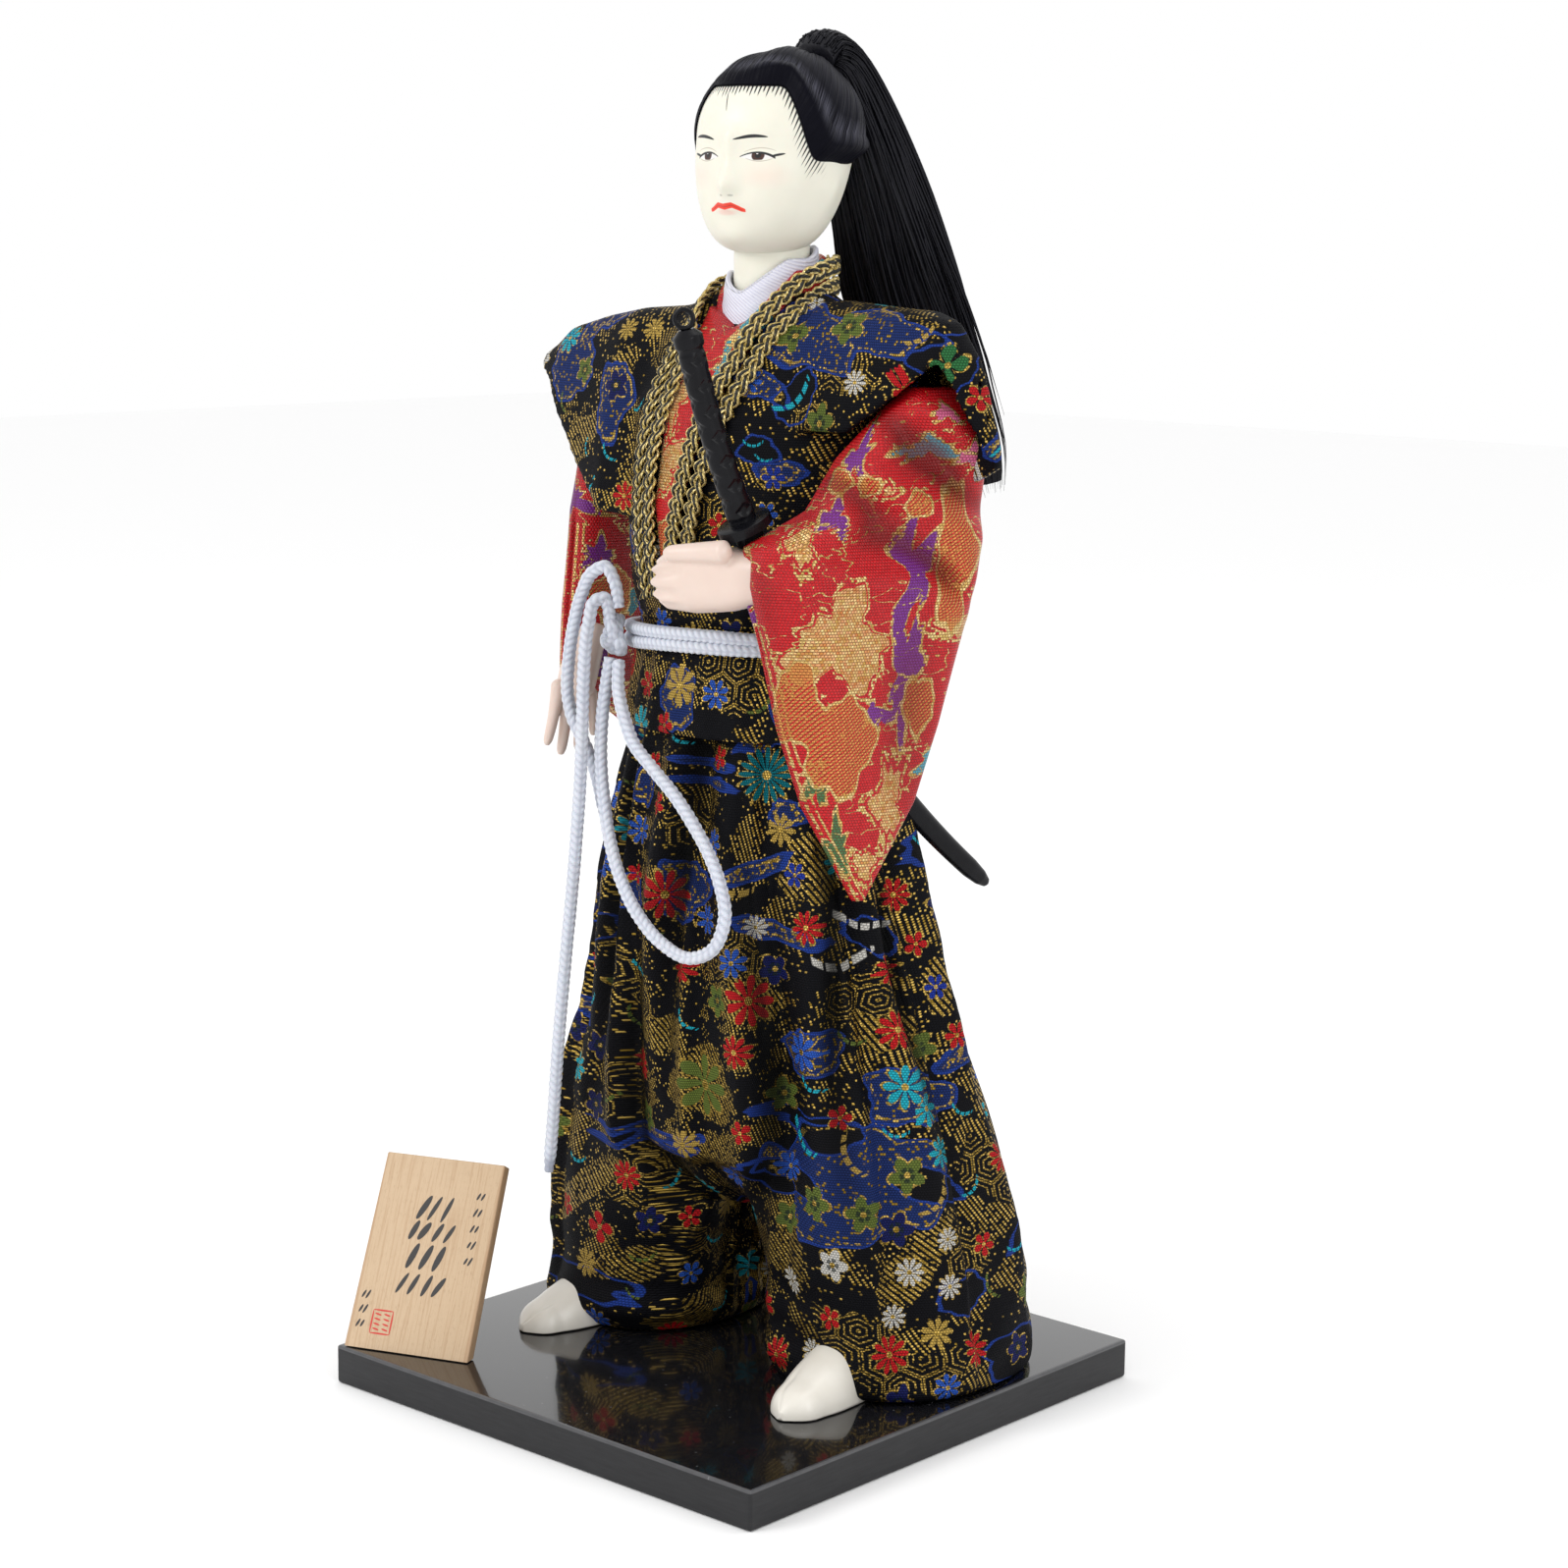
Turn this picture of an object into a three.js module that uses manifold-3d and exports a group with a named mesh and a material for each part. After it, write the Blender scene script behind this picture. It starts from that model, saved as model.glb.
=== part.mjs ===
// Samurai doll on its square board, about 31 cm tall.
// Millimetres, +Z up. The origin is the middle of the board's underside.
// The doll faces -Y, and its own left hand is on the +X side.
import * as THREE from "three";
import { mergeVertices } from "three/addons/utils/BufferGeometryUtils.js";
import Module from "manifold-3d";

const wasm = await Module();
wasm.setup();

// Driving sizes
const GAP = 0.3;                    // air between pieces that touch
const CLEAR = GAP + 0.05;           // growth of a piece that is cut out of its neighbour
const SLIVER = 0.04;                // finest detail that a cut edge keeps
const BOARD_SIDE = 130;
const BOARD_HEIGHT = 9;
const BOARD_EDGE = 0.8;             // worn bevel round the board
const FLOOR = BOARD_HEIGHT + GAP;   // lowest level of what stands on the board

const BODY = { x: 2, y: 6 };        // upright axis of the torso
const WAIST_Z = 174.5;              // middle of the cord belt
const HEAD = { x: 2, y: 8, z: 284, turn: 10 };
const CORD = 3;                     // diameter of the white cord

// Small maths helpers
const radians = (degrees) => degrees * Math.PI / 180;
const bell = (t) => Math.exp(-t * t);
const smooth = (low, high, t) => THREE.MathUtils.smoothstep(t, low, high);
const power = (value, exponent) => Math.sign(value) * Math.abs(value) ** exponent;
const vector = (x, y, z) => new THREE.Vector3(x, y, z);

// Values between the rows of a profile, each row a level and what holds there
function along(rows, level) {
  const next = Math.min(Math.max(rows.findIndex((row) => row.at >= level), 1), rows.length - 1);
  const [a, b] = [rows[next - 1], rows[next]];
  const t = THREE.MathUtils.clamp((level - a.at) / (b.at - a.at), 0, 1);
  const mixed = {};
  for (const key of Object.keys(a)) mixed[key] = a[key] + (b[key] - a[key]) * t;
  return mixed;
}

const steps = (from, to, count) => (
  Array.from({ length: count + 1 }, (_, i) => from + (to - from) * i / count)
);

// A horizontal ring of points; squareness 2 is an ellipse, more is boxier
function ring({ x, y, z, a, b, sides = 40, squareness = 2, turn = 0, swell = () => 1 }) {
  return Array.from({ length: sides }, (_, i) => {
    const angle = 2 * Math.PI * i / sides;
    const scale = swell(angle);
    const across = a * scale * power(Math.cos(angle), 2 / squareness);
    const deep = b * scale * power(Math.sin(angle), 2 / squareness);
    return vector(
      x + across * Math.cos(turn) - deep * Math.sin(turn),
      y + across * Math.sin(turn) + deep * Math.cos(turn),
      z,
    );
  });
}

// Signed volume tells whether the faces point outwards
function volume(positions, index) {
  let sum = 0;
  const [a, b, c] = [vector(0, 0, 0), vector(0, 0, 0), vector(0, 0, 0)];
  for (let i = 0; i < index.length; i += 3) {
    a.fromArray(positions, 3 * index[i]);
    b.fromArray(positions, 3 * index[i + 1]);
    c.fromArray(positions, 3 * index[i + 2]);
    sum += a.dot(b.cross(c));
  }
  return sum;
}

function bodyFrom(points, index) {
  const positions = points.flatMap((p) => [p.x, p.y, p.z]);
  if (volume(positions, index) < 0) index.reverse();
  const geometry = new THREE.BufferGeometry();
  geometry.setAttribute("position", new THREE.Float32BufferAttribute(positions, 3));
  geometry.setIndex(index);
  return geometry;
}

// Skin over a row of rings, with a fan on each end unless the row closes on itself
function loft(rings, closed = false) {
  const sides = rings[0].length;
  const points = rings.flat();
  const index = [];
  const rows = closed ? rings.length : rings.length - 1;
  for (let row = 0; row < rows; row += 1) {
    for (let i = 0; i < sides; i += 1) {
      const next = (i + 1) % sides;
      const up = (row + 1) % rings.length;
      const [a, b] = [row * sides + i, row * sides + next];
      const [c, d] = [up * sides + next, up * sides + i];
      index.push(a, b, c, a, c, d);
    }
  }
  if (!closed) {
    const first = points.length;
    points.push(middle(rings[0]), middle(rings.at(-1)));
    const last = (rings.length - 1) * sides;
    for (let i = 0; i < sides; i += 1) {
      const next = (i + 1) % sides;
      index.push(first, next, i, first + 1, last + i, last + next);
    }
  }
  return bodyFrom(points, index);
}

function middle(points) {
  const sum = points.reduce((total, p) => total.add(p), vector(0, 0, 0));
  return sum.divideScalar(points.length);
}

// Booleans
function solid(geometry) {
  const bare = geometry.clone();
  bare.deleteAttribute("normal");
  bare.deleteAttribute("uv");
  const merged = mergeVertices(bare, 1e-4);
  const mesh = new wasm.Mesh({
    numProp: 3,
    vertProperties: new Float32Array(merged.attributes.position.array),
    triVerts: new Uint32Array(merged.index.array),
  });
  return new wasm.Manifold(mesh);
}

function geometryOf(manifold) {
  const mesh = manifold.getMesh();
  const geometry = new THREE.BufferGeometry();
  geometry.setAttribute("position", new THREE.BufferAttribute(mesh.vertProperties, 3));
  geometry.setIndex(new THREE.BufferAttribute(mesh.triVerts, 1));
  return geometry;
}

const union = (...parts) => parts.reduce((whole, part) => whole.add(part)).asOriginal().simplify(SLIVER);

// Cuts the tools away and keeps the main body, without crumbs or slivers at its edges
function without(whole, ...tools) {
  const rest = tools.reduce((left, tool) => left.subtract(tool), whole);
  const main = rest.decompose().reduce((a, b) => (a.volume() > b.volume() ? a : b));
  return main.asOriginal().simplify(SLIVER);
}

// Tube along a smooth curve through hand-placed points
function tube(points, diameter, { sides = 8, pieces = 30 } = {}) {
  const curve = new THREE.CatmullRomCurve3(points, false, "centripetal");
  const outline = new THREE.Shape(Array.from({ length: sides }, (_, i) => {
    const angle = 2 * Math.PI * i / sides;
    return new THREE.Vector2(Math.cos(angle), Math.sin(angle)).multiplyScalar(diameter / 2);
  }));
  return new THREE.ExtrudeGeometry(outline, { steps: pieces, bevelEnabled: false, extrudePath: curve });
}

// Board
function board() {
  const half = BOARD_SIDE / 2 - BOARD_EDGE;
  const outline = new THREE.Shape();
  outline.moveTo(-half, -half);
  outline.lineTo(half, -half);
  outline.lineTo(half, half);
  outline.lineTo(-half, half);
  outline.closePath();
  const geometry = new THREE.ExtrudeGeometry(outline, {
    depth: BOARD_HEIGHT - 2 * BOARD_EDGE,
    bevelThickness: BOARD_EDGE,
    bevelSize: BOARD_EDGE,
    bevelSegments: 1,
  });
  geometry.translate(0, 0, BOARD_EDGE);
  return geometry;
}

// Name plaque, a thin wooden tile whose foot is cut to the slope it leans at
const PLAQUE = { x: -48.2, y: -58.9, turn: 21.4, lean: 28, width: 31.5, top: 30.3, tall: 46, thick: 3 };
const PLAQUE_CORNER = 1;

function plaque() {
  const { width, top, tall, thick } = PLAQUE;
  const lean = radians(PLAQUE.lean);
  const rise = thick * Math.tan(lean);
  const outline = new THREE.Shape();
  outline.moveTo(-width / 2, 0);
  outline.lineTo(width / 2, 0);
  outline.lineTo(top / 2, tall - PLAQUE_CORNER);
  outline.lineTo(top / 2 - PLAQUE_CORNER, tall);
  outline.lineTo(-top / 2 + PLAQUE_CORNER, tall);
  outline.lineTo(-top / 2, tall - PLAQUE_CORNER);
  outline.closePath();
  const geometry = new THREE.ExtrudeGeometry(outline, { depth: thick, bevelEnabled: false });
  geometry.rotateX(Math.PI / 2);
  // The outline now stands in XZ with its thickness from y = -thick to 0.
  const position = geometry.attributes.position;
  for (let i = 0; i < position.count; i += 1) {
    const back = position.getY(i) + thick;
    if (position.getZ(i) < 1e-6) position.setZ(i, back / thick * rise);
  }
  geometry.translate(0, thick, 0);
  geometry.rotateX(-lean);
  geometry.rotateZ(radians(PLAQUE.turn));
  geometry.translate(PLAQUE.x, PLAQUE.y, FLOOR);
  return geometry;
}

// Hakama: wide pleated trousers, one skirt above the crotch and two legs below
const PLEATS = 13;
const PLEAT_SHIFT = 0.05;
const SKIRT = [
  { at: 43, x: 0.8, y: 13, a: 5, b: 12, fold: 0 },
  { at: 46, x: 0.8, y: 13, a: 18, b: 18, fold: 0 },
  { at: 51, x: 0.8, y: 12, a: 40, b: 26, fold: 0.02 },
  { at: 57, x: 0.8, y: 11, a: 57.3, b: 32, fold: 0.04 },
  { at: 85, x: 0.8, y: 9, a: 51.8, b: 32, fold: 0.055 },
  { at: 110, x: 0.8, y: 7, a: 45.3, b: 29.8, fold: 0.06 },
  { at: 135, x: 1.4, y: 6, a: 38.6, b: 26.5, fold: 0.055 },
  { at: 152, x: 2, y: 6, a: 33.2, b: 23.6, fold: 0.03 },
  { at: 159, x: 2, y: 6, a: 31, b: 21.5, fold: 0.01 },
];
const LEGS = [
  [
    { at: 9.3, x: 36, y: 17, a: 27, b: 29 },
    { at: 12, x: 36, y: 17, a: 28.2, b: 30.5 },
    { at: 22, x: 35.5, y: 17, a: 27.5, b: 30 },
    { at: 45, x: 33.5, y: 14.5, a: 26.3, b: 29.8 },
    { at: 60, x: 32, y: 12.5, a: 25, b: 28.5 },
    { at: 72, x: 29.5, y: 10.5, a: 24, b: 27.2 },
  ],
  [
    { at: 9.3, x: -33.5, y: 12, a: 22, b: 26 },
    { at: 12, x: -33.5, y: 12, a: 23.8, b: 28.5 },
    { at: 22, x: -32.5, y: 12, a: 23.6, b: 28.3 },
    { at: 45, x: -30.5, y: 11, a: 24.8, b: 28.5 },
    { at: 60, x: -29, y: 10, a: 24.5, b: 28 },
    { at: 72, x: -26.6, y: 9, a: 23.5, b: 26.7 },
  ],
];
const LEG_PLEATS = { count: 8, fold: 0.035, shift: 0.1 };
const LEG_SQUARENESS = 2.3;

// Knife pleats: each rises slowly and drops back fast
const pleat = (angle, count, shift) => {
  const t = (angle / (2 * Math.PI) * count + shift) % 1;
  return (t < 0.75 ? t / 0.75 : (1 - t) / 0.25) * 2 - 1;
};

function hakamaSkirt() {
  return loft(SKIRT.map((row) => ring({
    x: row.x, y: row.y, z: row.at, a: row.a, b: row.b, sides: 3 * PLEATS,
    swell: (angle) => 1 + row.fold * pleat(angle, PLEATS, PLEAT_SHIFT),
  })));
}

// Room under the vest for the top of the hakama
const WAIST_ROOM = { bottom: 150, widest: 152, air: 1 };

function waistRoom() {
  const { a, b, y } = along(SKIRT, WAIST_ROOM.widest);
  const levels = [WAIST_ROOM.bottom, SKIRT.at(-1).at + GAP];
  return loft(levels.map((z) => ring({
    x: BODY.x, y, z, a: a + WAIST_ROOM.air, b: b + WAIST_ROOM.air, sides: 24,
  })));
}

function hakamaLeg(rows) {
  const { count, fold, shift } = LEG_PLEATS;
  return loft(rows.map((row) => ring({
    x: row.x, y: row.y, z: row.at, a: row.a, b: row.b, sides: 24, squareness: LEG_SQUARENESS,
    swell: (angle) => 1 + fold * pleat(angle, count, shift),
  })));
}

// Feet in smooth white split-toed socks, flat below and pointed in front
const FEET = {
  foot_left: { x: 42.5, y: -31, turn: 6, width: 15.5, long: 44, tall: 15 },
  foot_right: { x: -40.5, y: -29.5, turn: -8, width: 15, long: 40, tall: 14 },
};
const SOLE = [
  { at: 0, a: 0.1, h: 0.12 },
  { at: 0.05, a: 0.52, h: 0.28 },
  { at: 0.2, a: 0.86, h: 0.5 },
  { at: 0.45, a: 1, h: 0.8 },
  { at: 0.75, a: 0.9, h: 1 },
  { at: 1, a: 0.7, h: 1 },
];

function foot({ x, y, turn, width, long, tall }, grow = 0) {
  const rings = SOLE.map((row) => {
    const sides = 10;
    return Array.from({ length: sides }, (_, i) => {
      const angle = Math.PI * 2 * i / sides;
      const rise = Math.max(Math.sin(angle), -0.12);
      return vector(
        (row.a * width / 2 + grow) * power(Math.cos(angle), 0.8),
        row.at * long + (row.at === 0 ? -grow : grow),
        (row.h * tall + 3 * grow) * (rise + 0.12) / 1.12 - 2 * grow,
      );
    });
  });
  const geometry = loft(rings);
  geometry.rotateZ(radians(turn));
  geometry.translate(x, y, FLOOR);
  return geometry;
}

// Torso of the brocade vest, from the hem of its peplum to the neck
const TORSO = [
  { at: 154, y: 6, a: 35.5, b: 26.5 },
  { at: 168, y: 6, a: 33.5, b: 25 },
  { at: 177, y: 6, a: 31.5, b: 23.5 },
  { at: 186, y: 6, a: 34, b: 25 },
  { at: 205, y: 6, a: 35.5, b: 25 },
  { at: 225, y: 6, a: 35, b: 22.5 },
  { at: 240, y: 6.5, a: 32, b: 16.5 },
  { at: 247, y: 7.5, a: 23, b: 11.5 },
  { at: 251, y: 8, a: 15, b: 9.5 },
];
const TORSO_SIDES = 22;

// How far out the front of the vest lies at a place on it
function chest(x, z, lift = 0) {
  const row = along(TORSO, z);
  const across = THREE.MathUtils.clamp((x - BODY.x) / row.a, -0.98, 0.98);
  return row.y - row.b * Math.sqrt(1 - across * across) - lift;
}

function torso(grow = 0) {
  return loft(TORSO.map((row, index) => {
    const z = row.at;
    const end = index === 0 ? -grow : index === TORSO.length - 1 ? grow : 0;
    return ring({ x: BODY.x, y: row.y, z: z + end, a: row.a + grow, b: row.b + grow, sides: TORSO_SIDES });
  }));
}

// Stiff shoulder wings: arches of cloth over each upper arm, open below.
// Rows run outwards from the neck; front and back are the arch's two lower edges.
const WINGS = {
  left: {
    side: 1,
    rows: [
      { at: 20, ridge: 249.5, ridgeY: 7, frontY: -12, frontZ: 222, backY: 25, backZ: 205 },
      { at: 38, ridge: 248.5, ridgeY: 6, frontY: -12, frontZ: 222, backY: 22, backZ: 206 },
      { at: 49, ridge: 248, ridgeY: 4, frontY: -8, frontZ: 231, backY: 15, backZ: 209 },
      { at: 56, ridge: 246, ridgeY: 3, frontY: -4, frontZ: 238, backY: 10, backZ: 211 },
      { at: 61, ridge: 238, ridgeY: 4.5, frontY: 0, frontZ: 226, backY: 9.5, backZ: 213 },
      { at: 65.4, ridge: 220, ridgeY: 6.2, frontY: 3.6, frontZ: 216.5, backY: 8.8, backZ: 215.5 },
    ],
  },
  right: {
    side: -1,
    rows: [
      { at: 20, ridge: 247.5, ridgeY: 7, frontY: -13, frontZ: 200, backY: 25, backZ: 200 },
      { at: 34, ridge: 246.6, ridgeY: 6, frontY: -14, frontZ: 201, backY: 24, backZ: 203 },
      { at: 46, ridge: 244.6, ridgeY: 6, frontY: -9, frontZ: 211, backY: 20, backZ: 212 },
      { at: 57, ridge: 241.6, ridgeY: 5, frontY: -5, frontZ: 223, backY: 14, backZ: 223 },
      { at: 62, ridge: 237.5, ridgeY: 4, frontY: -2, frontZ: 229, backY: 11, backZ: 229 },
      { at: 66.8, ridge: 235, ridgeY: 3.5, frontY: 0.5, frontZ: 232, backY: 7.5, backZ: 232 },
    ],
  },
};
const WING_THICK = 2;
const WING_FALL = { shoulder: 0.6, steepness: 2.2 };

function arch({ ridge, ridgeY, frontY, frontZ, backY, backZ }, inset = 0) {
  return steps(-1, 1, 6).map((t) => {
    const front = t < 0;
    const [edgeY, edgeZ] = front ? [frontY + inset, frontZ] : [backY - inset, backZ];
    const reach = Math.abs(t);
    const y = ridgeY + (edgeY - ridgeY) * reach ** WING_FALL.shoulder;
    const top = ridge - inset;
    const z = top + (edgeZ - top) * reach ** WING_FALL.steepness;
    return { y, z: Math.min(z, Math.max(top, edgeZ)) };
  });
}

function wing({ side, rows }, grow = 0) {
  const last = rows.at(-1).at;
  return loft(rows.map((row) => {
    const end = row.at === last ? grow : 0;
    const grown = {
      ridge: row.ridge + grow,
      ridgeY: row.ridgeY,
      frontY: row.frontY - grow,
      frontZ: row.frontZ - grow,
      backY: row.backY + grow,
      backZ: row.backZ - grow,
    };
    const outer = arch(grown);
    const inner = arch(grown, WING_THICK + 2 * grow);
    return [...outer, ...inner.reverse()].map((p) => vector(BODY.x + side * (row.at + end), p.y, p.z));
  }));
}

// Collars: rings round the neck that dip to a V in front, a little higher on the left
const COLLAR_TILT = 0.1;
const COLLAR_SIDES = 24;
const ROOM_TOP = 270;
const COLLAR_CLEAR = 0.6;           // wider than elsewhere, as the two lofts have other facets

// What a collar does at one of its sides, from its nape to its V
function collarAt(index, { back, side, front, flare }) {
  const angle = 2 * Math.PI * index / COLLAR_SIDES;
  const toFront = (1 - Math.sin(angle)) / 2;
  const dip = bell((angle - 1.5 * Math.PI) / 0.5);
  const top = back + (side - back) * smooth(0, 0.5, toFront) + (front - side) * dip;
  return { angle, top, spread: flare * toFront };
}

const collarPoint = (angle, radius, z) => vector(
  BODY.x + radius * Math.cos(angle),
  BODY.y + 1 + radius * Math.sin(angle),
  z + COLLAR_TILT * radius * Math.cos(angle),
);

function collar(shape) {
  const { inner, outer, hem, flare } = shape;
  return loft(Array.from({ length: COLLAR_SIDES }, (_, i) => {
    const { angle, top, spread } = collarAt(i, shape);
    return [
      collarPoint(angle, inner, top),
      collarPoint(angle, outer, top - 0.5),
      collarPoint(angle, outer + flare + spread, hem),
      collarPoint(angle, inner + flare + spread, hem),
    ];
  }), true);
}

// Room for a collar and for all that stands inside it
function collarRoom({ outer, back, side, front, hem, flare }) {
  const tops = [hem - COLLAR_CLEAR, null, ROOM_TOP];
  return loft(tops.map((level) => Array.from({ length: COLLAR_SIDES }, (_, i) => {
    const { angle, top, spread } = collarAt(i, { back, side, front, flare });
    const low = level === tops[0];
    const radius = outer + COLLAR_CLEAR + (low ? flare + spread : 0);
    return collarPoint(angle, radius, level ?? top + COLLAR_CLEAR - 0.5);
  })));
}

const WHITE_COLLAR = {
  inner: 9.1, outer: 10.3, back: 260.5, side: 255.5, front: 244.5, hem: 236, flare: 1.2,
};
const RED_COLLAR = {
  inner: 10.3, outer: 12, back: 258.5, side: 253.5, front: 241, hem: 236, flare: 1.2,
};

// Strip of cloth over the chest between the two trims; its deeper top meets the collar
const CHEST_PANEL = [
  { at: 188, middle: -5.3, half: 1.2, deep: 1.2 },
  { at: 205, middle: -5.4, half: 4.1, deep: 1.2 },
  { at: 222, middle: -2.6, half: 5.6, deep: 1.4 },
  { at: 232, middle: 0, half: 6.6, deep: 2.5 },
  { at: 240, middle: 1.8, half: 7.4, deep: 6 },
];
const PANEL_LIFT = 0.2;

function chestPanel(grow = 0) {
  return loft(CHEST_PANEL.map((row, index) => {
    const end = index === 0 ? -grow : index === CHEST_PANEL.length - 1 ? grow : 0;
    const across = steps(-1, 1, 4).map((t) => row.middle + t * (row.half + grow));
    const face = across.map((x) => vector(x, chest(x, row.at, PANEL_LIFT + grow), row.at + end));
    const rear = across.map((x) => vector(x, chest(x, row.at, -row.deep - grow), row.at + end));
    return [...face, ...rear.reverse()];
  }));
}

// Gold and black plaited trim: one flat band of two plaits, sewn along the neckline
// from the waist up round the nape and down again. Its ends lie on the chest.
const TRIM_RIGHT = [[-9.5, 184], [-12.4, 196], [-12.9, 208], [-12.4, 218], [-10.4, 227], [-9, 235]];
const TRIM_NECK = [
  [-9.8, -8.2, 242], [-12.6, 1, 247.5], [-12.6, 9, 250], [-8.4, 17.5, 252.4], [2, 20.8, 254],
  [11.8, 17.5, 254.6], [16.2, 9, 253.6], [16.4, 1.4, 250.9], [13.4, -8, 243.1],
];
const TRIM_LEFT = [[11, 234], [8.6, 228], [5.9, 221], [3.3, 212], [1.1, 201], [-0.8, 184]];
const TRIM = { width: 6.2, thick: 2.2, lift: 1.6, sections: 30 };
const TRIM_OUTLINE = [[-0.5, -0.5], [-0.4, 0.4], [0, 0.5], [0.4, 0.4], [0.5, -0.5]];

function trim(grow = 0) {
  const onChest = ([x, z]) => vector(x, chest(x, z, TRIM.lift), z);
  const aroundNeck = TRIM_NECK.map((place) => vector(...place));
  const route = [...TRIM_RIGHT.map(onChest), ...aroundNeck, ...TRIM_LEFT.map(onChest)];
  const line = new THREE.CatmullRomCurve3(route, false, "centripetal");
  return loft(steps(0, 1, TRIM.sections).map((t) => {
    const point = line.getPointAt(t);
    const row = along(TORSO, point.z);
    const outward = vector((point.x - BODY.x) / row.a ** 2, (point.y - row.y) / row.b ** 2, 0).normalize();
    const across = line.getTangentAt(t).cross(outward).normalize();
    return TRIM_OUTLINE.map(([side, out]) => point.clone()
      .addScaledVector(across, side * TRIM.width + Math.sign(side) * grow)
      .addScaledVector(outward, out * TRIM.thick + Math.sign(out) * grow));
  }));
}

// Sleeves: flat hanging bags, cut level by level. Front and back are the two
// edges of the bag in plan, and wide is its thickness.
const SLEEVES = {
  left: [
    { at: 122, frontX: 43.8, frontY: -11.3, backX: 44.9, backY: -8.7, wide: 2.4 },
    { at: 143, frontX: 38.5, frontY: -22, backX: 49.9, backY: 1.8, wide: 6 },
    { at: 160, frontX: 35.8, frontY: -27, backX: 52.2, backY: 6.5, wide: 9.5 },
    { at: 178, frontX: 34.2, frontY: -30.8, backX: 54.5, backY: 10, wide: 13 },
    { at: 191, frontX: 32.8, frontY: -34, backX: 55, backY: 12.6, wide: 16 },
    { at: 199, frontX: 33, frontY: -33.6, backX: 55.8, backY: 13.6, wide: 16.5 },
    { at: 206, frontX: 38.8, frontY: -21.5, backX: 56, backY: 14, wide: 17 },
    { at: 217, frontX: 41.5, frontY: -15, backX: 56.6, backY: 14.3, wide: 17 },
    { at: 227, frontX: 46, frontY: -6, backX: 56.8, backY: 13.5, wide: 15 },
    { at: 232, frontX: 48.5, frontY: -1, backX: 54.5, backY: 9.5, wide: 9 },
  ],
  right: [
    { at: 134, frontX: -46, frontY: 24, backX: -45, backY: 38, wide: 3 },
    { at: 150, frontX: -46.5, frontY: 8, backX: -45, backY: 40, wide: 7 },
    { at: 162, frontX: -46.5, frontY: -10, backX: -45, backY: 38, wide: 11 },
    { at: 178, frontX: -46.4, frontY: -9, backX: -45, backY: 33, wide: 12.6 },
    { at: 200, frontX: -46, frontY: -7, backX: -44.6, backY: 25, wide: 13.6 },
    { at: 216, frontX: -44.5, frontY: -4, backX: -44, backY: 19, wide: 14 },
    { at: 229, frontX: -42, frontY: 1, backX: -42, backY: 14, wide: 8 },
  ],
};

function sleeve(rows) {
  return loft(rows.map((row) => {
    const deepX = row.backX - row.frontX;
    const deepY = row.backY - row.frontY;
    return ring({
      x: (row.frontX + row.backX) / 2,
      y: (row.frontY + row.backY) / 2,
      z: row.at,
      a: Math.hypot(deepX, deepY) / 2,
      b: row.wide / 2,
      sides: 16,
      squareness: 2.5,
      turn: Math.atan2(deepY, deepX),
    });
  }));
}

// Hands of soft pink resin
const FIST = { knuckles: [8.5, -33.5, 190.2], wrist: [39, -30, 193] };
const FIST_ROWS = [
  { at: 0, deep: 4.2, tall: 4.6 },
  { at: 0.08, deep: 5.6, tall: 6.4 },
  { at: 0.3, deep: 6.2, tall: 7.2 },
  { at: 0.6, deep: 5.8, tall: 6.8 },
  { at: 0.8, deep: 4.9, tall: 5.6 },
  { at: 1, deep: 4.6, tall: 5.2 },
];

function fist(grow = 0) {
  const from = vector(...FIST.knuckles);
  const to = vector(...FIST.wrist);
  const direction = to.clone().sub(from).normalize();
  const deepward = vector(0, 0, 1).cross(direction).normalize();
  const upward = direction.clone().cross(deepward);
  return loft(FIST_ROWS.map((row) => {
    const t = row.at;
    const centre = from.clone().lerp(to, t);
    if (t === 0) centre.addScaledVector(direction, -grow);
    const sides = 14;
    return Array.from({ length: sides }, (_, i) => {
      const angle = 2 * Math.PI * i / sides;
      // Four curled fingers show as ridges on the knuckle end.
      const finger = t < 0.35 ? 1 + 0.06 * Math.cos(4 * Math.PI * Math.sin(angle)) : 1;
      return centre.clone()
        .addScaledVector(deepward, (row.deep * finger + grow) * power(Math.cos(angle), 0.75))
        .addScaledVector(upward, (row.tall + grow) * power(Math.sin(angle), 0.75));
    });
  }));
}

// Straight taper between two places, round in section and closed at both ends
function limb(from, to, thick, thin, sides = 10) {
  const a = vector(...from);
  const b = vector(...to);
  const direction = b.clone().sub(a).normalize();
  const sideways = vector(0, 1, 0.01).cross(direction).normalize();
  const upward = direction.clone().cross(sideways);
  const ends = [[-0.03, 0.6], [0.06, 1], [0.92, 1], [1, 0.5]];
  return loft(ends.map(([t, fullness]) => {
    const centre = a.clone().lerp(b, t);
    const radius = THREE.MathUtils.lerp(thick, thin, THREE.MathUtils.clamp(t, 0, 1)) / 2 * fullness;
    return Array.from({ length: sides }, (_, i) => {
      const angle = 2 * Math.PI * i / sides;
      return centre.clone()
        .addScaledVector(sideways, radius * Math.cos(angle))
        .addScaledVector(upward, radius * Math.sin(angle));
    });
  }));
}

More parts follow.
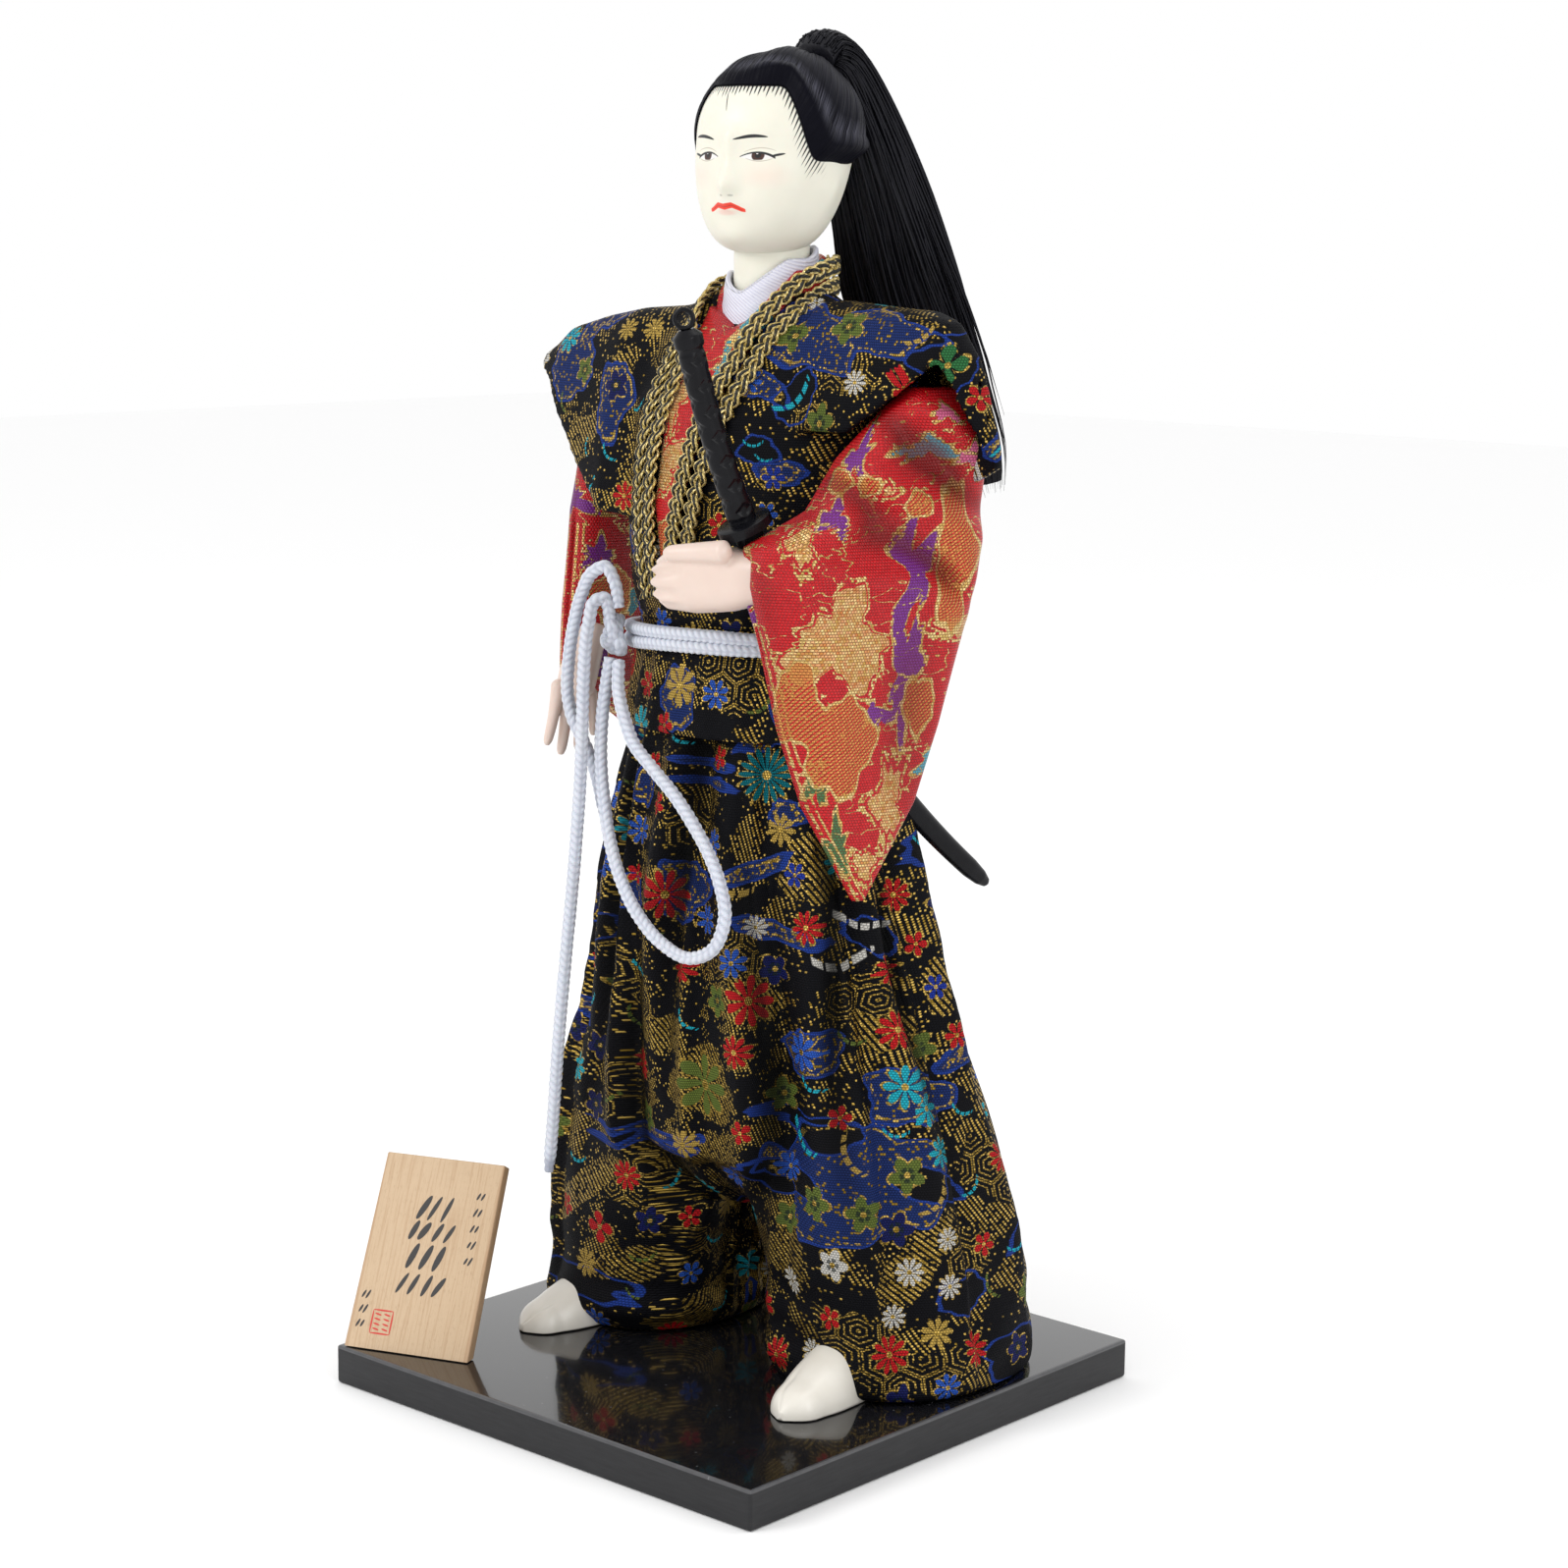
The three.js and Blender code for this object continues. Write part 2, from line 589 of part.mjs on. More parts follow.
const OPEN_HAND = {
  wrist: [-45, -3, 174],
  palm: [-45.6, -7.5, 157],
  fingers: [
    { from: [-46.3, -11.8, 160.5], to: [-49, -13, 145.4], thick: 3.4, thin: 2.2 },
    { from: [-46.3, -8.8, 159.5], to: [-48.5, -9, 142.8], thick: 3.5, thin: 2.3 },
    { from: [-45.8, -5.8, 159.5], to: [-46.5, -5.4, 143.6], thick: 3.4, thin: 2.2 },
    { from: [-45.3, -2.8, 160.5], to: [-44.5, -2.2, 147], thick: 3.1, thin: 2 },
    { from: [-42.8, -9.5, 164.5], to: [-40.2, -13.6, 151.5], thick: 3.6, thin: 2.5 },
  ],
};

function openHand(grow = 0) {
  const { wrist, palm, fingers } = OPEN_HAND;
  const parts = [
    solid(limb(wrist, palm, 9.5 + 2 * grow, 9 + 2 * grow)),
    ...fingers.map((f) => solid(limb(f.from, f.to, f.thick + 2 * grow, f.thin + 2 * grow, 6))),
  ];
  return union(...parts);
}

// Sword: one arc in an upright plane past the left hip
const SWORD = {
  pommel: [24.5, -44.5, 246.4],
  heading: 78,      // direction of the sword in plan, from +X towards +Y
  startSlope: 75.5, // slope of the hilt's end below level
  bend: 0.242,      // degrees of bend for each millimetre
  hiltLength: 47.5,
  length: 156,
};
const SCABBARD_START = SWORD.hiltLength + 2.6;

function swordPoint(distance) {
  const count = 40;
  const heading = radians(SWORD.heading);
  const place = vector(...SWORD.pommel);
  const step = distance / count;
  for (let i = 0; i < count; i += 1) {
    const slope = radians(SWORD.startSlope - SWORD.bend * (i + 0.5) * step);
    place.x += step * Math.cos(slope) * Math.cos(heading);
    place.y += step * Math.cos(slope) * Math.sin(heading);
    place.z -= step * Math.sin(slope);
  }
  return place;
}

function swordLoft(rows, sections, grow = 0) {
  const heading = radians(SWORD.heading);
  const across = vector(Math.sin(heading), -Math.cos(heading), 0);
  return loft(sections.map((distance, index) => {
    const row = along(rows, distance);
    const slope = radians(SWORD.startSlope - SWORD.bend * distance);
    const edge = vector(
      Math.cos(heading) * Math.sin(slope),
      Math.sin(heading) * Math.sin(slope),
      Math.cos(slope),
    );
    const run = edge.clone().cross(across);
    const end = index === 0 ? -grow : index === sections.length - 1 ? grow : 0;
    const centre = swordPoint(distance).addScaledVector(run, -end * Math.sign(run.z));
    return Array.from({ length: SWORD_SIDES }, (_, i) => {
      const angle = 2 * Math.PI * i / SWORD_SIDES;
      return centre.clone()
        .addScaledVector(edge, (row.deep / 2 + grow) * Math.cos(angle))
        .addScaledVector(across, (row.wide / 2 + grow) * Math.sin(angle));
    });
  }));
}

const HILT = [
  { at: 2, deep: 3.4, wide: 3 },
  { at: 3.4, deep: 6.6, wide: 5.6 },
  { at: 5.4, deep: 6.6, wide: 5.6 },
  { at: 6.2, deep: 5.6, wide: 4.6 },
  { at: 25, deep: 5.4, wide: 4.4 },
  { at: 44.6, deep: 6.2, wide: 5 },
  { at: 44.9, deep: 12.5, wide: 10.5 },
  { at: 47, deep: 12.5, wide: 10.5 },
  { at: 47.3, deep: 6.6, wide: 5.4 },
  { at: 50, deep: 6.4, wide: 5.2 },
];
const SCABBARD = [
  { at: 50, deep: 6, wide: 4.6 },
  { at: 120, deep: 5.4, wide: 4 },
  { at: 150, deep: 4.6, wide: 3.4 },
  { at: 156, deep: 2.2, wide: 1.6 },
];
const RING = { radius: 1.9, wire: 1.1, turn: 30 };
const HILT_SECTIONS = [2, 3.4, 5.4, 6.2, 18, 32, 44.6, 44.9, 47, 47.3, SCABBARD_START - GAP];
const SCABBARD_SECTIONS = [SCABBARD_START, 75, 100, 125, 150, SWORD.length];
const SWORD_SIDES = 10;

function hilt(grow = 0) {
  const grip = solid(swordLoft(HILT, HILT_SECTIONS, grow));
  const eye = new THREE.TorusGeometry(RING.radius, RING.wire / 2 + grow, 5, 10);
  eye.rotateX(Math.PI / 2);
  eye.rotateZ(radians(RING.turn));
  const top = swordPoint(0);
  eye.translate(top.x, top.y, top.z);
  return union(grip, solid(eye));
}

function scabbard(grow = 0) {
  return solid(swordLoft(SCABBARD, SCABBARD_SECTIONS, grow));
}

// Head and neck, cast in one. The face looks along -Y before the head is turned.
const SKULL = { a: 17, b: 18.6, top: 17.8, chin: 24.8 };
const NECK = { radius: 8.4, bottom: 237, tall: 35 };

// Relief of the face, as a height above the skull, by place across and up the face
function faceRelief(x, z) {
  const tip = 3.1 * bell(x / 2.2) * bell((z + 10) / 3.2);
  const bridge = 1.5 * bell(x / 1.8) * smooth(-10, 0, z) * (1 - smooth(0, 4, z));
  const sockets = -1.1 * (bell((x - 6.4) / 4) + bell((x + 6.4) / 4)) * bell((z + 3.2) / 2.8);
  const lips = 0.9 * bell(x / 3.6) * bell((z + 14.6) / 1.7);
  const chin = 1.1 * bell(x / 4.5) * bell((z + 21.5) / 3.5);
  return tip + bridge + sockets + lips + chin;
}

function skullPoint(longitude, latitude, grow = 0) {
  const up = Math.sin(latitude);
  const out = Math.cos(latitude) ** (up > 0 ? 1 : 0.58);
  const height = up > 0 ? SKULL.top : SKULL.chin;
  // Below the cheeks the head narrows to the jaw.
  const low = Math.max(-up, 0);
  const jawWide = 1 - 0.03 * low ** 2;
  const jawDeep = 1 - 0.04 * low;
  const x = SKULL.a * out * Math.sin(longitude) * jawWide;
  const y = -SKULL.b * out * Math.cos(longitude) * jawDeep - 4.6 * low;
  const z = height * up;
  const front = smooth(0.1, 0.75, Math.cos(longitude) * out);
  const relief = front * faceRelief(x, z);
  const scale = 1 + grow / 18;
  return vector(x * scale, y * scale - relief, z * scale);
}

function onNeck(point) {
  const turn = radians(HEAD.turn);
  return vector(
    HEAD.x + point.x * Math.cos(turn) - point.y * Math.sin(turn),
    HEAD.y + point.x * Math.sin(turn) + point.y * Math.cos(turn),
    HEAD.z + point.z,
  );
}

// Meridians are closer together on the face.
const MERIDIANS = Array.from({ length: 22 }, (_, i) => {
  const t = 2 * Math.PI * i / 22;
  return t - 0.45 * Math.sin(t);
});

function head() {
  const latitudes = steps(radians(-86), radians(86), 16);
  const skull = loft(latitudes.map((latitude) => MERIDIANS.map((longitude) => (
    onNeck(skullPoint(longitude, latitude))
  ))));
  const neck = new THREE.CylinderGeometry(NECK.radius, NECK.radius, NECK.tall, 16);
  neck.rotateX(Math.PI / 2);
  neck.translate(BODY.x, BODY.y + 1, NECK.bottom + NECK.tall / 2);
  return union(solid(skull), solid(neck));
}

// Combed hair, a thick cap with a rolled edge over the skull.
// The hairline is the latitude down to which the hair reaches at each longitude.
function hairline(longitude) {
  const fromFront = Math.abs(THREE.MathUtils.euclideanModulo(longitude + Math.PI, 2 * Math.PI) - Math.PI);
  const brow = radians(37);
  const temple = radians(-8);
  const nape = radians(-9);
  const toTemple = smooth(0.55, 1.15, fromFront);
  const toNape = smooth(1.7, 2.4, fromFront);
  return brow + (temple - brow) * toTemple + (nape - temple) * toNape;
}

const HAIR = { inside: 1.2, edge: 1.6, lift: 2.1, roll: 0.9 };

function hairCap(grow = 0) {
  const rows = 4;
  const rings = [];
  const meridian = MERIDIANS.map((longitude) => ({ longitude, edge: hairline(longitude) }));
  const shellPoint = ({ longitude, edge }, t, thickness) => {
    const latitude = edge + (radians(87) - edge) * t;
    const bare = skullPoint(longitude, latitude);
    const outward = vector(bare.x / SKULL.a ** 2, bare.y / SKULL.b ** 2, bare.z / SKULL.top ** 2);
    return onNeck(bare.addScaledVector(outward.normalize(), thickness));
  };
  for (const t of [...steps(0, 1, rows)].reverse()) {
    rings.push(meridian.map((m) => shellPoint(m, t, HAIR.inside - grow)));
  }
  for (const t of [0, 0.06, 0.2, 0.45, 0.7, 1]) {
    const roll = t < 0.45 ? HAIR.roll * Math.sin(Math.PI * t / 0.45) : 0;
    const thickness = t === 0 ? HAIR.edge : HAIR.lift + roll;
    rings.push(meridian.map((m) => shellPoint(m, t, thickness + grow)));
  }
  return loft(rings);
}

// Ponytail: tied at the crown, it rises, falls behind the back and ends in loose strands
const TAIL = [
  { at: 0, x: 2, y: 20.5, z: 302, a: 5, b: 4 },
  { at: 0.08, x: 1.6, y: 23.5, z: 304, a: 6, b: 4.4 },
  { at: 0.2, x: 1.8, y: 28, z: 300, a: 7.6, b: 6 },
  { at: 0.35, x: 4.4, y: 33, z: 287, a: 9.6, b: 8.2 },
  { at: 0.5, x: 7.4, y: 38.2, z: 269, a: 12, b: 9.6 },
  { at: 0.65, x: 9.8, y: 43, z: 250, a: 14, b: 9.4 },
  { at: 0.8, x: 14, y: 49.5, z: 231, a: 12.5, b: 7 },
  { at: 0.92, x: 19.5, y: 56, z: 216, a: 8, b: 4.2 },
  { at: 1, x: 21.5, y: 59.5, z: 204, a: 4.5, b: 2 },
];

function ponytail() {
  const line = new THREE.CatmullRomCurve3(TAIL.map((row) => vector(row.x, row.y, row.z)));
  const last = TAIL.length - 1;
  return loft(steps(0, 1, 12).map((t) => {
    const place = t * last;
    const below = Math.min(Math.floor(place), last - 1);
    const mix = place - below;
    const wide = THREE.MathUtils.lerp(TAIL[below].a, TAIL[below + 1].a, mix);
    const deep = THREE.MathUtils.lerp(TAIL[below].b, TAIL[below + 1].b, mix);
    const centre = line.getPoint(t);
    const direction = line.getTangent(t);
    const sideways = vector(1, 0.25, 0);
    sideways.addScaledVector(direction, -sideways.dot(direction)).normalize();
    const outward = direction.clone().cross(sideways);
    const sides = 14;
    return Array.from({ length: sides }, (_, i) => {
      const angle = 2 * Math.PI * i / sides;
      const lock = 1 + 0.05 * (i % 2 ? 1 : -1) * smooth(0.1, 0.4, t);
      return centre.clone()
        .addScaledVector(sideways, wide * lock * Math.cos(angle))
        .addScaledVector(outward, deep * lock * Math.sin(angle));
    });
  }));
}

// White cord belt: two turns round the waist, lying one on the other
function belt(grow = 0) {
  const around = 20;
  const rings = Array.from({ length: around }, (_, i) => {
    const angle = 2 * Math.PI * i / around;
    const row = along(TORSO, WAIST_Z);
    const reach = CORD / 2 + 2 * GAP;
    const outward = vector(Math.cos(angle) / row.a, Math.sin(angle) / row.b, 0).normalize();
    const centre = vector(
      BODY.x + row.a * Math.cos(angle),
      row.y + row.b * Math.sin(angle),
      WAIST_Z + 1.2 * Math.cos(angle + 0.6),
    ).addScaledVector(outward, reach);
    const outline = [];
    for (const [turn, from, to] of [[1, -30, 210], [-1, 150, 390]]) {
      for (const degrees of steps(from, to, 3)) {
        const out = Math.cos(radians(degrees)) * (CORD / 2 + grow);
        const up = Math.sin(radians(degrees)) * (CORD / 2 + grow) + turn * CORD * 0.43;
        outline.push(centre.clone().addScaledVector(outward, out).add(vector(0, 0, up)));
      }
    }
    return outline;
  });
  return loft(rings, true);
}

// Knot of the belt on the right hip, from which the cords hang
const KNOT = { x: -21.2, y: -17.8, z: 174.4, a: 4.4, b: 3.4, tall: 4.8 };

function knot(grow = 0) {
  const geometry = new THREE.SphereGeometry(1, 10, 6);
  geometry.scale(KNOT.a + grow, KNOT.b + grow, KNOT.tall + grow);
  geometry.rotateZ(radians(-35));
  geometry.translate(KNOT.x, KNOT.y, KNOT.z);
  return geometry;
}

// Free cords, each by hand-placed points from the knot
const CORDS = {
  cord_loop: [
    [-20.1, -21, 169.5], [-20.6, -22, 162.8], [-21.2, -22.6, 155], [-21.1, -23, 146.2],
    [-19.1, -24, 137.6], [-16.4, -25.2, 130.3], [-10.4, -27.4, 121.3], [-3.1, -29.2, 114.4],
    [4.7, -30, 109.5], [13.2, -29.8, 107.3], [19.7, -29, 110.4], [21.6, -27.6, 117.2],
    [19.3, -26.8, 124.4], [15.6, -26.4, 130.4], [10.8, -26.3, 136.2], [5.5, -26.4, 141.7],
    [-1.6, -26.6, 147.4], [-7.8, -26.2, 152.3], [-11.6, -25.4, 158], [-14.6, -24, 163.2],
    [-16.9, -21.6, 169],
  ],
  cord_tail_long: [
    [-20.6, -20.5, 178.2], [-21.6, -22, 182.9], [-22.6, -23.4, 182.2], [-23.3, -24.6, 177.9],
    [-23.7, -25.4, 171.7], [-23.9, -25.8, 165.1], [-24, -26, 156.2], [-24.6, -26, 142.7],
    [-25.4, -26.2, 131.4], [-26.3, -26.8, 117.8], [-27.1, -27.6, 105.3], [-27.7, -28.6, 92.8],
    [-28.5, -29.4, 79], [-29.2, -30, 65.1], [-30.4, -30.4, 50.3],
  ],
  cord_tail_short: [
    [-19.6, -19, 180.8], [-19.9, -20, 186.6], [-21.7, -21, 189.8], [-24.7, -22, 188.4],
    [-27.8, -22.6, 183.1], [-30.1, -22.8, 175.8], [-32.1, -22.4, 167.3], [-32.8, -22, 160.4],
    [-31.9, -21.4, 154.9], [-29.3, -20.8, 150.1], [-26.4, -20.2, 144.5], [-24.4, -20, 138.7],
    [-22.4, -20.4, 132.2],
  ],
};
const CORD_PIECES = { cord_loop: 24, cord_tail_long: 16, cord_tail_short: 13 };

// Finishes
const finish = (color, roughness, metalness = 0) => (
  new THREE.MeshStandardMaterial({ color, roughness, metalness })
);
const FINISHES = {
  lacquer: finish(0x0b0b0d, 0.12),
  wood: finish(0xd9b485, 0.6),
  resin: finish(0xf1ebd8, 0.35),
  flesh: finish(0xf0d2c2, 0.4),
  hair: finish(0x0c0d12, 0.35),
  brocade: finish(0x2a2a33, 0.6),
  silk: finish(0xc21f22, 0.5),
  white: finish(0xeef0f4, 0.7),
  gold: finish(0x8f7a30, 0.4, 0.5),
  plastic: finish(0x121214, 0.3),
};

// Assembly
const group = new THREE.Group();

function add(name, shape, material) {
  const geometry = shape.isBufferGeometry ? shape : geometryOf(shape);
  const mesh = new THREE.Mesh(geometry, material);
  mesh.name = name;
  group.add(mesh);
}

const feet = Object.entries(FEET);
const hakamaWhole = union(solid(hakamaSkirt()), ...LEGS.map((leg) => solid(hakamaLeg(leg))));
const hakama = without(hakamaWhole, scabbard(CLEAR), ...feet.map(([, size]) => solid(foot(size, CLEAR))));

const wholeVest = (grow) => union(
  solid(torso(grow)),
  ...Object.values(WINGS).map((shape) => solid(wing(shape, grow))),
);
const vest = without(
  wholeVest(0),
  solid(waistRoom()),
  solid(collarRoom(RED_COLLAR)),
  solid(chestPanel(CLEAR)),
  solid(trim(2.5 * GAP)),
  scabbard(CLEAR),
);
const redWhole = union(solid(collar(RED_COLLAR)), solid(chestPanel()));
const redFront = without(redWhole, solid(collarRoom(WHITE_COLLAR)));
const vestRoom = wholeVest(CLEAR);
const sleeves = {
  left: without(
    solid(sleeve(SLEEVES.left)),
    vestRoom,
    solid(fist(CLEAR)),
    scabbard(CLEAR),
    hilt(CLEAR),
  ),
  right: without(solid(sleeve(SLEEVES.right)), vestRoom, openHand(CLEAR)),
};
const cords = Object.entries(CORDS).map(([name, route]) => {
  const points = route.map((place) => vector(...place));
  return [name, (grow) => tube(points, CORD + 2 * grow, { pieces: CORD_PIECES[name] })];
});

add("plinth", board(), FINISHES.lacquer);
add("name_plaque", plaque(), FINISHES.wood);
for (const [name, size] of feet) add(name, foot(size), FINISHES.resin);
add("hakama", hakama, FINISHES.brocade);
add("vest", vest, FINISHES.brocade);
add("kimono_collar", redFront, FINISHES.silk);
add("inner_collar", collar(WHITE_COLLAR), FINISHES.white);
add("head", head(), FINISHES.resin);
add("hair_cap", hairCap(), FINISHES.hair);
add("ponytail", without(solid(ponytail()), solid(hairCap(CLEAR))), FINISHES.hair);
add("neck_trim", trim(), FINISHES.gold);
add("sleeve_left", sleeves.left, FINISHES.silk);
add("sleeve_right", sleeves.right, FINISHES.silk);
add("hand_left", without(solid(fist()), scabbard(CLEAR)), FINISHES.flesh);
add("hand_right", openHand(), FINISHES.flesh);
add("sword_hilt", hilt(), FINISHES.plastic);
add("scabbard", scabbard(), FINISHES.plastic);
add("waist_cord", without(solid(belt()), scabbard(CLEAR), solid(knot(CLEAR))), FINISHES.white);
add("cord_knot", without(solid(knot()), ...cords.map(([, made]) => solid(made(CLEAR)))), FINISHES.white);
for (const [name, made] of cords) add(name, made(0), FINISHES.white);

export default group;
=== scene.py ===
# %% [markdown]
# A samurai doll on its square board, about 31 cm tall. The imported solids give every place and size.
# This script loads them as a fixed frame and builds the visible cloth, hair, resin and plaited cords
# around them. Sizes below are in millimetres, as a doll maker would state them.

import math

import bmesh
import bpy
import numpy as np
from mathutils import Matrix, Vector


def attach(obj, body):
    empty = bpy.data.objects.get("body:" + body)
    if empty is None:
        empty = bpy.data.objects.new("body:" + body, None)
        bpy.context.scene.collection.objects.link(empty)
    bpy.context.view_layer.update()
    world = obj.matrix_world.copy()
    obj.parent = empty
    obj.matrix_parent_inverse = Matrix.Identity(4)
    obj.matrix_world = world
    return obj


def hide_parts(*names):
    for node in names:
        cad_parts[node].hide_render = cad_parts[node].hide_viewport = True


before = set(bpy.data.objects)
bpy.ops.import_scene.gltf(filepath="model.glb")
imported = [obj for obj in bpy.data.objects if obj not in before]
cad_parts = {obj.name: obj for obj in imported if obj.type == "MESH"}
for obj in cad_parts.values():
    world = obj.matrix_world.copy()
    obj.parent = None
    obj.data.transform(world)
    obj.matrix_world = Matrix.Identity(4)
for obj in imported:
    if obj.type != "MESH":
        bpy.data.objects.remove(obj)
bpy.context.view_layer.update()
MM = 0.001
GAP = 0.3
FLOOR = 9 + GAP
print("solids:", len(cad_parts))

# %% [markdown]
# The photograph was taken from the doll's left front, a little above its waist. The camera below was
# fitted to the corners of the board, so the render can be laid over the photograph.

# %% Camera
CAMERA = {"azimuth": 41.943, "pitch": 9.798, "roll": 0.637, "distance": 757.216, "lens": 76.94}
TARGET_HEIGHT = 140.854
TARGET_SHIFT = 10.152


def place_camera():
    turn = math.radians(CAMERA["azimuth"])
    pitch = math.radians(CAMERA["pitch"])
    roll = math.radians(CAMERA["roll"])
    back = Vector((math.sin(turn) * math.cos(pitch), -math.cos(turn) * math.cos(pitch), math.sin(pitch)))
    right = Vector((math.cos(turn), math.sin(turn), 0))
    up = back.cross(right)
    level = right.copy()
    right = right * math.cos(roll) + up * math.sin(roll)
    up = up * math.cos(roll) - level * math.sin(roll)
    target = Vector((0, 0, TARGET_HEIGHT)) + level * TARGET_SHIFT
    bpy.ops.object.camera_add()
    camera = bpy.context.object
    camera.matrix_world = Matrix((right, up, back)).transposed().to_4x4()
    camera.location = (target + back * CAMERA["distance"]) * MM
    camera.data.lens = CAMERA["lens"]
    camera.data.sensor_width = 36
    camera.data.clip_start = 0.01
    bpy.context.scene.camera = camera


place_camera()

# %% [markdown]
# Most pieces here are cloth, hair and cord, whose shapes follow a profile or a line. Each starts as a
# grid primitive. A formula then lays its rows and columns out as rings, and merging by distance closes
# the seam and the two ends. The grid keeps a UV map in millimetres of cloth, so that a woven pattern
# keeps its scale wherever the cloth goes.

# %% Profiles and rings
def table(names, *rows):
    """Rows of values under a line of their names. In a profile, "at" is the place along the piece."""
    return [dict(zip(names.split(), row)) for row in rows]


def hermite(x, y, at):
    """A smooth curve through values y at places x."""
    slope = np.gradient(y, x)
    i = np.clip(np.searchsorted(x, at) - 1, 0, len(x) - 2)
    h = x[i + 1] - x[i]
    t = (at - x[i]) / h
    low = (1 + 2 * t) * (1 - t) ** 2 * y[i] + t * (1 - t) ** 2 * h * slope[i]
    high = t * t * (3 - 2 * t) * y[i + 1] + t * t * (t - 1) * h * slope[i + 1]
    return low + high


def along(rows, key, at):
    """A smooth curve through the rows of a profile, level past its ends."""
    x = np.array([row["at"] for row in rows], float)
    y = np.array([row[key] for row in rows], float)
    return hermite(x, y, np.clip(at, x[0], x[-1]))


def linear(rows, key, at):
    """Straight lines through the rows of a profile."""
    return np.interp(at, [row["at"] for row in rows], [row[key] for row in rows])


def through(points, count):
    """Evenly spaced points on a smooth curve through a few given ones, and its length."""
    points = np.array(points, float)
    at = np.concatenate([[0], np.cumsum(np.linalg.norm(np.diff(points, axis=0), axis=1))])
    fine = np.linspace(0, at[-1], 40 * len(points))
    curve = np.stack([hermite(at, points[:, k], fine) for k in range(points.shape[1])], 1)
    run = np.concatenate([[0], np.cumsum(np.linalg.norm(np.diff(curve, axis=0), axis=1))])
    even = np.linspace(0, run[-1], count)
    return np.stack([np.interp(even, run, curve[:, k]) for k in range(points.shape[1])], 1), run[-1]


def bell(t):
    return np.exp(-np.square(t))


def ease(low, high, value):
    t = np.clip((value - low) / (high - low), 0, 1)
    return t * t * (3 - 2 * t)


def power(value, exponent):
    return np.sign(value) * np.abs(value) ** exponent


def circle(sides):
    """Evenly spaced angles once round."""
    return np.linspace(0, 2 * math.pi, sides, endpoint=False)


def unit(directions):
    return directions / np.linalg.norm(directions, axis=-1, keepdims=True)


def turned(x, y, degrees):
    """Places in plan, turned about an upright axis."""
    c, s = math.cos(math.radians(degrees)), math.sin(math.radians(degrees))
    return x * c - y * s, x * s + y * c


# %% Smooth noise
def ripple(x, y, seed, size=1.0):
    """Soft random hills between -1 and 1, as a sum of seeded waves."""
    draw = np.random.default_rng(seed)
    total = np.zeros(np.broadcast(x, y).shape)
    for _ in range(9):
        turn = draw.uniform(0, 2 * math.pi)
        pitch = draw.uniform(0.6, 1.7) / size
        phase = draw.uniform(0, 2 * math.pi)
        total += np.sin((x * math.cos(turn) + y * math.sin(turn)) * pitch + phase)
    return total / 4.5


# %% Mesh helpers
def deselect():
    bpy.ops.object.select_all(action="DESELECT")


def activate(piece):
    deselect()
    piece.select_set(True)
    bpy.context.view_layer.objects.active = piece


def write_points(mesh, points):
    mesh.vertices.foreach_set("co", np.ascontiguousarray(points * MM, dtype=np.float32).ravel())
    mesh.update()


def read_points(mesh):
    points = np.zeros(len(mesh.vertices) * 3, np.float32)
    mesh.vertices.foreach_get("co", points)
    return points.reshape(-1, 3).astype(float) / MM


def read_normals(mesh):
    normals = np.zeros(len(mesh.vertices) * 3, np.float32)
    mesh.vertices.foreach_get("normal", normals)
    return normals.reshape(-1, 3).astype(float)


def write_vector(piece, name, values, domain="POINT"):
    """An attribute of three numbers, or of one and two noughts, that materials read by name."""
    values = np.ascontiguousarray(values, dtype=np.float32)
    if values.ndim == 1:
        values = np.stack([values, 0 * values, 0 * values], 1)
    layer = piece.data.attributes.new(name, "FLOAT_VECTOR", domain)
    layer.data.foreach_set("vector", values.ravel())


def close_up(piece, distance=0.004):
    """Merges the seam and the poles, and turns all faces outwards."""
    activate(piece)
    bpy.ops.object.mode_set(mode="EDIT")
    bpy.ops.mesh.select_all(action="SELECT")
    bpy.ops.mesh.remove_doubles(threshold=distance * MM)
    bpy.ops.mesh.normals_make_consistent(inside=False)
    bpy.ops.object.mode_set(mode="OBJECT")
    bpy.ops.object.shade_smooth()


def grid(name, rows, columns):
    """A flat grid of points, and the row and the column of each."""
    deselect()
    bpy.ops.mesh.primitive_grid_add(x_subdivisions=columns - 1, y_subdivisions=rows - 1, size=1)
    piece = bpy.context.object
    piece.name = name
    flat = read_points(piece.data) * MM
    column = np.rint((flat[:, 0] + 0.5) * (columns - 1)).astype(int)
    row = np.rint((flat[:, 1] + 0.5) * (rows - 1)).astype(int)
    return piece, row, column


def skin(name, rings, cloth=None, ends=True, loop=False, hollow_shade=None):
    """A grid laid over rings of points. rings is rows by sides by 3, in millimetres."""
    rings = np.array(rings, float)
    if ends:
        rings = np.concatenate([ring_middle(rings[:1]), rings, ring_middle(rings[-1:])])
        if cloth is not None:
            cloth = np.concatenate([cloth[:1], cloth, cloth[-1:]])
        if hollow_shade is not None:
            hollow_shade = np.concatenate([hollow_shade[:1], hollow_shade, hollow_shade[-1:]])
    if loop:
        rings = np.concatenate([rings, rings[:1]])
        if hollow_shade is not None:
            hollow_shade = np.concatenate([hollow_shade, hollow_shade[:1]])
    rings = np.concatenate([rings, rings[:, :1]], 1)
    piece, row, column = grid(name, *rings.shape[:2])
    mesh = piece.data
    write_points(mesh, rings[row, column])
    if cloth is not None:
        corner = np.zeros(len(mesh.loops), int)
        mesh.loops.foreach_get("vertex_index", corner)
        mesh.uv_layers[0].name = "cloth"
        mesh.uv_layers[0].data.foreach_set("uv", cloth[row, column][corner].astype(np.float32).ravel())
    # How deep each point lies in a hollow, kept for the finishes, which paint it as shade.
    if hollow_shade is not None:
        write_vector(piece, "painted_hollow_shade", np.concatenate([hollow_shade, hollow_shade[:, :1]], 1)[row, column])
    close_up(piece)
    return piece


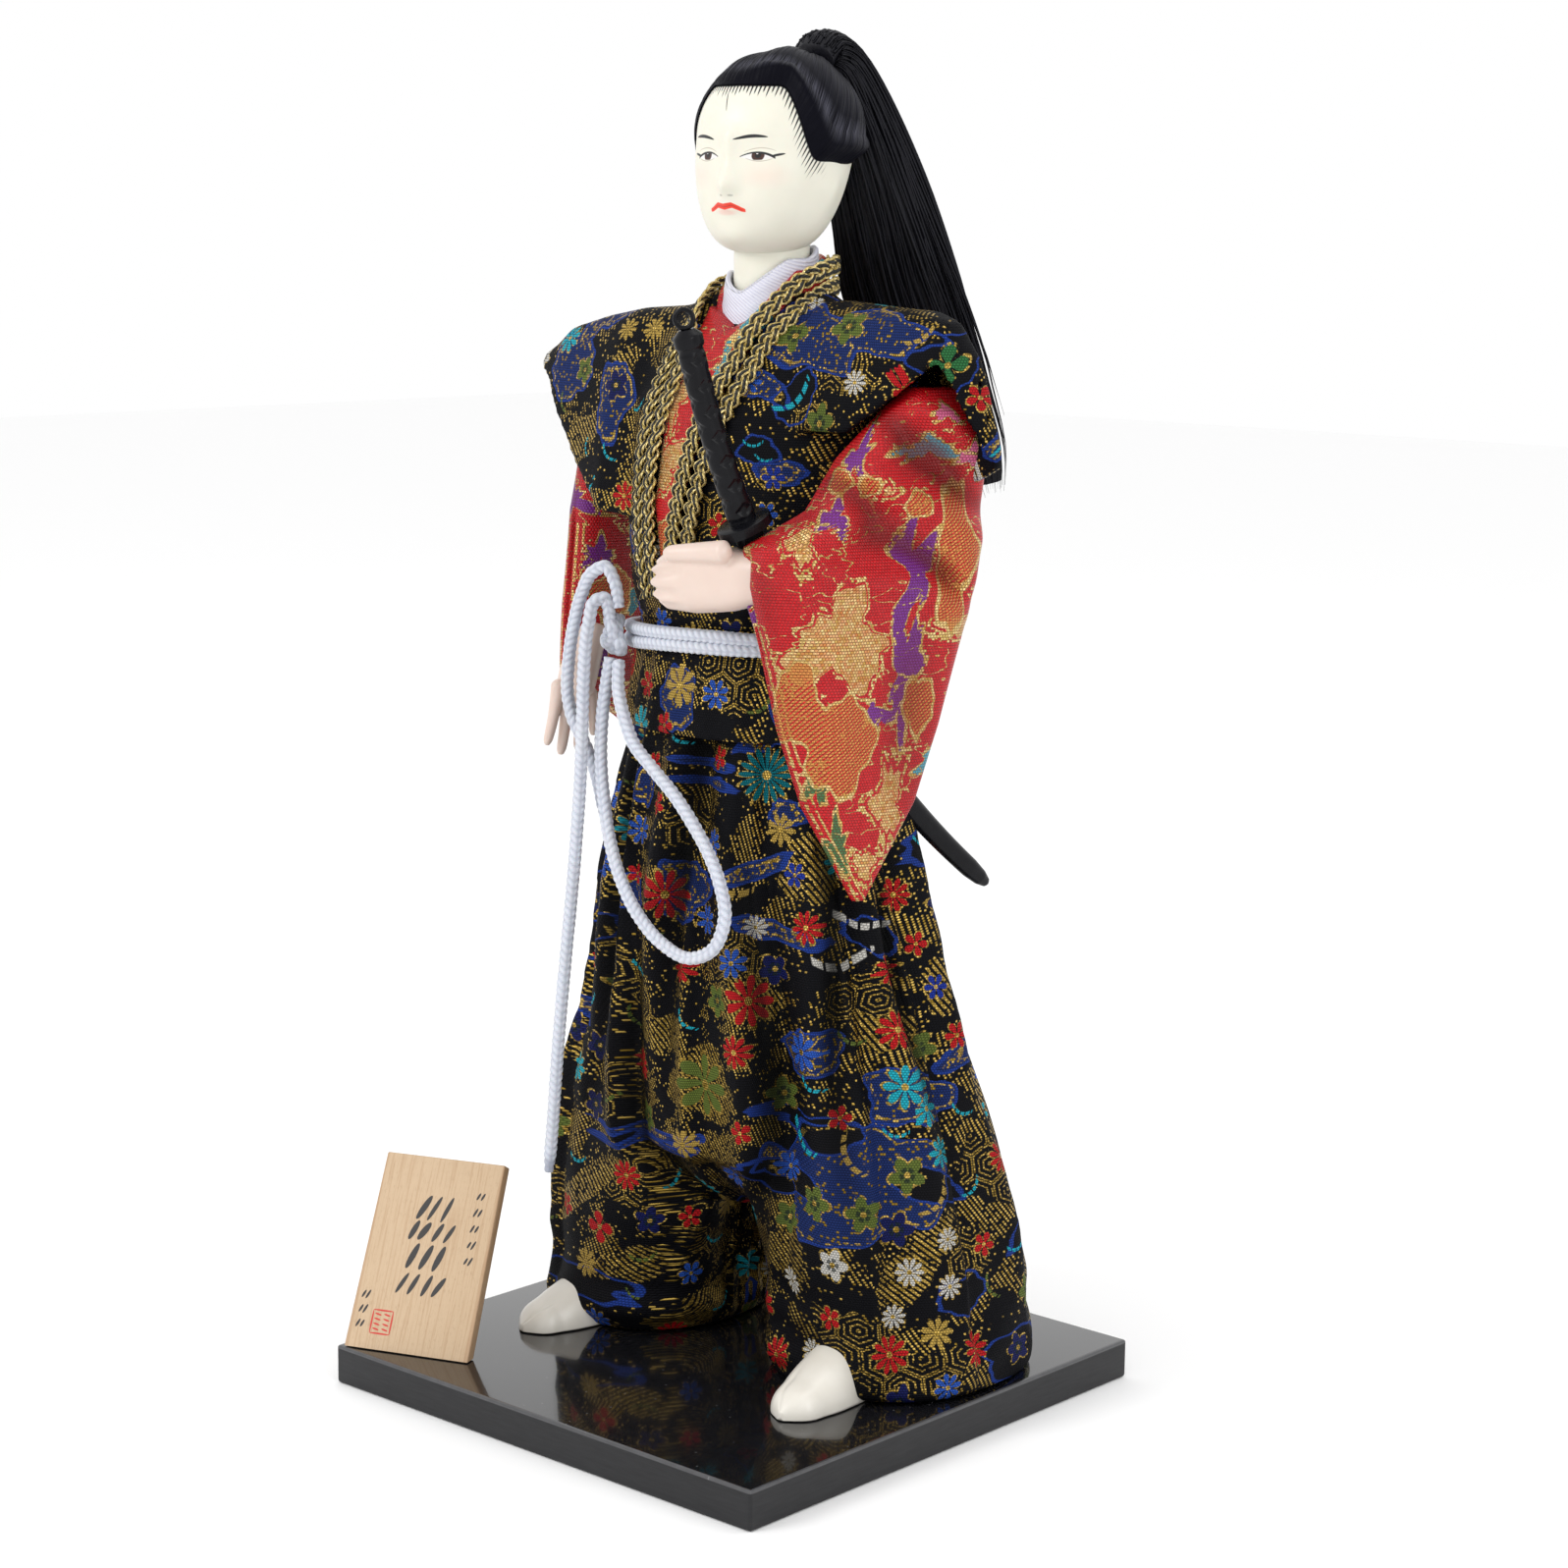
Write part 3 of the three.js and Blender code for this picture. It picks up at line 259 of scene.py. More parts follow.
def ring_middle(ring):
    return np.repeat(ring.mean(1, keepdims=True), ring.shape[1], 1)


def joined(name, pieces):
    deselect()
    for piece in pieces:
        piece.select_set(True)
    bpy.context.view_layer.objects.active = pieces[0]
    if len(pieces) > 1:
        bpy.ops.object.join()
    pieces[0].name = name
    return pieces[0]


def modify(piece, kind, **settings):
    activate(piece)
    modifier = piece.modifiers.new("shape", kind)
    for key, value in settings.items():
        setattr(modifier, key, value)
    bpy.ops.object.modifier_apply(modifier=modifier.name)


def moved(piece, place=(0, 0, 0), turn=(0, 0, 0), scale=(1, 1, 1)):
    """Scales, turns and moves a piece, then puts its place into its mesh."""
    activate(piece)
    piece.scale = scale
    piece.rotation_euler = [math.radians(angle) for angle in turn]
    piece.location = [value * MM for value in place]
    bpy.ops.object.transform_apply(location=True, rotation=True, scale=True)
    return piece


def blended(piece, cell, rounds):
    """One skin over joined parts, remeshed in small cells and smoothed."""
    modify(piece, "REMESH", mode="VOXEL", voxel_size=cell * MM)
    modify(piece, "SMOOTH", factor=0.6, iterations=rounds)
    bpy.ops.object.shade_smooth()
    return piece


# %% Finishing a piece
made = {}


def finish_piece(piece, node, material):
    """Rides the piece on the doll, names what it stands for and gives it its finish."""
    activate(piece)
    bpy.ops.object.transform_apply(location=True, rotation=True, scale=True)
    piece.data.materials.clear()
    piece.data.materials.append(material)
    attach(piece, "root")
    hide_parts(node)
    piece.name = f"{node}_shown"
    piece.data.calc_loop_triangles()
    made[piece.name] = len(piece.data.loop_triangles)
    print(piece.name, made[piece.name], "triangles")
    return piece

# %% [markdown]
# Three ends of white cord hang from the knot at the right hip: a loop, a long end and a short end. They
# are round braids of soft thread, 3 mm thick, whose strands meet in rows of chevrons. A cord is a grid
# wrapped round its line, because the chevrons then follow every bend, with the path kept for its length.

# %% Cords
CORD = 3.0
CHEVRON = 1.7
CORD_COLUMNS = 4


def frames_along(line, closed=False):
    """Sideways and upward directions that turn as little as possible along a line."""
    if closed:
        tangent = np.roll(line, -1, 0) - np.roll(line, 1, 0)
    else:
        tangent = np.gradient(line, axis=0)
    tangent = unit(tangent)
    side = np.zeros_like(line)
    start = np.cross(tangent[0], (0.3, 0.2, 1.0))
    if np.linalg.norm(start) < 0.2:
        start = np.cross(tangent[0], (1.0, 0.2, 0.1))
    side[0] = unit(start)
    for i in range(1, len(line)):
        side[i] = unit(side[i - 1] - tangent[i] * np.dot(side[i - 1], tangent[i]))
    return side, np.cross(tangent, side)


def braid(run, angle, radius, seed):
    """Radius of a round braid: chevrons of thread between sunken columns."""
    across = angle / (2 * math.pi) * CORD_COLUMNS
    column = np.floor(across)
    inside = across - column
    slant = np.where(column % 2 == 0, inside, 1 - inside)
    strand = np.abs(np.sin(math.pi * (run / CHEVRON + 0.8 * slant)))
    crown = 1 - np.abs(2 * inside - 1) ** 4
    soft = 0.02 * ripple(run, 3 * angle, seed, 2.0)
    return radius * (0.8 + 0.22 * strand ** 0.7 * (0.4 + 0.6 * crown) + soft)


def rope(name, points, radius=CORD / 2, sides=24, spacing=0.33, closed=False, seed=1, taper=0.0):
    """A braided cord along given points. Returns the piece, its line and its length."""
    line, length = through(points, 10)
    line, length = through(points, int(length / spacing))
    if closed:
        line = line[:-1]
    side, upward = frames_along(line, closed)
    angle = circle(sides)[None, :, None]
    run = np.linspace(0, length, len(line))[:, None, None]
    reach = braid(run, angle, radius, seed)
    if taper:
        reach = reach * (1 - taper * ease(length - 5, length, run))
    rings = line[:, None] + reach * (np.cos(angle) * side[:, None] + np.sin(angle) * upward[:, None])
    # How deep each point lies in the braid's grooves; the cord's finish darkens them as painted shade.
    grooves = np.clip((1 - reach[..., 0] / radius) / 0.22, 0, 1)
    piece = skin(name, rings, ends=not closed, loop=closed, hollow_shade=grooves)
    return piece, line, length


# The same points as in the solids. Pixels on the photograph and depths were chosen by hand, and another
# program turned them into these millimetres.
CORDS = {
    "cord_loop": [
        (-20.1, -21, 169.5), (-20.6, -22, 162.8), (-21.2, -22.6, 155), (-21.1, -23, 146.2),
        (-19.1, -24, 137.6), (-16.4, -25.2, 130.3), (-10.4, -27.4, 121.3), (-3.1, -29.2, 114.4),
        (4.7, -30, 109.5),
        (13.2, -29.8, 107.3), (19.7, -29, 110.4), (21.6, -27.6, 117.2), (19.3, -26.8, 124.4),
        (15.6, -26.4, 130.4), (10.8, -26.3, 136.2), (5.5, -26.4, 141.7), (-1.6, -26.6, 147.4),
        (-7.8, -26.2, 152.3), (-11.6, -25.4, 158), (-14.6, -24, 163.2), (-16.9, -21.6, 169),
    ],
    "cord_tail_long": [
        (-20.6, -20.5, 178.2), (-21.6, -22, 182.9), (-22.6, -23.4, 182.2), (-23.3, -24.6, 177.9),
        (-23.7, -25.4, 171.7), (-23.9, -25.8, 165.1), (-24, -26, 156.2), (-24.6, -26, 142.7),
        (-25.4, -26.2, 131.4), (-26.3, -26.8, 117.8), (-27.1, -27.6, 105.3), (-27.7, -28.6, 92.8),
        (-28.5, -29.4, 79), (-29.2, -30, 65.1), (-30.4, -30.4, 50.3),
    ],
    "cord_tail_short": [
        (-19.6, -19, 180.8), (-19.9, -20, 186.6), (-21.7, -21, 189.8), (-24.7, -22, 188.4),
        (-27.8, -22.6, 183.1), (-30.1, -22.8, 175.8), (-32.1, -22.4, 167.3), (-32.8, -22, 160.4),
        (-31.9, -21.4, 154.9), (-29.3, -20.8, 150.1), (-26.4, -20.2, 144.5), (-24.4, -20, 138.7),
        (-22.4, -20.4, 132.2),
    ],
}

ropes = {}
for order, (name, points) in enumerate(CORDS.items()):
    piece, line, length = rope(name, points, seed=20 + order, taper=0.0 if name == "cord_loop" else 0.3)
    ropes[name] = piece
    print(name, round(length, 1), "mm long")

# %% [markdown]
# The belt is the same braid, passed twice round the waist and tied into a flat knot on the right hip.
# Two closed ropes lie one above the other and cross a little, as two turns of one cord do. The knot is
# three short wraps of the same cord round the place where its ends come out.

# %% Belt and knot
BODY = (2.0, 6.0)
WAIST_Z = 174.5
WAIST = {"a": 31.9, "b": 23.8}
BELT_REACH = CORD / 2 + 2 * GAP


def belt_line(turn):
    angles = circle(72)
    outward = unit(np.stack([np.cos(angles) / WAIST["a"], np.sin(angles) / WAIST["b"]], 1))
    x = BODY[0] + WAIST["a"] * np.cos(angles) + outward[:, 0] * BELT_REACH
    y = BODY[1] + WAIST["b"] * np.sin(angles) + outward[:, 1] * BELT_REACH
    wander = 0.25 * np.sin(3 * angles + turn) + 0.15 * np.sin(5 * angles + 2 * turn)
    z = WAIST_Z + 1.2 * np.cos(angles + 0.6) + turn * CORD * 0.43 + wander
    points = np.stack([x, y, z], 1)
    return np.concatenate([points, points[:1]])


belt_turns = [rope("turn", belt_line(turn), closed=True, seed=30 + turn)[0] for turn in (-1, 1)]
belt = joined("waist_cord", belt_turns)

KNOT = (-21.2, -17.8, 174.4)
KNOT_TURN = math.radians(-35)


def knot_wrap(wide, tall, lean, out, height):
    """One closed wrap of cord in the knot."""
    angles = np.linspace(0, 2 * math.pi, 25)
    across = wide * np.cos(angles)
    z = tall * np.sin(angles) + lean * np.cos(angles) + height
    outwards = out + 0.5 * np.sin(2 * angles)
    x = KNOT[0] + across * math.cos(KNOT_TURN) + outwards * math.sin(KNOT_TURN)
    y = KNOT[1] + across * math.sin(KNOT_TURN) - outwards * math.cos(KNOT_TURN)
    return np.stack([x, y, KNOT[2] + z], 1)


WRAPS = [
    {"wide": 2.9, "tall": 2.6, "lean": 1.2, "out": 1.6, "height": 0.6},
    {"wide": 2.6, "tall": 3.0, "lean": -1.4, "out": -0.2, "height": -0.2},
    {"wide": 1.8, "tall": 3.3, "lean": 0.5, "out": 0.6, "height": 0.2},
]
wraps = [rope("wrap", knot_wrap(**wrap), closed=True, seed=40 + i)[0] for i, wrap in enumerate(WRAPS)]
knot = joined("cord_knot", wraps)
print("belt and knot ready")

# %% [markdown]
# The board is a plain square of wood under thick black lacquer, with its edge a little lighter. A
# cube has its edges bevelled. The plaque is a sawn tile of pale wood: a cube tapered to its upper edge,
# its corners bevelled, with an inscription in ink. The marks here are strokes only, and stand for none.

# %% Board
bpy.ops.mesh.primitive_cube_add(size=1)
BOARD = {"wide": 130, "thick": 9, "bevel": 0.8}
plinth = moved(
    bpy.context.object,
    place=(0, 0, BOARD["thick"] / 2),
    scale=(BOARD["wide"] * MM, BOARD["wide"] * MM, BOARD["thick"] * MM),
)
plinth.name = "plinth"
bpy.ops.object.mode_set(mode="EDIT")
bpy.ops.mesh.select_all(action="SELECT")
bpy.ops.mesh.bevel(offset=BOARD["bevel"] * MM, segments=4, profile=0.6)
bpy.ops.object.mode_set(mode="OBJECT")
bpy.ops.object.shade_smooth_by_angle(angle=math.radians(25))

# %% Plaque
PLAQUE = {
    "x": -48.2, "y": -58.9, "turn": 21.4, "lean": 28, "width": 31.5, "top": 30.3, "tall": 46, "thick": 3,
}


def stand_plaque(points):
    """Leans points drawn flat on the plaque (across, behind its face, up it) and puts them on the board."""
    lean = math.radians(PLAQUE["lean"])
    across, behind, up = points[:, 0], points[:, 1], points[:, 2]
    foot = up < 0.01
    up = np.where(foot, behind * math.tan(lean), up)
    y = behind * math.cos(lean) + up * math.sin(lean)
    z = up * math.cos(lean) - behind * math.sin(lean)
    x, y = turned(across, y, PLAQUE["turn"])
    return np.stack([x + PLAQUE["x"], y + PLAQUE["y"], z + FLOOR], 1)


bpy.ops.mesh.primitive_cube_add(size=1)
plaque = moved(
    bpy.context.object,
    place=(0, PLAQUE["thick"] / 2, PLAQUE["tall"] / 2),
    scale=(PLAQUE["width"] * MM, PLAQUE["thick"] * MM, PLAQUE["tall"] * MM),
)
plaque.name = "name_plaque"
bpy.ops.object.mode_set(mode="EDIT")
bpy.ops.mesh.select_all(action="SELECT")
bpy.ops.mesh.bevel(offset=0.35 * MM, segments=3)
bpy.ops.object.mode_set(mode="OBJECT")
flat = read_points(plaque.data)
flat[:, 0] *= 1 + (PLAQUE["top"] / PLAQUE["width"] - 1) * flat[:, 2] / PLAQUE["tall"]
flat[:, 2] = np.where(flat[:, 2] < 0.5, 0, flat[:, 2])
write_points(plaque.data, stand_plaque(flat))
write_vector(plaque, "place", flat)
bpy.ops.object.shade_smooth_by_angle(angle=math.radians(30))

# %% Strokes and seal on the plaque
# Each stroke is (across, up, length, width, turn in degrees) on the face of the plaque.
BIG_ROWS = [(34, 3, 6.5), (28.5, 4, 5), (22.5, 3, 6.5), (16, 4, 5.5)]
SMALL_COLUMNS = [(10.8, 38, 5, 3.8), (-12.9, 12.4, 3, 3.4)]


def stroke(across, up, wide, tall, turn, lift=0.05):
    bpy.ops.mesh.primitive_cylinder_add(vertices=20, radius=0.5, depth=1)
    mark = bpy.context.object
    moved(mark, turn=(90, 0, 0), scale=(wide * MM, tall * MM, lift * MM))
    moved(mark, place=(across, -lift / 2 + 0.01, up), turn=(0, turn, 0))
    return mark


draw = np.random.default_rng(5)
marks = []
for up, count, tall in BIG_ROWS:
    for i in range(count):
        across = 3.1 * (i - (count - 1) / 2) + draw.uniform(-0.4, 0.4)
        marks.append(stroke(across, up, draw.uniform(1.0, 1.6), tall, 26 + draw.uniform(-7, 7)))
for across, top, count, pitch in SMALL_COLUMNS:
    for i in range(count):
        for k in (-0.55, 0.55):
            marks.append(stroke(across + k, top - i * pitch, 0.55, draw.uniform(1.7, 2.4), 24))
ink = joined("ink", marks)
SEAL = (-7.6, 6.4)
seal_marks = [stroke(SEAL[0], SEAL[1] + k, 5.2, 0.4, 0) for k in (-2.7, 2.7)]
seal_marks += [stroke(SEAL[0] + k, SEAL[1], 0.4, 5.4, 0) for k in (-2.5, 2.5)]
for side in (-1.15, 1.15):
    for rise in (-1.725, -0.575, 0.575, 1.725):
        seal_marks.append(stroke(SEAL[0] + side, SEAL[1] + rise, 1.7, 0.42, 12))
seal = joined("seal", seal_marks)
TONES = {"ink": 1.0, "seal": 2.0}


def set_tone(piece, value):
    """A number on every point that a material can read as a second colour."""
    layer = piece.data.attributes.new("tone", "FLOAT", "POINT")
    layer.data.foreach_set("value", np.full(len(piece.data.vertices), value, np.float32))


for piece in (ink, seal):
    write_points(piece.data, stand_plaque(read_points(piece.data) + (0, 0, 0.02)))
    set_tone(piece, TONES[piece.name])
set_tone(plaque, 0.0)
plaque = joined("name_plaque", [plaque, ink, seal])
print("board and plaque ready")

# %% [markdown]
# The feet are resin castings painted as white split-toed socks: pointed in front, with a faint seam
# between the toes. Each is a grid over rings that grow from the toe to the heel.

# %% Feet
FEET = {
    "foot_left": {"x": 42.5, "y": -31, "turn": 6, "width": 15.5, "long": 44, "tall": 15},
    "foot_right": {"x": -40.5, "y": -29.5, "turn": -8, "width": 15, "long": 40, "tall": 14},
}
SOLE = table(
    "at a h",
    (0, 0.1, 0.12), (0.05, 0.52, 0.28), (0.2, 0.86, 0.5), (0.45, 1, 0.8), (0.75, 0.9, 1), (1, 0.7, 1),
)


def build_foot(name, size):
    t = np.linspace(0, 1, 80)[:, None]
    angle = circle(96)[None]
    a = along(SOLE, "a", t ** 1.3) * size["width"] / 2
    h = along(SOLE, "h", t ** 1.3) * size["tall"]
    rise = np.maximum(np.sin(angle), -0.12)
    side = 1 if size["x"] > 0 else -1
    split = bell((np.cos(angle) + 0.32 * side) / 0.09) * (1 - ease(0.22, 0.42, t)) * (np.sin(angle) > 0)
    x = a * power(np.cos(angle), 0.8) + 0 * t
    y = t ** 1.3 * size["long"] + 0 * angle
    z = h * (rise + 0.12) / 1.12 - 0.55 * split * h / size["tall"] * 2
    x, y = turned(x, y, size["turn"])
    return skin(name, np.stack([x + size["x"], y + size["y"], z + FLOOR], 2))


feet = {name: build_foot(name, size) for name, size in FEET.items()}
print("feet ready")

# %% [markdown]
# The hakama is a pair of very wide pleated trousers, padded to stand out. Its cloth falls in deep knife
# pleats from the waist, and its hems turn under just above the board. One skirt and two legs are laid
# out as rings, joined, and remeshed into one skin, as the sewn garment has no seam where they meet.

# %% Hakama
PLEATS = 13
SKIRT = table(
    "at y a b",
    (57, 11, 57.3, 32), (85, 9, 51.8, 32), (110, 7, 45.3, 29.8), (135, 6, 38.6, 26.5),
    (152, 6, 33.2, 23.6), (159, 6, 31, 21.5),
)
GUSSET = table(
    "at y a b",
    (43, 13, 5, 12), (46, 13, 18, 18), (51, 12, 34, 24), (62, 11, 44, 28),
)
LEGS = {
    "left": table(
        "at x y a b",
        (9.3, 36, 17, 27, 29), (12, 36, 17, 28.2, 30.5), (22, 35.5, 17, 27.5, 30),
        (45, 33.5, 14.5, 26.3, 29.8), (60, 32, 12.5, 25, 28.5), (78, 28, 9.5, 23, 26.5),
        (100, 23, 7.5, 18, 20),
    ),
    "right": table(
        "at x y a b",
        (9.3, -33.5, 12, 22, 26), (12, -33.5, 12, 23.8, 28.5), (22, -32.5, 12, 23.6, 28.3),
        (45, -30.5, 11, 24.8, 28.5), (60, -29, 10, 24.5, 28), (78, -25.5, 8.5, 23, 26),
        (100, -21, 7, 18, 20),
    ),
}


def pleat(angle, count, shift, drop=0.14):
    """Knife pleats: each rises slowly and drops back fast."""
    t = (angle / (2 * math.pi) * count + shift) % 1
    rise = 1 - drop
    return np.where(t < rise, t / rise, (1 - t) / drop) * 2 - 1


def garment(name, rows, sides, levels, swell, squareness=2.0, x=None):
    """A grid over horizontal rings whose sizes come from the rows of a profile."""
    z = np.array(levels, float)[:, None]
    angle = circle(sides)[None]
    a, b = along(rows, "a", z), along(rows, "b", z)
    scale = swell(angle, z)
    middle = along(rows, "x", z) if x is None else x
    across = middle + a * scale * power(np.cos(angle), 2 / squareness)
    deep = along(rows, "y", z) + b * scale * power(np.sin(angle), 2 / squareness)
    rings = np.stack([across, deep, np.broadcast_to(z, across.shape)], 2)
    return skin(name, rings)


def even(angle, z):
    return 1 + 0 * angle * z


skirt = garment("skirt", SKIRT, 160, np.linspace(57, 159, 60), even, x=BODY[0] - 1.2)
gusset = garment("gusset", GUSSET, 90, np.linspace(43, 62, 16), even, x=BODY[0] - 1.2)
HEM_LEVELS = np.concatenate([np.linspace(9.3, 13, 8), np.linspace(14, 100, 60)])
legs = [garment(side, rows, 120, HEM_LEVELS, even, 2.3) for side, rows in LEGS.items()]
hakama = joined("hakama", [skirt, gusset] + legs)
modify(hakama, "REMESH", mode="VOXEL", voxel_size=1.02 * MM)
seam = hakama.vertex_groups.new(name="seam")
heights = read_points(hakama.data)[:, 2]
for i in np.flatnonzero(np.abs(heights - 57) < 13):
    seam.add([int(i)], float(bell((heights[i] - 57) / 7)), "REPLACE")
modify(hakama, "SMOOTH", factor=0.7, iterations=80, vertex_group="seam")
hakama.vertex_groups.clear()


# Deep folds: direction from the middle in degrees, the level where each is deepest, and its depth.
FOLDS = [
    (-127, 112, 3.6), (-92, 128, 4.6), (-62, 82, 4.4), (-36, 104, 3.4), (-8, 108, 4.2), (24, 90, 3.4),
    (60, 100, 3.4), (95, 110, 4.2), (130, 100, 3.4), (172, 105, 4.2), (-154, 92, 3.6), (-108, 60, 2.6),
]


def fold_hakama():
    """Moves every point along its normal: knife pleats from waist to hem, drag folds and puckers."""
    points, normals = read_points(hakama.data), read_normals(hakama.data)
    x, y, z = points.T
    centre_y = np.interp(z, [20, 56, 85, 110, 135, 159], [14, 11, 9, 7, 6, 6])
    angle = np.arctan2((y - centre_y) / 0.7, x - BODY[0])
    sway = 0.035 * np.sin(z / 23 + 1) + 0.012 * ripple(z, 9 * angle, 60, 12)
    height = np.interp(z, [9.3, 20, 60, 110, 140, 159], [0.5, 1.3, 1.9, 2.2, 1.4, 0.3])
    move = height * pleat(angle, PLEATS, PLEAT_SHIFT + sway)
    second = pleat(angle, 5, 0.3 + 0.05 * np.sin(z / 30))
    move = move + 0.7 * second * np.interp(z, [9.3, 40, 120, 159], [0.3, 1, 1, 0])
    around = 38 * angle
    move = move + 0.55 * ripple(z * 0.7, around, 61, 7) + 0.3 * ripple(z, around, 62, 3.2) * ease(150, 120, z)
    move = move + 0.8 * ripple(z * 1.6, around, 64, 3) * ease(40, 16, z)
    # How deep each point lies in a deep fold; the dark brocade darkens the cloth there as painted shade.
    hollow_shade = 0 * z
    for degrees, level, depth in FOLDS:
        sideways = angle - np.radians(degrees) + 0.05 * np.sin(z / 17 + level)
        arc = 40 * ((sideways + math.pi) % (2 * math.pi) - math.pi)
        reach = bell((z - level) / 46)
        dent = np.where(arc < 0, bell(arc / 2), bell(arc / 6.5)) * reach
        move = move - 1.2 * depth * dent + 0.4 * depth * bell((arc + 5.5) / 3) * reach
        hollow_shade = np.maximum(hollow_shade, bell(arc / 2.8) * reach)
    level = np.sqrt(np.clip(1 - normals[:, 2] ** 2, 0, 1))
    write_points(hakama.data, points + normals * (move * level * ease(9.3, 12, z))[:, None])
    return hollow_shade


PLEAT_SHIFT = 0.05
hollow_shade = fold_hakama()
modify(hakama, "SMOOTH", factor=0.5, iterations=1)
bpy.ops.object.shade_smooth()
print("hakama ready")

# %% [markdown]
# The vest is brocade sewn over a padded body, with a short skirt below the belt and two stiff wings that
# stand out past the shoulders like folded boards. The body is a grid over rings, and each wing is a grid
# over arches of cloth 2 mm thick. Both are joined and remeshed into one garment.

# %% Vest
TORSO = table(
    "at y a b",
    (154, 6, 35.5, 26.5), (168, 6, 33.5, 25), (177, 6, 31.5, 23.5), (186, 6, 34, 25),
    (205, 6, 35.5, 25), (225, 6, 35, 22.5), (240, 6.5, 32, 16.5), (247, 7.5, 23, 11.5),
    (251, 8, 15, 9.5),
)
PANEL = table(
    "at middle half deep",
    (188, -5.3, 1.2, 1.2), (205, -5.4, 4.1, 1.2), (222, -2.6, 5.6, 1.4), (232, 0, 6.6, 2.5),
    (240, 1.8, 7.4, 6), (247.5, 2.2, 9.5, 6),
)


def chest(x, z, lift=0.0):
    """How far out the front of the vest lies."""
    a, b, y = (linear(TORSO, key, z) for key in ("a", "b", "y"))
    across = np.clip((x - BODY[0]) / a, -0.98, 0.98)
    return y - b * np.sqrt(1 - across ** 2) - lift


def torso_rings():
    z = np.linspace(154, 251, 130)[:, None]
    angle = circle(340)[None]
    a, b, y = (linear(TORSO, key, z) for key in ("a", "b", "y"))
    creases = 0.012 * ripple(z, 15 * angle, 70, 8) + 0.006 * ripple(z * 2.2, 18 * angle, 71, 4)
    # The cloth is drawn in at the belt and fans out below it.
    gathered = ease(26, 4, np.abs(z - WAIST_Z + 5)) * 0.014 * np.sin(26 * angle + 1.5 * np.sin(3 * angle))
    scale = 1 + creases + gathered
    x = BODY[0] + a * scale * np.cos(angle)
    deep = y + b * scale * np.sin(angle)
    # The front opening sinks under the panel and its trims.
    middle, half = linear(PANEL, "middle", z), linear(PANEL, "half", z)
    opening = ease(half + 2.5, half + 0.5, np.abs(x - middle)) * ease(184, 190, z) * (np.sin(angle) < -0.5)
    deep = deep + 2.2 * opening
    return np.stack([x, deep, np.broadcast_to(z, x.shape)], 2)


WINGS = {
    1: table(
        "at ridge ridgeY frontY frontZ backY backZ",
        (20, 249.5, 7, -12, 222, 25, 205), (38, 248.5, 6, -12, 222, 22, 206),
        (49, 248, 4, -8, 231, 15, 209), (56, 246, 3, -4, 238, 10, 211),
        (61, 238, 4.5, 0, 226, 9.5, 213), (65.4, 220, 6.2, 3.6, 216.5, 8.8, 215.5),
    ),
    -1: table(
        "at ridge ridgeY frontY frontZ backY backZ",
        (20, 247.5, 7, -13, 200, 25, 200), (34, 246.6, 6, -14, 201, 24, 203),
        (46, 244.6, 6, -9, 211, 20, 212), (57, 241.6, 5, -5, 223, 14, 223),
        (62, 237.5, 4, -2, 229, 11, 229), (66.8, 235, 3.5, 0.5, 232, 7.5, 232),
    ),
}
WING_THICK = 2.6


def arch(row, inset, reach):
    """Points over the shoulder from the front edge of a wing to its back edge."""
    front = reach < 0
    far = np.abs(reach)
    edge_y = np.where(front, row["frontY"] + inset, row["backY"] - inset)
    edge_z = np.where(front, row["frontZ"], row["backZ"])
    top = row["ridge"] - inset
    y = row["ridgeY"] + (edge_y - row["ridgeY"]) * far ** 0.6
    z = top + (edge_z - top) * far ** 2.2
    return y, np.minimum(z, np.maximum(top, edge_z))


def wing(side, rows):
    reach = np.linspace(-1, 1, 110)
    reach = np.sign(reach) * np.abs(reach) ** 1.25
    out = np.linspace(rows[0]["at"], rows[-1]["at"], 70)
    rings = []
    for at in out:
        row = {key: float(linear(rows, key, at)) for key in rows[0]}
        creases = 0.35 * ripple(at, 30 * reach, 74 + side, 9)
        outer = arch(row, 0, reach)
        inner = arch(row, WING_THICK, reach[::-1])
        y = np.concatenate([outer[0], inner[0]])
        z = np.concatenate([outer[1] + creases, inner[1] + creases[::-1]])
        rings.append(np.stack([np.full(y.shape, BODY[0] + side * at), y, z], 1))
    return skin("wing", np.array(rings))


garment_parts = [skin("torso", torso_rings())] + [wing(side, rows) for side, rows in WINGS.items()]
vest = blended(joined("vest", garment_parts), 0.88, 5)
print("vest ready")

# %% [markdown]
# Two collars cross at the throat: a ribbed white inner one and the red brocade one of the kimono, with a
# strip of the kimono's front showing below them between the trims. Each collar is a grid of thin rings
# that dips to a point in front and leans out at its foot.

# %% Collars
WHITE = {
    "inner": 9.1, "outer": 10.3, "back": 260.5, "side": 256.8, "front": 250.5, "hem": 236, "flare": 1.2,
    "dip": 1.1,
}
RED = {
    "inner": 10.3, "outer": 12, "back": 258.5, "side": 254, "front": 241.5, "hem": 234, "flare": 1.2,
    "dip": 1.25,
}
COLLAR_TILT = 0.16


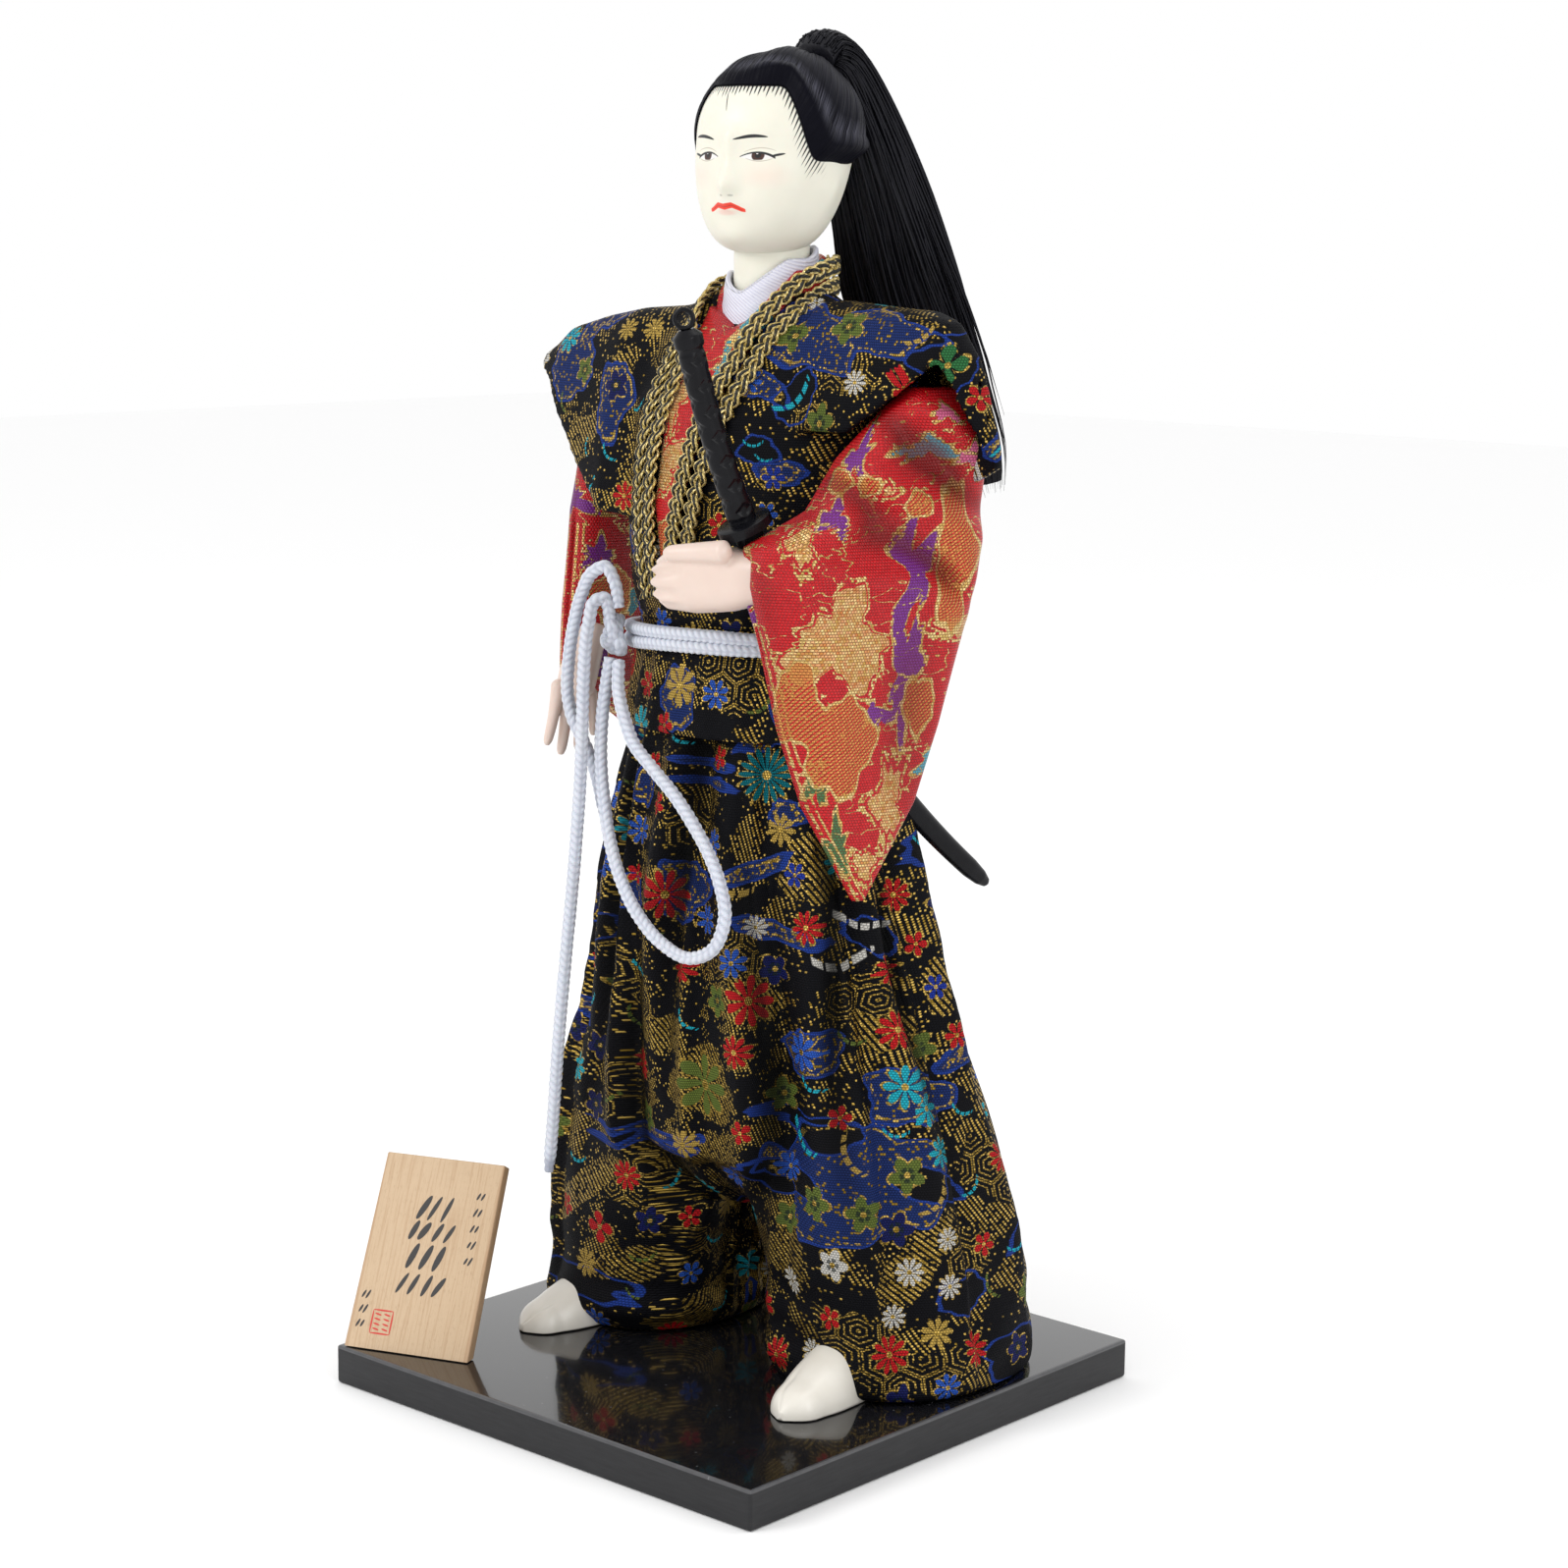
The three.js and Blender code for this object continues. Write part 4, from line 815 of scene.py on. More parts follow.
def collar(name, shape, ribs):
    around = circle(230)[:, None]
    across = np.linspace(0, 1, 60, endpoint=False)[None]
    to_front = (1 - np.sin(around)) / 2
    dip = np.clip(1 - np.hypot((around - 1.5 * math.pi) / shape["dip"], 0.12), 0, 1)
    top = shape["back"] + (shape["side"] - shape["back"]) * ease(0, 0.5, to_front)
    top = top + (shape["front"] - shape["side"]) * dip
    spread = shape["flare"] * to_front
    # The outline runs up inside, over the rolled edge and down outside.
    up = 1 - np.abs(2 * across - 1)
    rise = ease(0, 0.94, up) * 0.3 + up / 0.94 * 0.7
    rise = np.minimum(rise, 1)
    outside = ease(0.47, 0.53, across)
    radius = shape["inner"] + (shape["outer"] - shape["inner"]) * outside
    radius = radius + (shape["flare"] + spread) * (1 - rise)
    radius = radius + ribs * np.sin(up * 34) * (across > 0.5) + 0.12 * ripple(9 * around, 4 * across, 80, 2)
    rim = 0.5 * (1 - np.sin(math.pi * outside) ** 2) * (rise > 0.97)
    z = shape["hem"] + (top - shape["hem"]) * rise - rim
    x = BODY[0] + radius * np.cos(around)
    y = BODY[1] + 1 + radius * np.sin(around)
    z = z + COLLAR_TILT * radius * np.cos(around)
    return skin(name, np.stack([x, y, z], 2), ends=False, loop=True)


inner_collar = collar("inner_collar", WHITE, 0.05)


def panel():
    t = np.linspace(-1, 1, 30)[None]
    top = 240.5 + 7 * np.abs(t)
    z = 188 + (top - 188) * np.linspace(0, 1, 66)[:, None]
    middle, half, deep = (linear(PANEL, key, z) for key in ("middle", "half", "deep"))
    x = middle + t * half
    face = chest(x, z, 0.2 + 0.5 * (1 - t * t))
    rear = chest(x, z, -deep)[:, ::-1]
    outline_x = np.concatenate([x, x[:, ::-1]], 1)
    outline_y = np.concatenate([face, rear], 1)
    return skin("panel", np.stack([outline_x, outline_y, np.concatenate([z, z[:, ::-1]], 1)], 2))


kimono_collar = joined("kimono_collar", [collar("red", RED, 0.0), panel()])
print("collars ready")

# %% [markdown]
# The vest's neckline is trimmed with two flat plaits sewn side by side, each of two gold threads and one
# black. Every thread is a grid tube. Three threads of a plait swing from side to side and change their
# depth twice as often, which is what passes them over and under each other.

# %% Neckline trim
TRIM_RIGHT = [(-9.5, 184), (-12.4, 196), (-12.9, 208), (-12.4, 218), (-10.4, 227), (-9, 235)]
TRIM_NECK = [
    (-9.8, -8.2, 242), (-12.6, 1, 247.5), (-12.6, 9, 250), (-8.4, 17.5, 252.4), (2, 20.8, 254),
    (11.8, 17.5, 254.6), (16.2, 9, 253.6), (16.4, 1.4, 250.9), (13.4, -8, 243.1),
]
TRIM_LEFT = [(11, 234), (8.6, 228), (5.9, 221), (3.3, 212), (1.1, 201), (-0.8, 184)]
TRIM_LIFT = 1.6
PLAIT_PITCH = 9.5


def trim_line(count):
    """The middle of the trim, directions across it and out of the cloth, and its length."""
    right = [(x, float(chest(x, z, TRIM_LIFT)), z) for x, z in TRIM_RIGHT]
    left = [(x, float(chest(x, z, TRIM_LIFT)), z) for x, z in TRIM_LEFT]
    line, length = through(right + TRIM_NECK + left, count)
    tangent = unit(np.gradient(line, axis=0))
    a, b, y = (linear(TORSO, key, line[:, 2]) for key in ("a", "b", "y"))
    outward = unit(np.stack([(line[:, 0] - BODY[0]) / a ** 2, (line[:, 1] - y) / b ** 2, 0 * a], 1))
    return line, unit(np.cross(tangent, outward)), outward, length


def thread(line, radius, sides, tone):
    """A round thread along given points."""
    side, upward = frames_along(line)
    angle = circle(sides)[None, :, None]
    rings = line[:, None] + radius * (np.cos(angle) * side[:, None] + np.sin(angle) * upward[:, None])
    piece = skin("thread", rings)
    set_tone(piece, tone)
    return piece


def plaits():
    """Two plaits of three strands, each a black thread between two gold ones."""
    line, across, outward, length = trim_line(330)
    run = np.linspace(0, length, len(line))
    threads = []
    for plait, middle in enumerate((-2.35, 2.35)):
        for k in range(3):
            phase = 2 * math.pi * (run / PLAIT_PITCH + k / 3 + 0.3 * plait)
            lean = 1 - 0.25 * np.abs(np.cos(phase))
            for beside, tone, radius in ((-0.62, 0.0, 0.34), (0.0, 1.0, 0.46), (0.62, 0.0, 0.34)):
                sideways = middle + 1.25 * np.sin(phase) + beside * lean
                depth = 0.6 * np.sin(2 * phase) + 0.1 * tone
                path = line + across * sideways[:, None] + outward * depth[:, None]
                threads.append(thread(path, radius, 6, tone))
    return joined("neck_trim", threads)


neck_trim = plaits()
print("trim ready")

# %% [markdown]
# Each sleeve of the kimono is a flat bag that hangs from the armhole, open along its front edge where
# the hand comes out, with a narrow lining roll along that edge. Rings cut level by level give the bag,
# and soft folds run down it from the shoulder and from the elbow.

# %% Sleeves
SLEEVES = {
    "sleeve_left": table(
        "at fx fy bx by wide",
        (122, 43.8, -11.3, 44.9, -8.7, 2.4), (143, 38.5, -22, 49.9, 1.8, 6),
        (160, 35.8, -27, 52.2, 6.5, 9.5), (178, 34.2, -30.8, 54.5, 10, 13),
        (191, 32.8, -34, 55, 12.6, 16), (199, 33, -33.6, 55.8, 13.6, 16.5),
        (206, 38.8, -21.5, 56, 14, 17), (217, 41.5, -15, 56.6, 14.3, 17),
        (227, 46, -6, 56.8, 13.5, 15), (232, 48.5, -1, 54.5, 9.5, 9),
    ),
    "sleeve_right": table(
        "at fx fy bx by wide",
        (134, -46, 24, -45, 38, 3), (150, -46.5, 8, -45, 40, 7), (162, -46.5, -10, -45, 38, 11),
        (178, -46.4, -9, -45, 33, 12.6), (200, -46, -7, -44.6, 25, 13.6),
        (216, -44.5, -4, -44, 19, 14), (229, -42, 1, -42, 14, 8),
    ),
}
SQUARE = 2.5
# Creases below the left shoulder, ridges and hollows by turns: the level of each, and how far it leans.
LEFT_CREASES = [(226, 9), (218, 13), (209, 8), (201, 15), (192, 7)]


def sleeve(name, rows, seed):
    low, high = rows[0]["at"], rows[-1]["at"]
    z = np.linspace(low, high, 150)[:, None]
    angle = circle(250)[None]
    fx, fy, bx, by, wide = (linear(rows, key, z) for key in ("fx", "fy", "bx", "by", "wide"))
    deep_x, deep_y = bx - fx, by - fy
    half = np.hypot(deep_x, deep_y) / 2
    turn = np.arctan2(deep_y, deep_x)
    level = (z - low) / (high - low)
    # Folds fan down from the shoulder; the bag is slacker low down.
    fan = np.cos(angle) * half / 24
    folds = 0.55 * np.sin(fan * 5 + 2.2 * level + seed) * ease(0, 0.3, level)
    folds = folds + 0.5 * ripple(z, 26 * fan, seed, 9) + 0.2 * ripple(z, 26 * fan, seed + 1, 4)
    outward = -1 if name == "sleeve_left" else 1
    if outward < 0:
        for crease, (at, lean) in enumerate(LEFT_CREASES):
            height = 1.5 - 2.9 * (crease % 2)
            folds = folds + height * bell((z - at + lean * fan + 2 * np.sin(3 * fan)) / 3.2)
    flat = np.abs(np.sin(angle)) ** 0.5
    # The front edge is open: two layers part there with a dark gap between them.
    lips = bell((angle - math.pi) / 0.035) * ease(0.1, 0.25, level) * (1 - ease(0.62, 0.72, level))
    square = SQUARE + 1.8 * bell((z - 192) / 9) * (outward < 0)
    along_bag = half * power(np.cos(angle), 2 / square) + 1.6 * lips
    through_bag = (wide / 2 + folds * 0.8) * power(np.sin(angle), 2 / square) + outward * folds * 0.6 * flat
    x = (fx + bx) / 2 + along_bag * np.cos(turn) - through_bag * np.sin(turn)
    y = (fy + by) / 2 + along_bag * np.sin(turn) + through_bag * np.cos(turn)
    # How deep each point lies in a fold hollow, in full on one face of the bag and a fifth on the other; the
    # red brocade darkens the cloth there as painted shade.
    hollow_shade = np.clip((-folds - 0.1) / 1.5, 0, 1) * (0.6 + 0.4 * np.sign(outward * np.sin(angle)))
    return skin(name, np.stack([x, y, np.broadcast_to(z, x.shape)], 2), hollow_shade=hollow_shade)


sleeves = {name: sleeve(name, rows, 90 + 10 * i) for i, (name, rows) in enumerate(SLEEVES.items())}
print("sleeves ready")

# %% [markdown]
# The hands are small castings in pale pink resin. The left one is closed beside the hilt, and the right
# one hangs open behind the cords. Each is built of tapered limbs, blended into one skin by remeshing
# and smoothing, as a casting has no seams.

# %% Hands
def limb(start, end, thick, thin, bend=0.0, rows=14, sides=20):
    start, end = np.array(start, float), np.array(end, float)
    t = np.linspace(-0.04, 1, rows)
    direction = unit(end - start)
    sideways = unit(np.cross((0, 1, 0.01), direction))
    upward = np.cross(direction, sideways)
    radius = (thick + (thin - thick) * np.clip(t, 0, 1)) / 2
    radius = radius * np.sqrt(np.clip(1 - ease(0.86, 1.06, t) ** 2, 0.05, 1)) * ease(-0.1, 0.05, t)
    line = start + (end - start) * t[:, None] + upward * (bend * np.sin(math.pi * np.clip(t, 0, 1)))[:, None]
    angle = circle(sides)[None, :, None]
    rings = line[:, None] + radius[:, None, None] * (np.cos(angle) * sideways + np.sin(angle) * upward)
    return skin("limb", rings)


FIST = {"knuckles": (8.5, -33.5, 190.2), "wrist": (37.8, -28.3, 192.6)}
FIST_ROWS = table(
    "at deep tall",
    (0, 4.2, 4.6), (0.08, 5.6, 6.4), (0.3, 6.2, 7.2), (0.6, 5.8, 6.8), (0.8, 4.9, 5.6), (1, 4.6, 5.2),
)


def fist():
    start, end = np.array(FIST["knuckles"]), np.array(FIST["wrist"])
    direction = unit(end - start)
    deepward = unit(np.cross((0, 0, 1), direction))
    upward = np.cross(direction, deepward)
    t = np.linspace(0, 1, 70)[:, None]
    angle = circle(120)[None]
    curled = (1 - ease(0.1, 0.34, t)) * 0.1
    finger = 1 + curled * np.cos(4 * math.pi * np.sin(angle)) * (0.4 + 0.6 * np.abs(np.cos(angle)))
    deep = linear(FIST_ROWS, "deep", t) * finger
    tall = linear(FIST_ROWS, "tall", t) * (1 - 0.03 * ease(0.5, 0.1, t))
    across = deep * power(np.cos(angle), 0.75)
    rise = tall * power(np.sin(angle), 0.75)
    back = 1.3 * curled / 0.1 * np.cos(4 * math.pi * np.sin(angle)) * (1 - ease(0, 0.12, t)) * 0.5
    points = start + (end - start) * t[..., None] - direction * back[..., None]
    return skin("fist", points + deepward * across[..., None] + upward * rise[..., None])


thumb = limb((29, -35.6, 198), (13.5, -38.4, 196.6), 5.2, 3.6, 0.4)
hand_left = blended(joined("hand_left", [fist(), thumb]), 0.36, 4)

PALM = {"wrist": (-45, -3, 174), "palm": (-45.6, -7.5, 157)}
FINGERS = [
    ((-46.3, -11.8, 160.5), (-49, -13, 145.4), 3.4, 2.2),
    ((-46.3, -8.8, 159.5), (-48.5, -9, 142.8), 3.5, 2.3),
    ((-45.8, -5.8, 159.5), (-46.5, -5.4, 143.6), 3.4, 2.2),
    ((-45.3, -2.8, 160.5), (-44.5, -2.2, 147), 3.1, 2),
    ((-42.8, -9.5, 164.5), (-40.2, -13.6, 151.5), 3.6, 2.5),
]
parts = [limb(PALM["wrist"], PALM["palm"], 9.5, 9)]
parts += [limb(start, end, thick, thin, 0.5) for start, end, thick, thin in FINGERS]
hand_right = blended(joined("hand_right", parts), 0.36, 4)
print("hands ready")

# %% [markdown]
# The sword is moulded in black plastic: a hilt with the raised diamonds of a cord wrap, a small ring on
# the pommel, a round guard, and a gently bent scabbard that leaves past the left hip. Ovals are laid
# along one arc, and the diamonds are raised in the hilt's rings.

# %% Sword
SWORD = {
    "pommel": (24.5, -44.5, 246.4), "heading": 78, "slope": 75.5, "bend": 0.242, "hilt": 47.5, "length": 156,
}
SCABBARD_START = SWORD["hilt"] + 2.6
HILT = table(
    "at deep wide",
    (2, 3.4, 3), (3.4, 6.6, 5.6), (5.4, 6.6, 5.6), (6.2, 5.6, 4.6), (25, 5.4, 4.4), (44.6, 6.2, 5),
    (44.9, 12.5, 10.5), (47, 12.5, 10.5), (47.3, 6.6, 5.4), (50, 6.4, 5.2),
)
SCABBARD = table(
    "at deep wide",
    (50, 6, 4.6), (120, 5.4, 4), (149, 4.6, 3.6), (153, 3.7, 2.9), (155.3, 2.2, 1.7), (156, 0.5, 0.4),
)


def sword_points(distance):
    """Places on the sword's arc, and the directions across its edge and its side there."""
    heading = math.radians(SWORD["heading"])
    fine = np.linspace(0, SWORD["length"], 800)
    slope = np.radians(SWORD["slope"] - SWORD["bend"] * fine)
    step = fine[1]
    forward = np.cumsum(np.cos(slope)) * step
    down = np.cumsum(np.sin(slope)) * step
    run = np.interp(distance, fine, forward)
    drop = np.interp(distance, fine, down)
    x = SWORD["pommel"][0] + run * math.cos(heading)
    y = SWORD["pommel"][1] + run * math.sin(heading)
    here = np.radians(SWORD["slope"] - SWORD["bend"] * distance)
    edge = np.stack([math.cos(heading) * np.sin(here), math.sin(heading) * np.sin(here), np.cos(here)], 1)
    across = np.array([math.sin(heading), -math.cos(heading), 0.0])
    return np.stack([x, y, SWORD["pommel"][2] - drop], 1), edge, across


def sword_loft(name, rows, distance, sides, relief=None):
    place, edge, across = sword_points(distance)
    angle = circle(sides)[None]
    deep = linear(rows, "deep", distance)[:, None] / 2
    wide = linear(rows, "wide", distance)[:, None] / 2
    lift = 0 if relief is None else relief(distance[:, None], angle)
    deep, wide = deep + lift, wide + lift
    rings = place[:, None] + (deep * np.cos(angle))[..., None] * edge[:, None]
    rings = rings + (wide * np.sin(angle))[..., None] * across
    return skin(name, rings)


def diamonds(run, angle):
    """Crossing bands of the hilt's wrap, with flat diamonds between them."""
    half = np.abs((angle / math.pi) % 1 - 0.5) * 2
    phase = run / 5.6
    first = np.abs(((phase + half / 2) % 1) - 0.5) * 2
    second = np.abs(((phase - half / 2) % 1) - 0.5) * 2
    band = np.maximum(ease(0.3, 0.62, first), ease(0.3, 0.62, second))
    grip = ease(6.6, 7.6, run) * (1 - ease(43, 44, run))
    return 0.42 * (band - 0.5) * grip


hilt_run = np.unique(np.concatenate([np.linspace(2, 44.6, 150), np.linspace(44.6, 50, 40)]))
grip = sword_loft("grip", HILT, hilt_run, 72, diamonds)
RING = {"radius": 1.9, "wire": 1.1, "turn": 30}
bpy.ops.mesh.primitive_torus_add(
    major_segments=40,
    minor_segments=16,
    major_radius=RING["radius"] * MM,
    minor_radius=RING["wire"] / 2 * MM,
)
eye = moved(bpy.context.object, place=SWORD["pommel"], turn=(90, 0, RING["turn"]))
sword_hilt = joined("sword_hilt", [grip, eye])
bpy.ops.object.shade_smooth_by_angle(angle=math.radians(40))
shaft, tip = np.linspace(SCABBARD_START, 150, 120), np.linspace(150, SWORD["length"], 24)
scabbard_run = np.unique(np.concatenate([shaft, tip]))
scabbard = sword_loft("scabbard", SCABBARD, scabbard_run, 48)
print("sword ready")

# %% [markdown]
# Head and neck are one resin casting. Meridians and parallels of the skull carry the relief of the face:
# the nose, the hollows of the eyes, the lips and the chin, with a low swelling for each ear. The brows,
# eyes, lips and hairline are painted on the real doll too, so here the material paints them by place.

# %% Head
HEAD = {"x": 2.0, "y": 8.0, "z": 284.0, "turn": 10}
SKULL = {"a": 17, "b": 18.6, "top": 17.8, "chin": 24.8}
SKULL_SIZE = np.array([SKULL["a"], SKULL["b"], SKULL["top"]])


def on_neck(points):
    x, y = turned(points[..., 0], points[..., 1], HEAD["turn"])
    return np.stack([x + HEAD["x"], y + HEAD["y"], points[..., 2] + HEAD["z"]], -1)


def off_neck(points):
    """Places on the doll as places on its head: across the face, behind it and up it."""
    x, y = turned(points[..., 0] - HEAD["x"], points[..., 1] - HEAD["y"], -HEAD["turn"])
    return np.stack([x, y, points[..., 2] - HEAD["z"]], -1)


def face_relief(x, z):
    nose = 3.1 * bell(x / 2.2) * bell((z + 10) / 3.2)
    nose = nose + 1.5 * bell(x / 1.8) * ease(-10, 0, z) * (1 - ease(0, 4, z))
    sockets = -1.1 * (bell((x - 6.4) / 4) + bell((x + 6.4) / 4)) * bell((z + 3.2) / 2.8)
    lids = 0.35 * (bell((x - 6.2) / 3.4) + bell((x + 6.2) / 3.4)) * bell((z + 3.9) / 1.4)
    lips = 0.9 * bell(x / 3.6) * bell((z + 14.6) / 1.7) - 0.3 * bell(x / 3.4) * bell((z + 14.7) / 0.35)
    chin = 1.1 * bell(x / 4.5) * bell((z + 21.5) / 3.5)
    return nose + sockets + lids + lips + chin


def skull(longitude, latitude):
    up = np.sin(latitude)
    out = np.where(up > 0, np.cos(latitude), np.abs(np.cos(latitude)) ** 0.58)
    height = np.where(up > 0, SKULL["top"], SKULL["chin"])
    low = np.maximum(-up, 0)
    x = SKULL["a"] * out * np.sin(longitude) * (1 - 0.03 * low ** 2)
    y = -SKULL["b"] * out * np.cos(longitude) * (1 - 0.04 * low) - 4.6 * low
    z = height * up
    front = ease(0.1, 0.75, np.cos(longitude) * out)
    ear = bell((z + 10.1) / 5) * bell((np.abs(x) - 15.6) / 1.6) * bell((y + 2.5) / 3.2)
    return np.stack([x * (1 + 0.05 * ear), y - front * face_relief(x, z), z + 0 * x], -1)


latitude = np.radians(np.linspace(-86, 86, 150))[:, None]
longitude = circle(190)[None]
longitude = longitude - 0.45 * np.sin(longitude)
skull_piece = skin("skull", on_neck(skull(longitude, latitude)))
NECK_RADIUS = 8.4
neck_level = np.linspace(237, 272, 40)[:, None]
neck_angle = circle(80)[None]
neck_x = BODY[0] + NECK_RADIUS * np.cos(neck_angle) + 0 * neck_level
neck_y = BODY[1] + 1 + NECK_RADIUS * np.sin(neck_angle) + 0 * neck_level
neck = skin("neck", np.stack([neck_x, neck_y, neck_level + 0 * neck_angle], 2))
head = joined("head", [skull_piece, neck])
print("head ready")

# %% [markdown]
# The hair is glued on: a cap of straight black strands combed from the hairline up to a tie behind the
# crown. Its rings run round that tie, so that every groove of the comb follows a strand to it. The edge
# is rolled under, and lies a little proud of the painted hairline.

# %% Hair cap
TIE = (0.0, 12.5, 17.5)
HAIR = {"inside": 0.15, "lift": 2.5, "roll": 0.8}


def hairline(longitude):
    from_front = np.abs((longitude + math.pi) % (2 * math.pi) - math.pi)
    brow, temple, nape = np.radians(39), np.radians(-14), np.radians(-9)
    return brow + (temple - brow) * ease(0.7, 1.13, from_front) + (nape - temple) * ease(1.7, 2.4, from_front)


def tie_frame():
    """The direction of the tie from the middle of the head, and two directions across it."""
    pole = unit(np.array(TIE) / SKULL_SIZE)
    first = unit(np.cross(pole, (1, 0, 0)))
    return pole, first, np.cross(pole, first)


def hair_edge(columns):
    """Azimuths round the tie, and how far from the tie the hair ends at each."""
    pole, first, second = tie_frame()
    round_tie = circle(columns)
    away = np.linspace(0.02, 2.8, 260)
    ray = np.cos(round_tie)[:, None] * first + np.sin(round_tie)[:, None] * second
    probe = np.cos(away)[None, :, None] * pole + np.sin(away)[None, :, None] * ray[:, None]
    lat = np.arcsin(np.clip(probe[..., 2], -1, 1))
    lon = np.arctan2(probe[..., 0], -probe[..., 1])
    edge = away[np.argmax(lat < hairline(lon), axis=1)]
    return round_tie, sum(np.roll(edge, k) for k in range(-6, 7)) / 13


def hair_surface(columns, levels, thickness):
    """Rings round the tie over the skull, as points before the head is turned."""
    pole, first, second = tie_frame()
    round_tie, edge = hair_edge(columns)
    ray = np.cos(round_tie)[:, None] * first + np.sin(round_tie)[:, None] * second
    polar = levels[:, None] * edge[None]
    toward = np.cos(polar)[..., None] * pole + np.sin(polar)[..., None] * ray[None]
    low = np.maximum(-toward[..., 2:], 0)
    scale = SKULL_SIZE * (1 + low * (0, 0, SKULL["chin"] / SKULL["top"] - 1) * 2)
    thick = thickness(round_tie[None], levels[:, None])[..., None]
    return toward * scale + unit(toward / scale) * thick


def combed(round_tie, level):
    """Thickness of the hair: grooves of the comb, a rolled edge and soft locks."""
    draw = np.random.default_rng(11)
    total = 0 * round_tie
    for count in (37, 61, 97, 151, 233):
        phase = draw.uniform(0, 2 * math.pi)
        total = total + np.sin(round_tie * count + phase + 1.5 * np.sin(level * 2 + count)) / count ** 0.35
    to_edge = 1 - level
    roll = np.where(to_edge < 0.2, HAIR["roll"] * np.sin(math.pi * to_edge / 0.2), 0)
    front = ease(-0.3, 0.5, np.cos(round_tie - 1.5 * math.pi))
    lift = 0.4 + (0.7 + (HAIR["lift"] - 1.1) * front) * ease(0, 0.35 - 0.22 * front, to_edge)
    locks = 0.2 * np.sin(round_tie * 9 + 2) * ease(0.05, 0.4, level) * (1 - ease(0.8, 0.95, level))
    return lift + roll * (0.25 + 0.75 * front) + 0.15 * total * ease(0, 0.06, to_edge) + locks


COLUMNS = 640
outer_levels = np.concatenate([np.linspace(0.02, 0.75, 22), np.linspace(0.78, 1, 22)])
outer = hair_surface(COLUMNS, outer_levels, combed)
inner = hair_surface(COLUMNS, np.linspace(1, 0.05, 5), lambda tie, level: HAIR["inside"] + 0 * tie * level)
hair_rings = on_neck(np.concatenate([outer, inner]))
comb_run = np.linspace(0, 113, COLUMNS + 1)
comb_level = 26 * np.concatenate([outer_levels, np.linspace(1, 0.05, 5)])
comb_uv = np.stack(np.broadcast_arrays(comb_run[None], comb_level[:, None]), 2)
hair_cap = skin("hair_cap", hair_rings, cloth=comb_uv)
print("hair cap ready")

# %% [markdown]
# The ponytail is bound at the tie, stands up, falls behind the back and ends in loose strands. A grooved
# core gives its body and about three hundred three-sided strands lie on it, leave it near the end and
# spread, and a few short ones stick up at the crown.

# %% Ponytail
TAIL = [
    (2, 20.5, 302, 5, 4), (1.6, 23.5, 304, 6, 4.4), (1.8, 28, 300, 7.6, 6), (4.4, 33, 287, 9.6, 8.2),
    (7.4, 38.2, 269, 12, 9.6), (9.8, 43, 250, 14, 9.4), (14, 49.5, 231, 12.5, 7), (19.5, 56, 216, 8, 4.2),
    (21.5, 59.5, 204, 4.5, 2),
]


TAIL_SIDE = np.array([1, 0.25, 0])


def tail_frame(t):
    """Centre, sideways and outward directions and half sizes of the ponytail at parts of its length."""
    rows = np.array(TAIL, float)
    at = np.arange(len(rows)) / (len(rows) - 1)
    sizes = np.stack([hermite(at, rows[:, k], t) for k in range(5)], 1)
    ahead = np.stack([hermite(at, rows[:, k], np.clip(t + 0.01, 0, 1)) for k in range(3)], 1)
    behind = np.stack([hermite(at, rows[:, k], np.clip(t - 0.01, 0, 1)) for k in range(3)], 1)
    direction = unit(ahead - behind)
    sideways = unit(TAIL_SIDE - direction * (direction @ TAIL_SIDE)[:, None])
    return sizes[:, :3], sideways, np.cross(direction, sideways), sizes[:, 3], sizes[:, 4]


def tail_core():
    t = np.linspace(0, 0.97, 150)
    centre, sideways, outward, wide, deep = tail_frame(t)
    angle = circle(180)
    grooves = 0.03 * np.sin(angle * 19 + 1) + 0.025 * np.sin(angle * 33 + 4) + 0.02 * np.sin(angle * 57)
    lock = 0.93 + grooves[None] * ease(0.03, 0.25, t)[:, None] * (1 + 0.3 * np.sin(9 * t))[:, None]
    rings = centre[:, None] + (wide[:, None] * lock * np.cos(angle))[..., None] * sideways[:, None]
    rings = rings + (deep[:, None] * lock * np.sin(angle))[..., None] * outward[:, None]
    return skin("core", rings)


def tail_strand(draw):
    """One loose strand on the ponytail, three-sided and pointed at its end."""
    stop = draw.uniform(0.8, 1.0)
    t = np.linspace(draw.uniform(0.01, 0.25), stop, 30)
    centre, sideways, outward, wide, deep = tail_frame(t)
    angle = draw.uniform(0, 2 * math.pi)
    drift = draw.uniform(-0.5, 0.5)
    turn = angle + drift * t + 0.05 * np.sin(t * draw.uniform(8, 18))
    reach = draw.uniform(0.93, 1.03) + draw.uniform(-0.1, 0.25) * ease(0.7, 1, t)
    if draw.uniform() < 0.12:
        turn = 0.25 * turn
        reach = reach + draw.uniform(0.1, 0.5) * ease(0.35, 0.9, t)
    place = centre + (reach * wide * np.cos(turn))[:, None] * sideways
    place = place + (reach * deep * np.sin(turn))[:, None] * outward
    size = draw.uniform(0.14, 0.28) * (1 - 0.85 * ease(0.75, 1, (t - t[0]) / (stop - t[0])))
    corner = circle(3)[None, :, None]
    ring = np.cos(corner) * sideways[:, None] + np.sin(corner) * outward[:, None]
    return place[:, None] + size[:, None, None] * ring


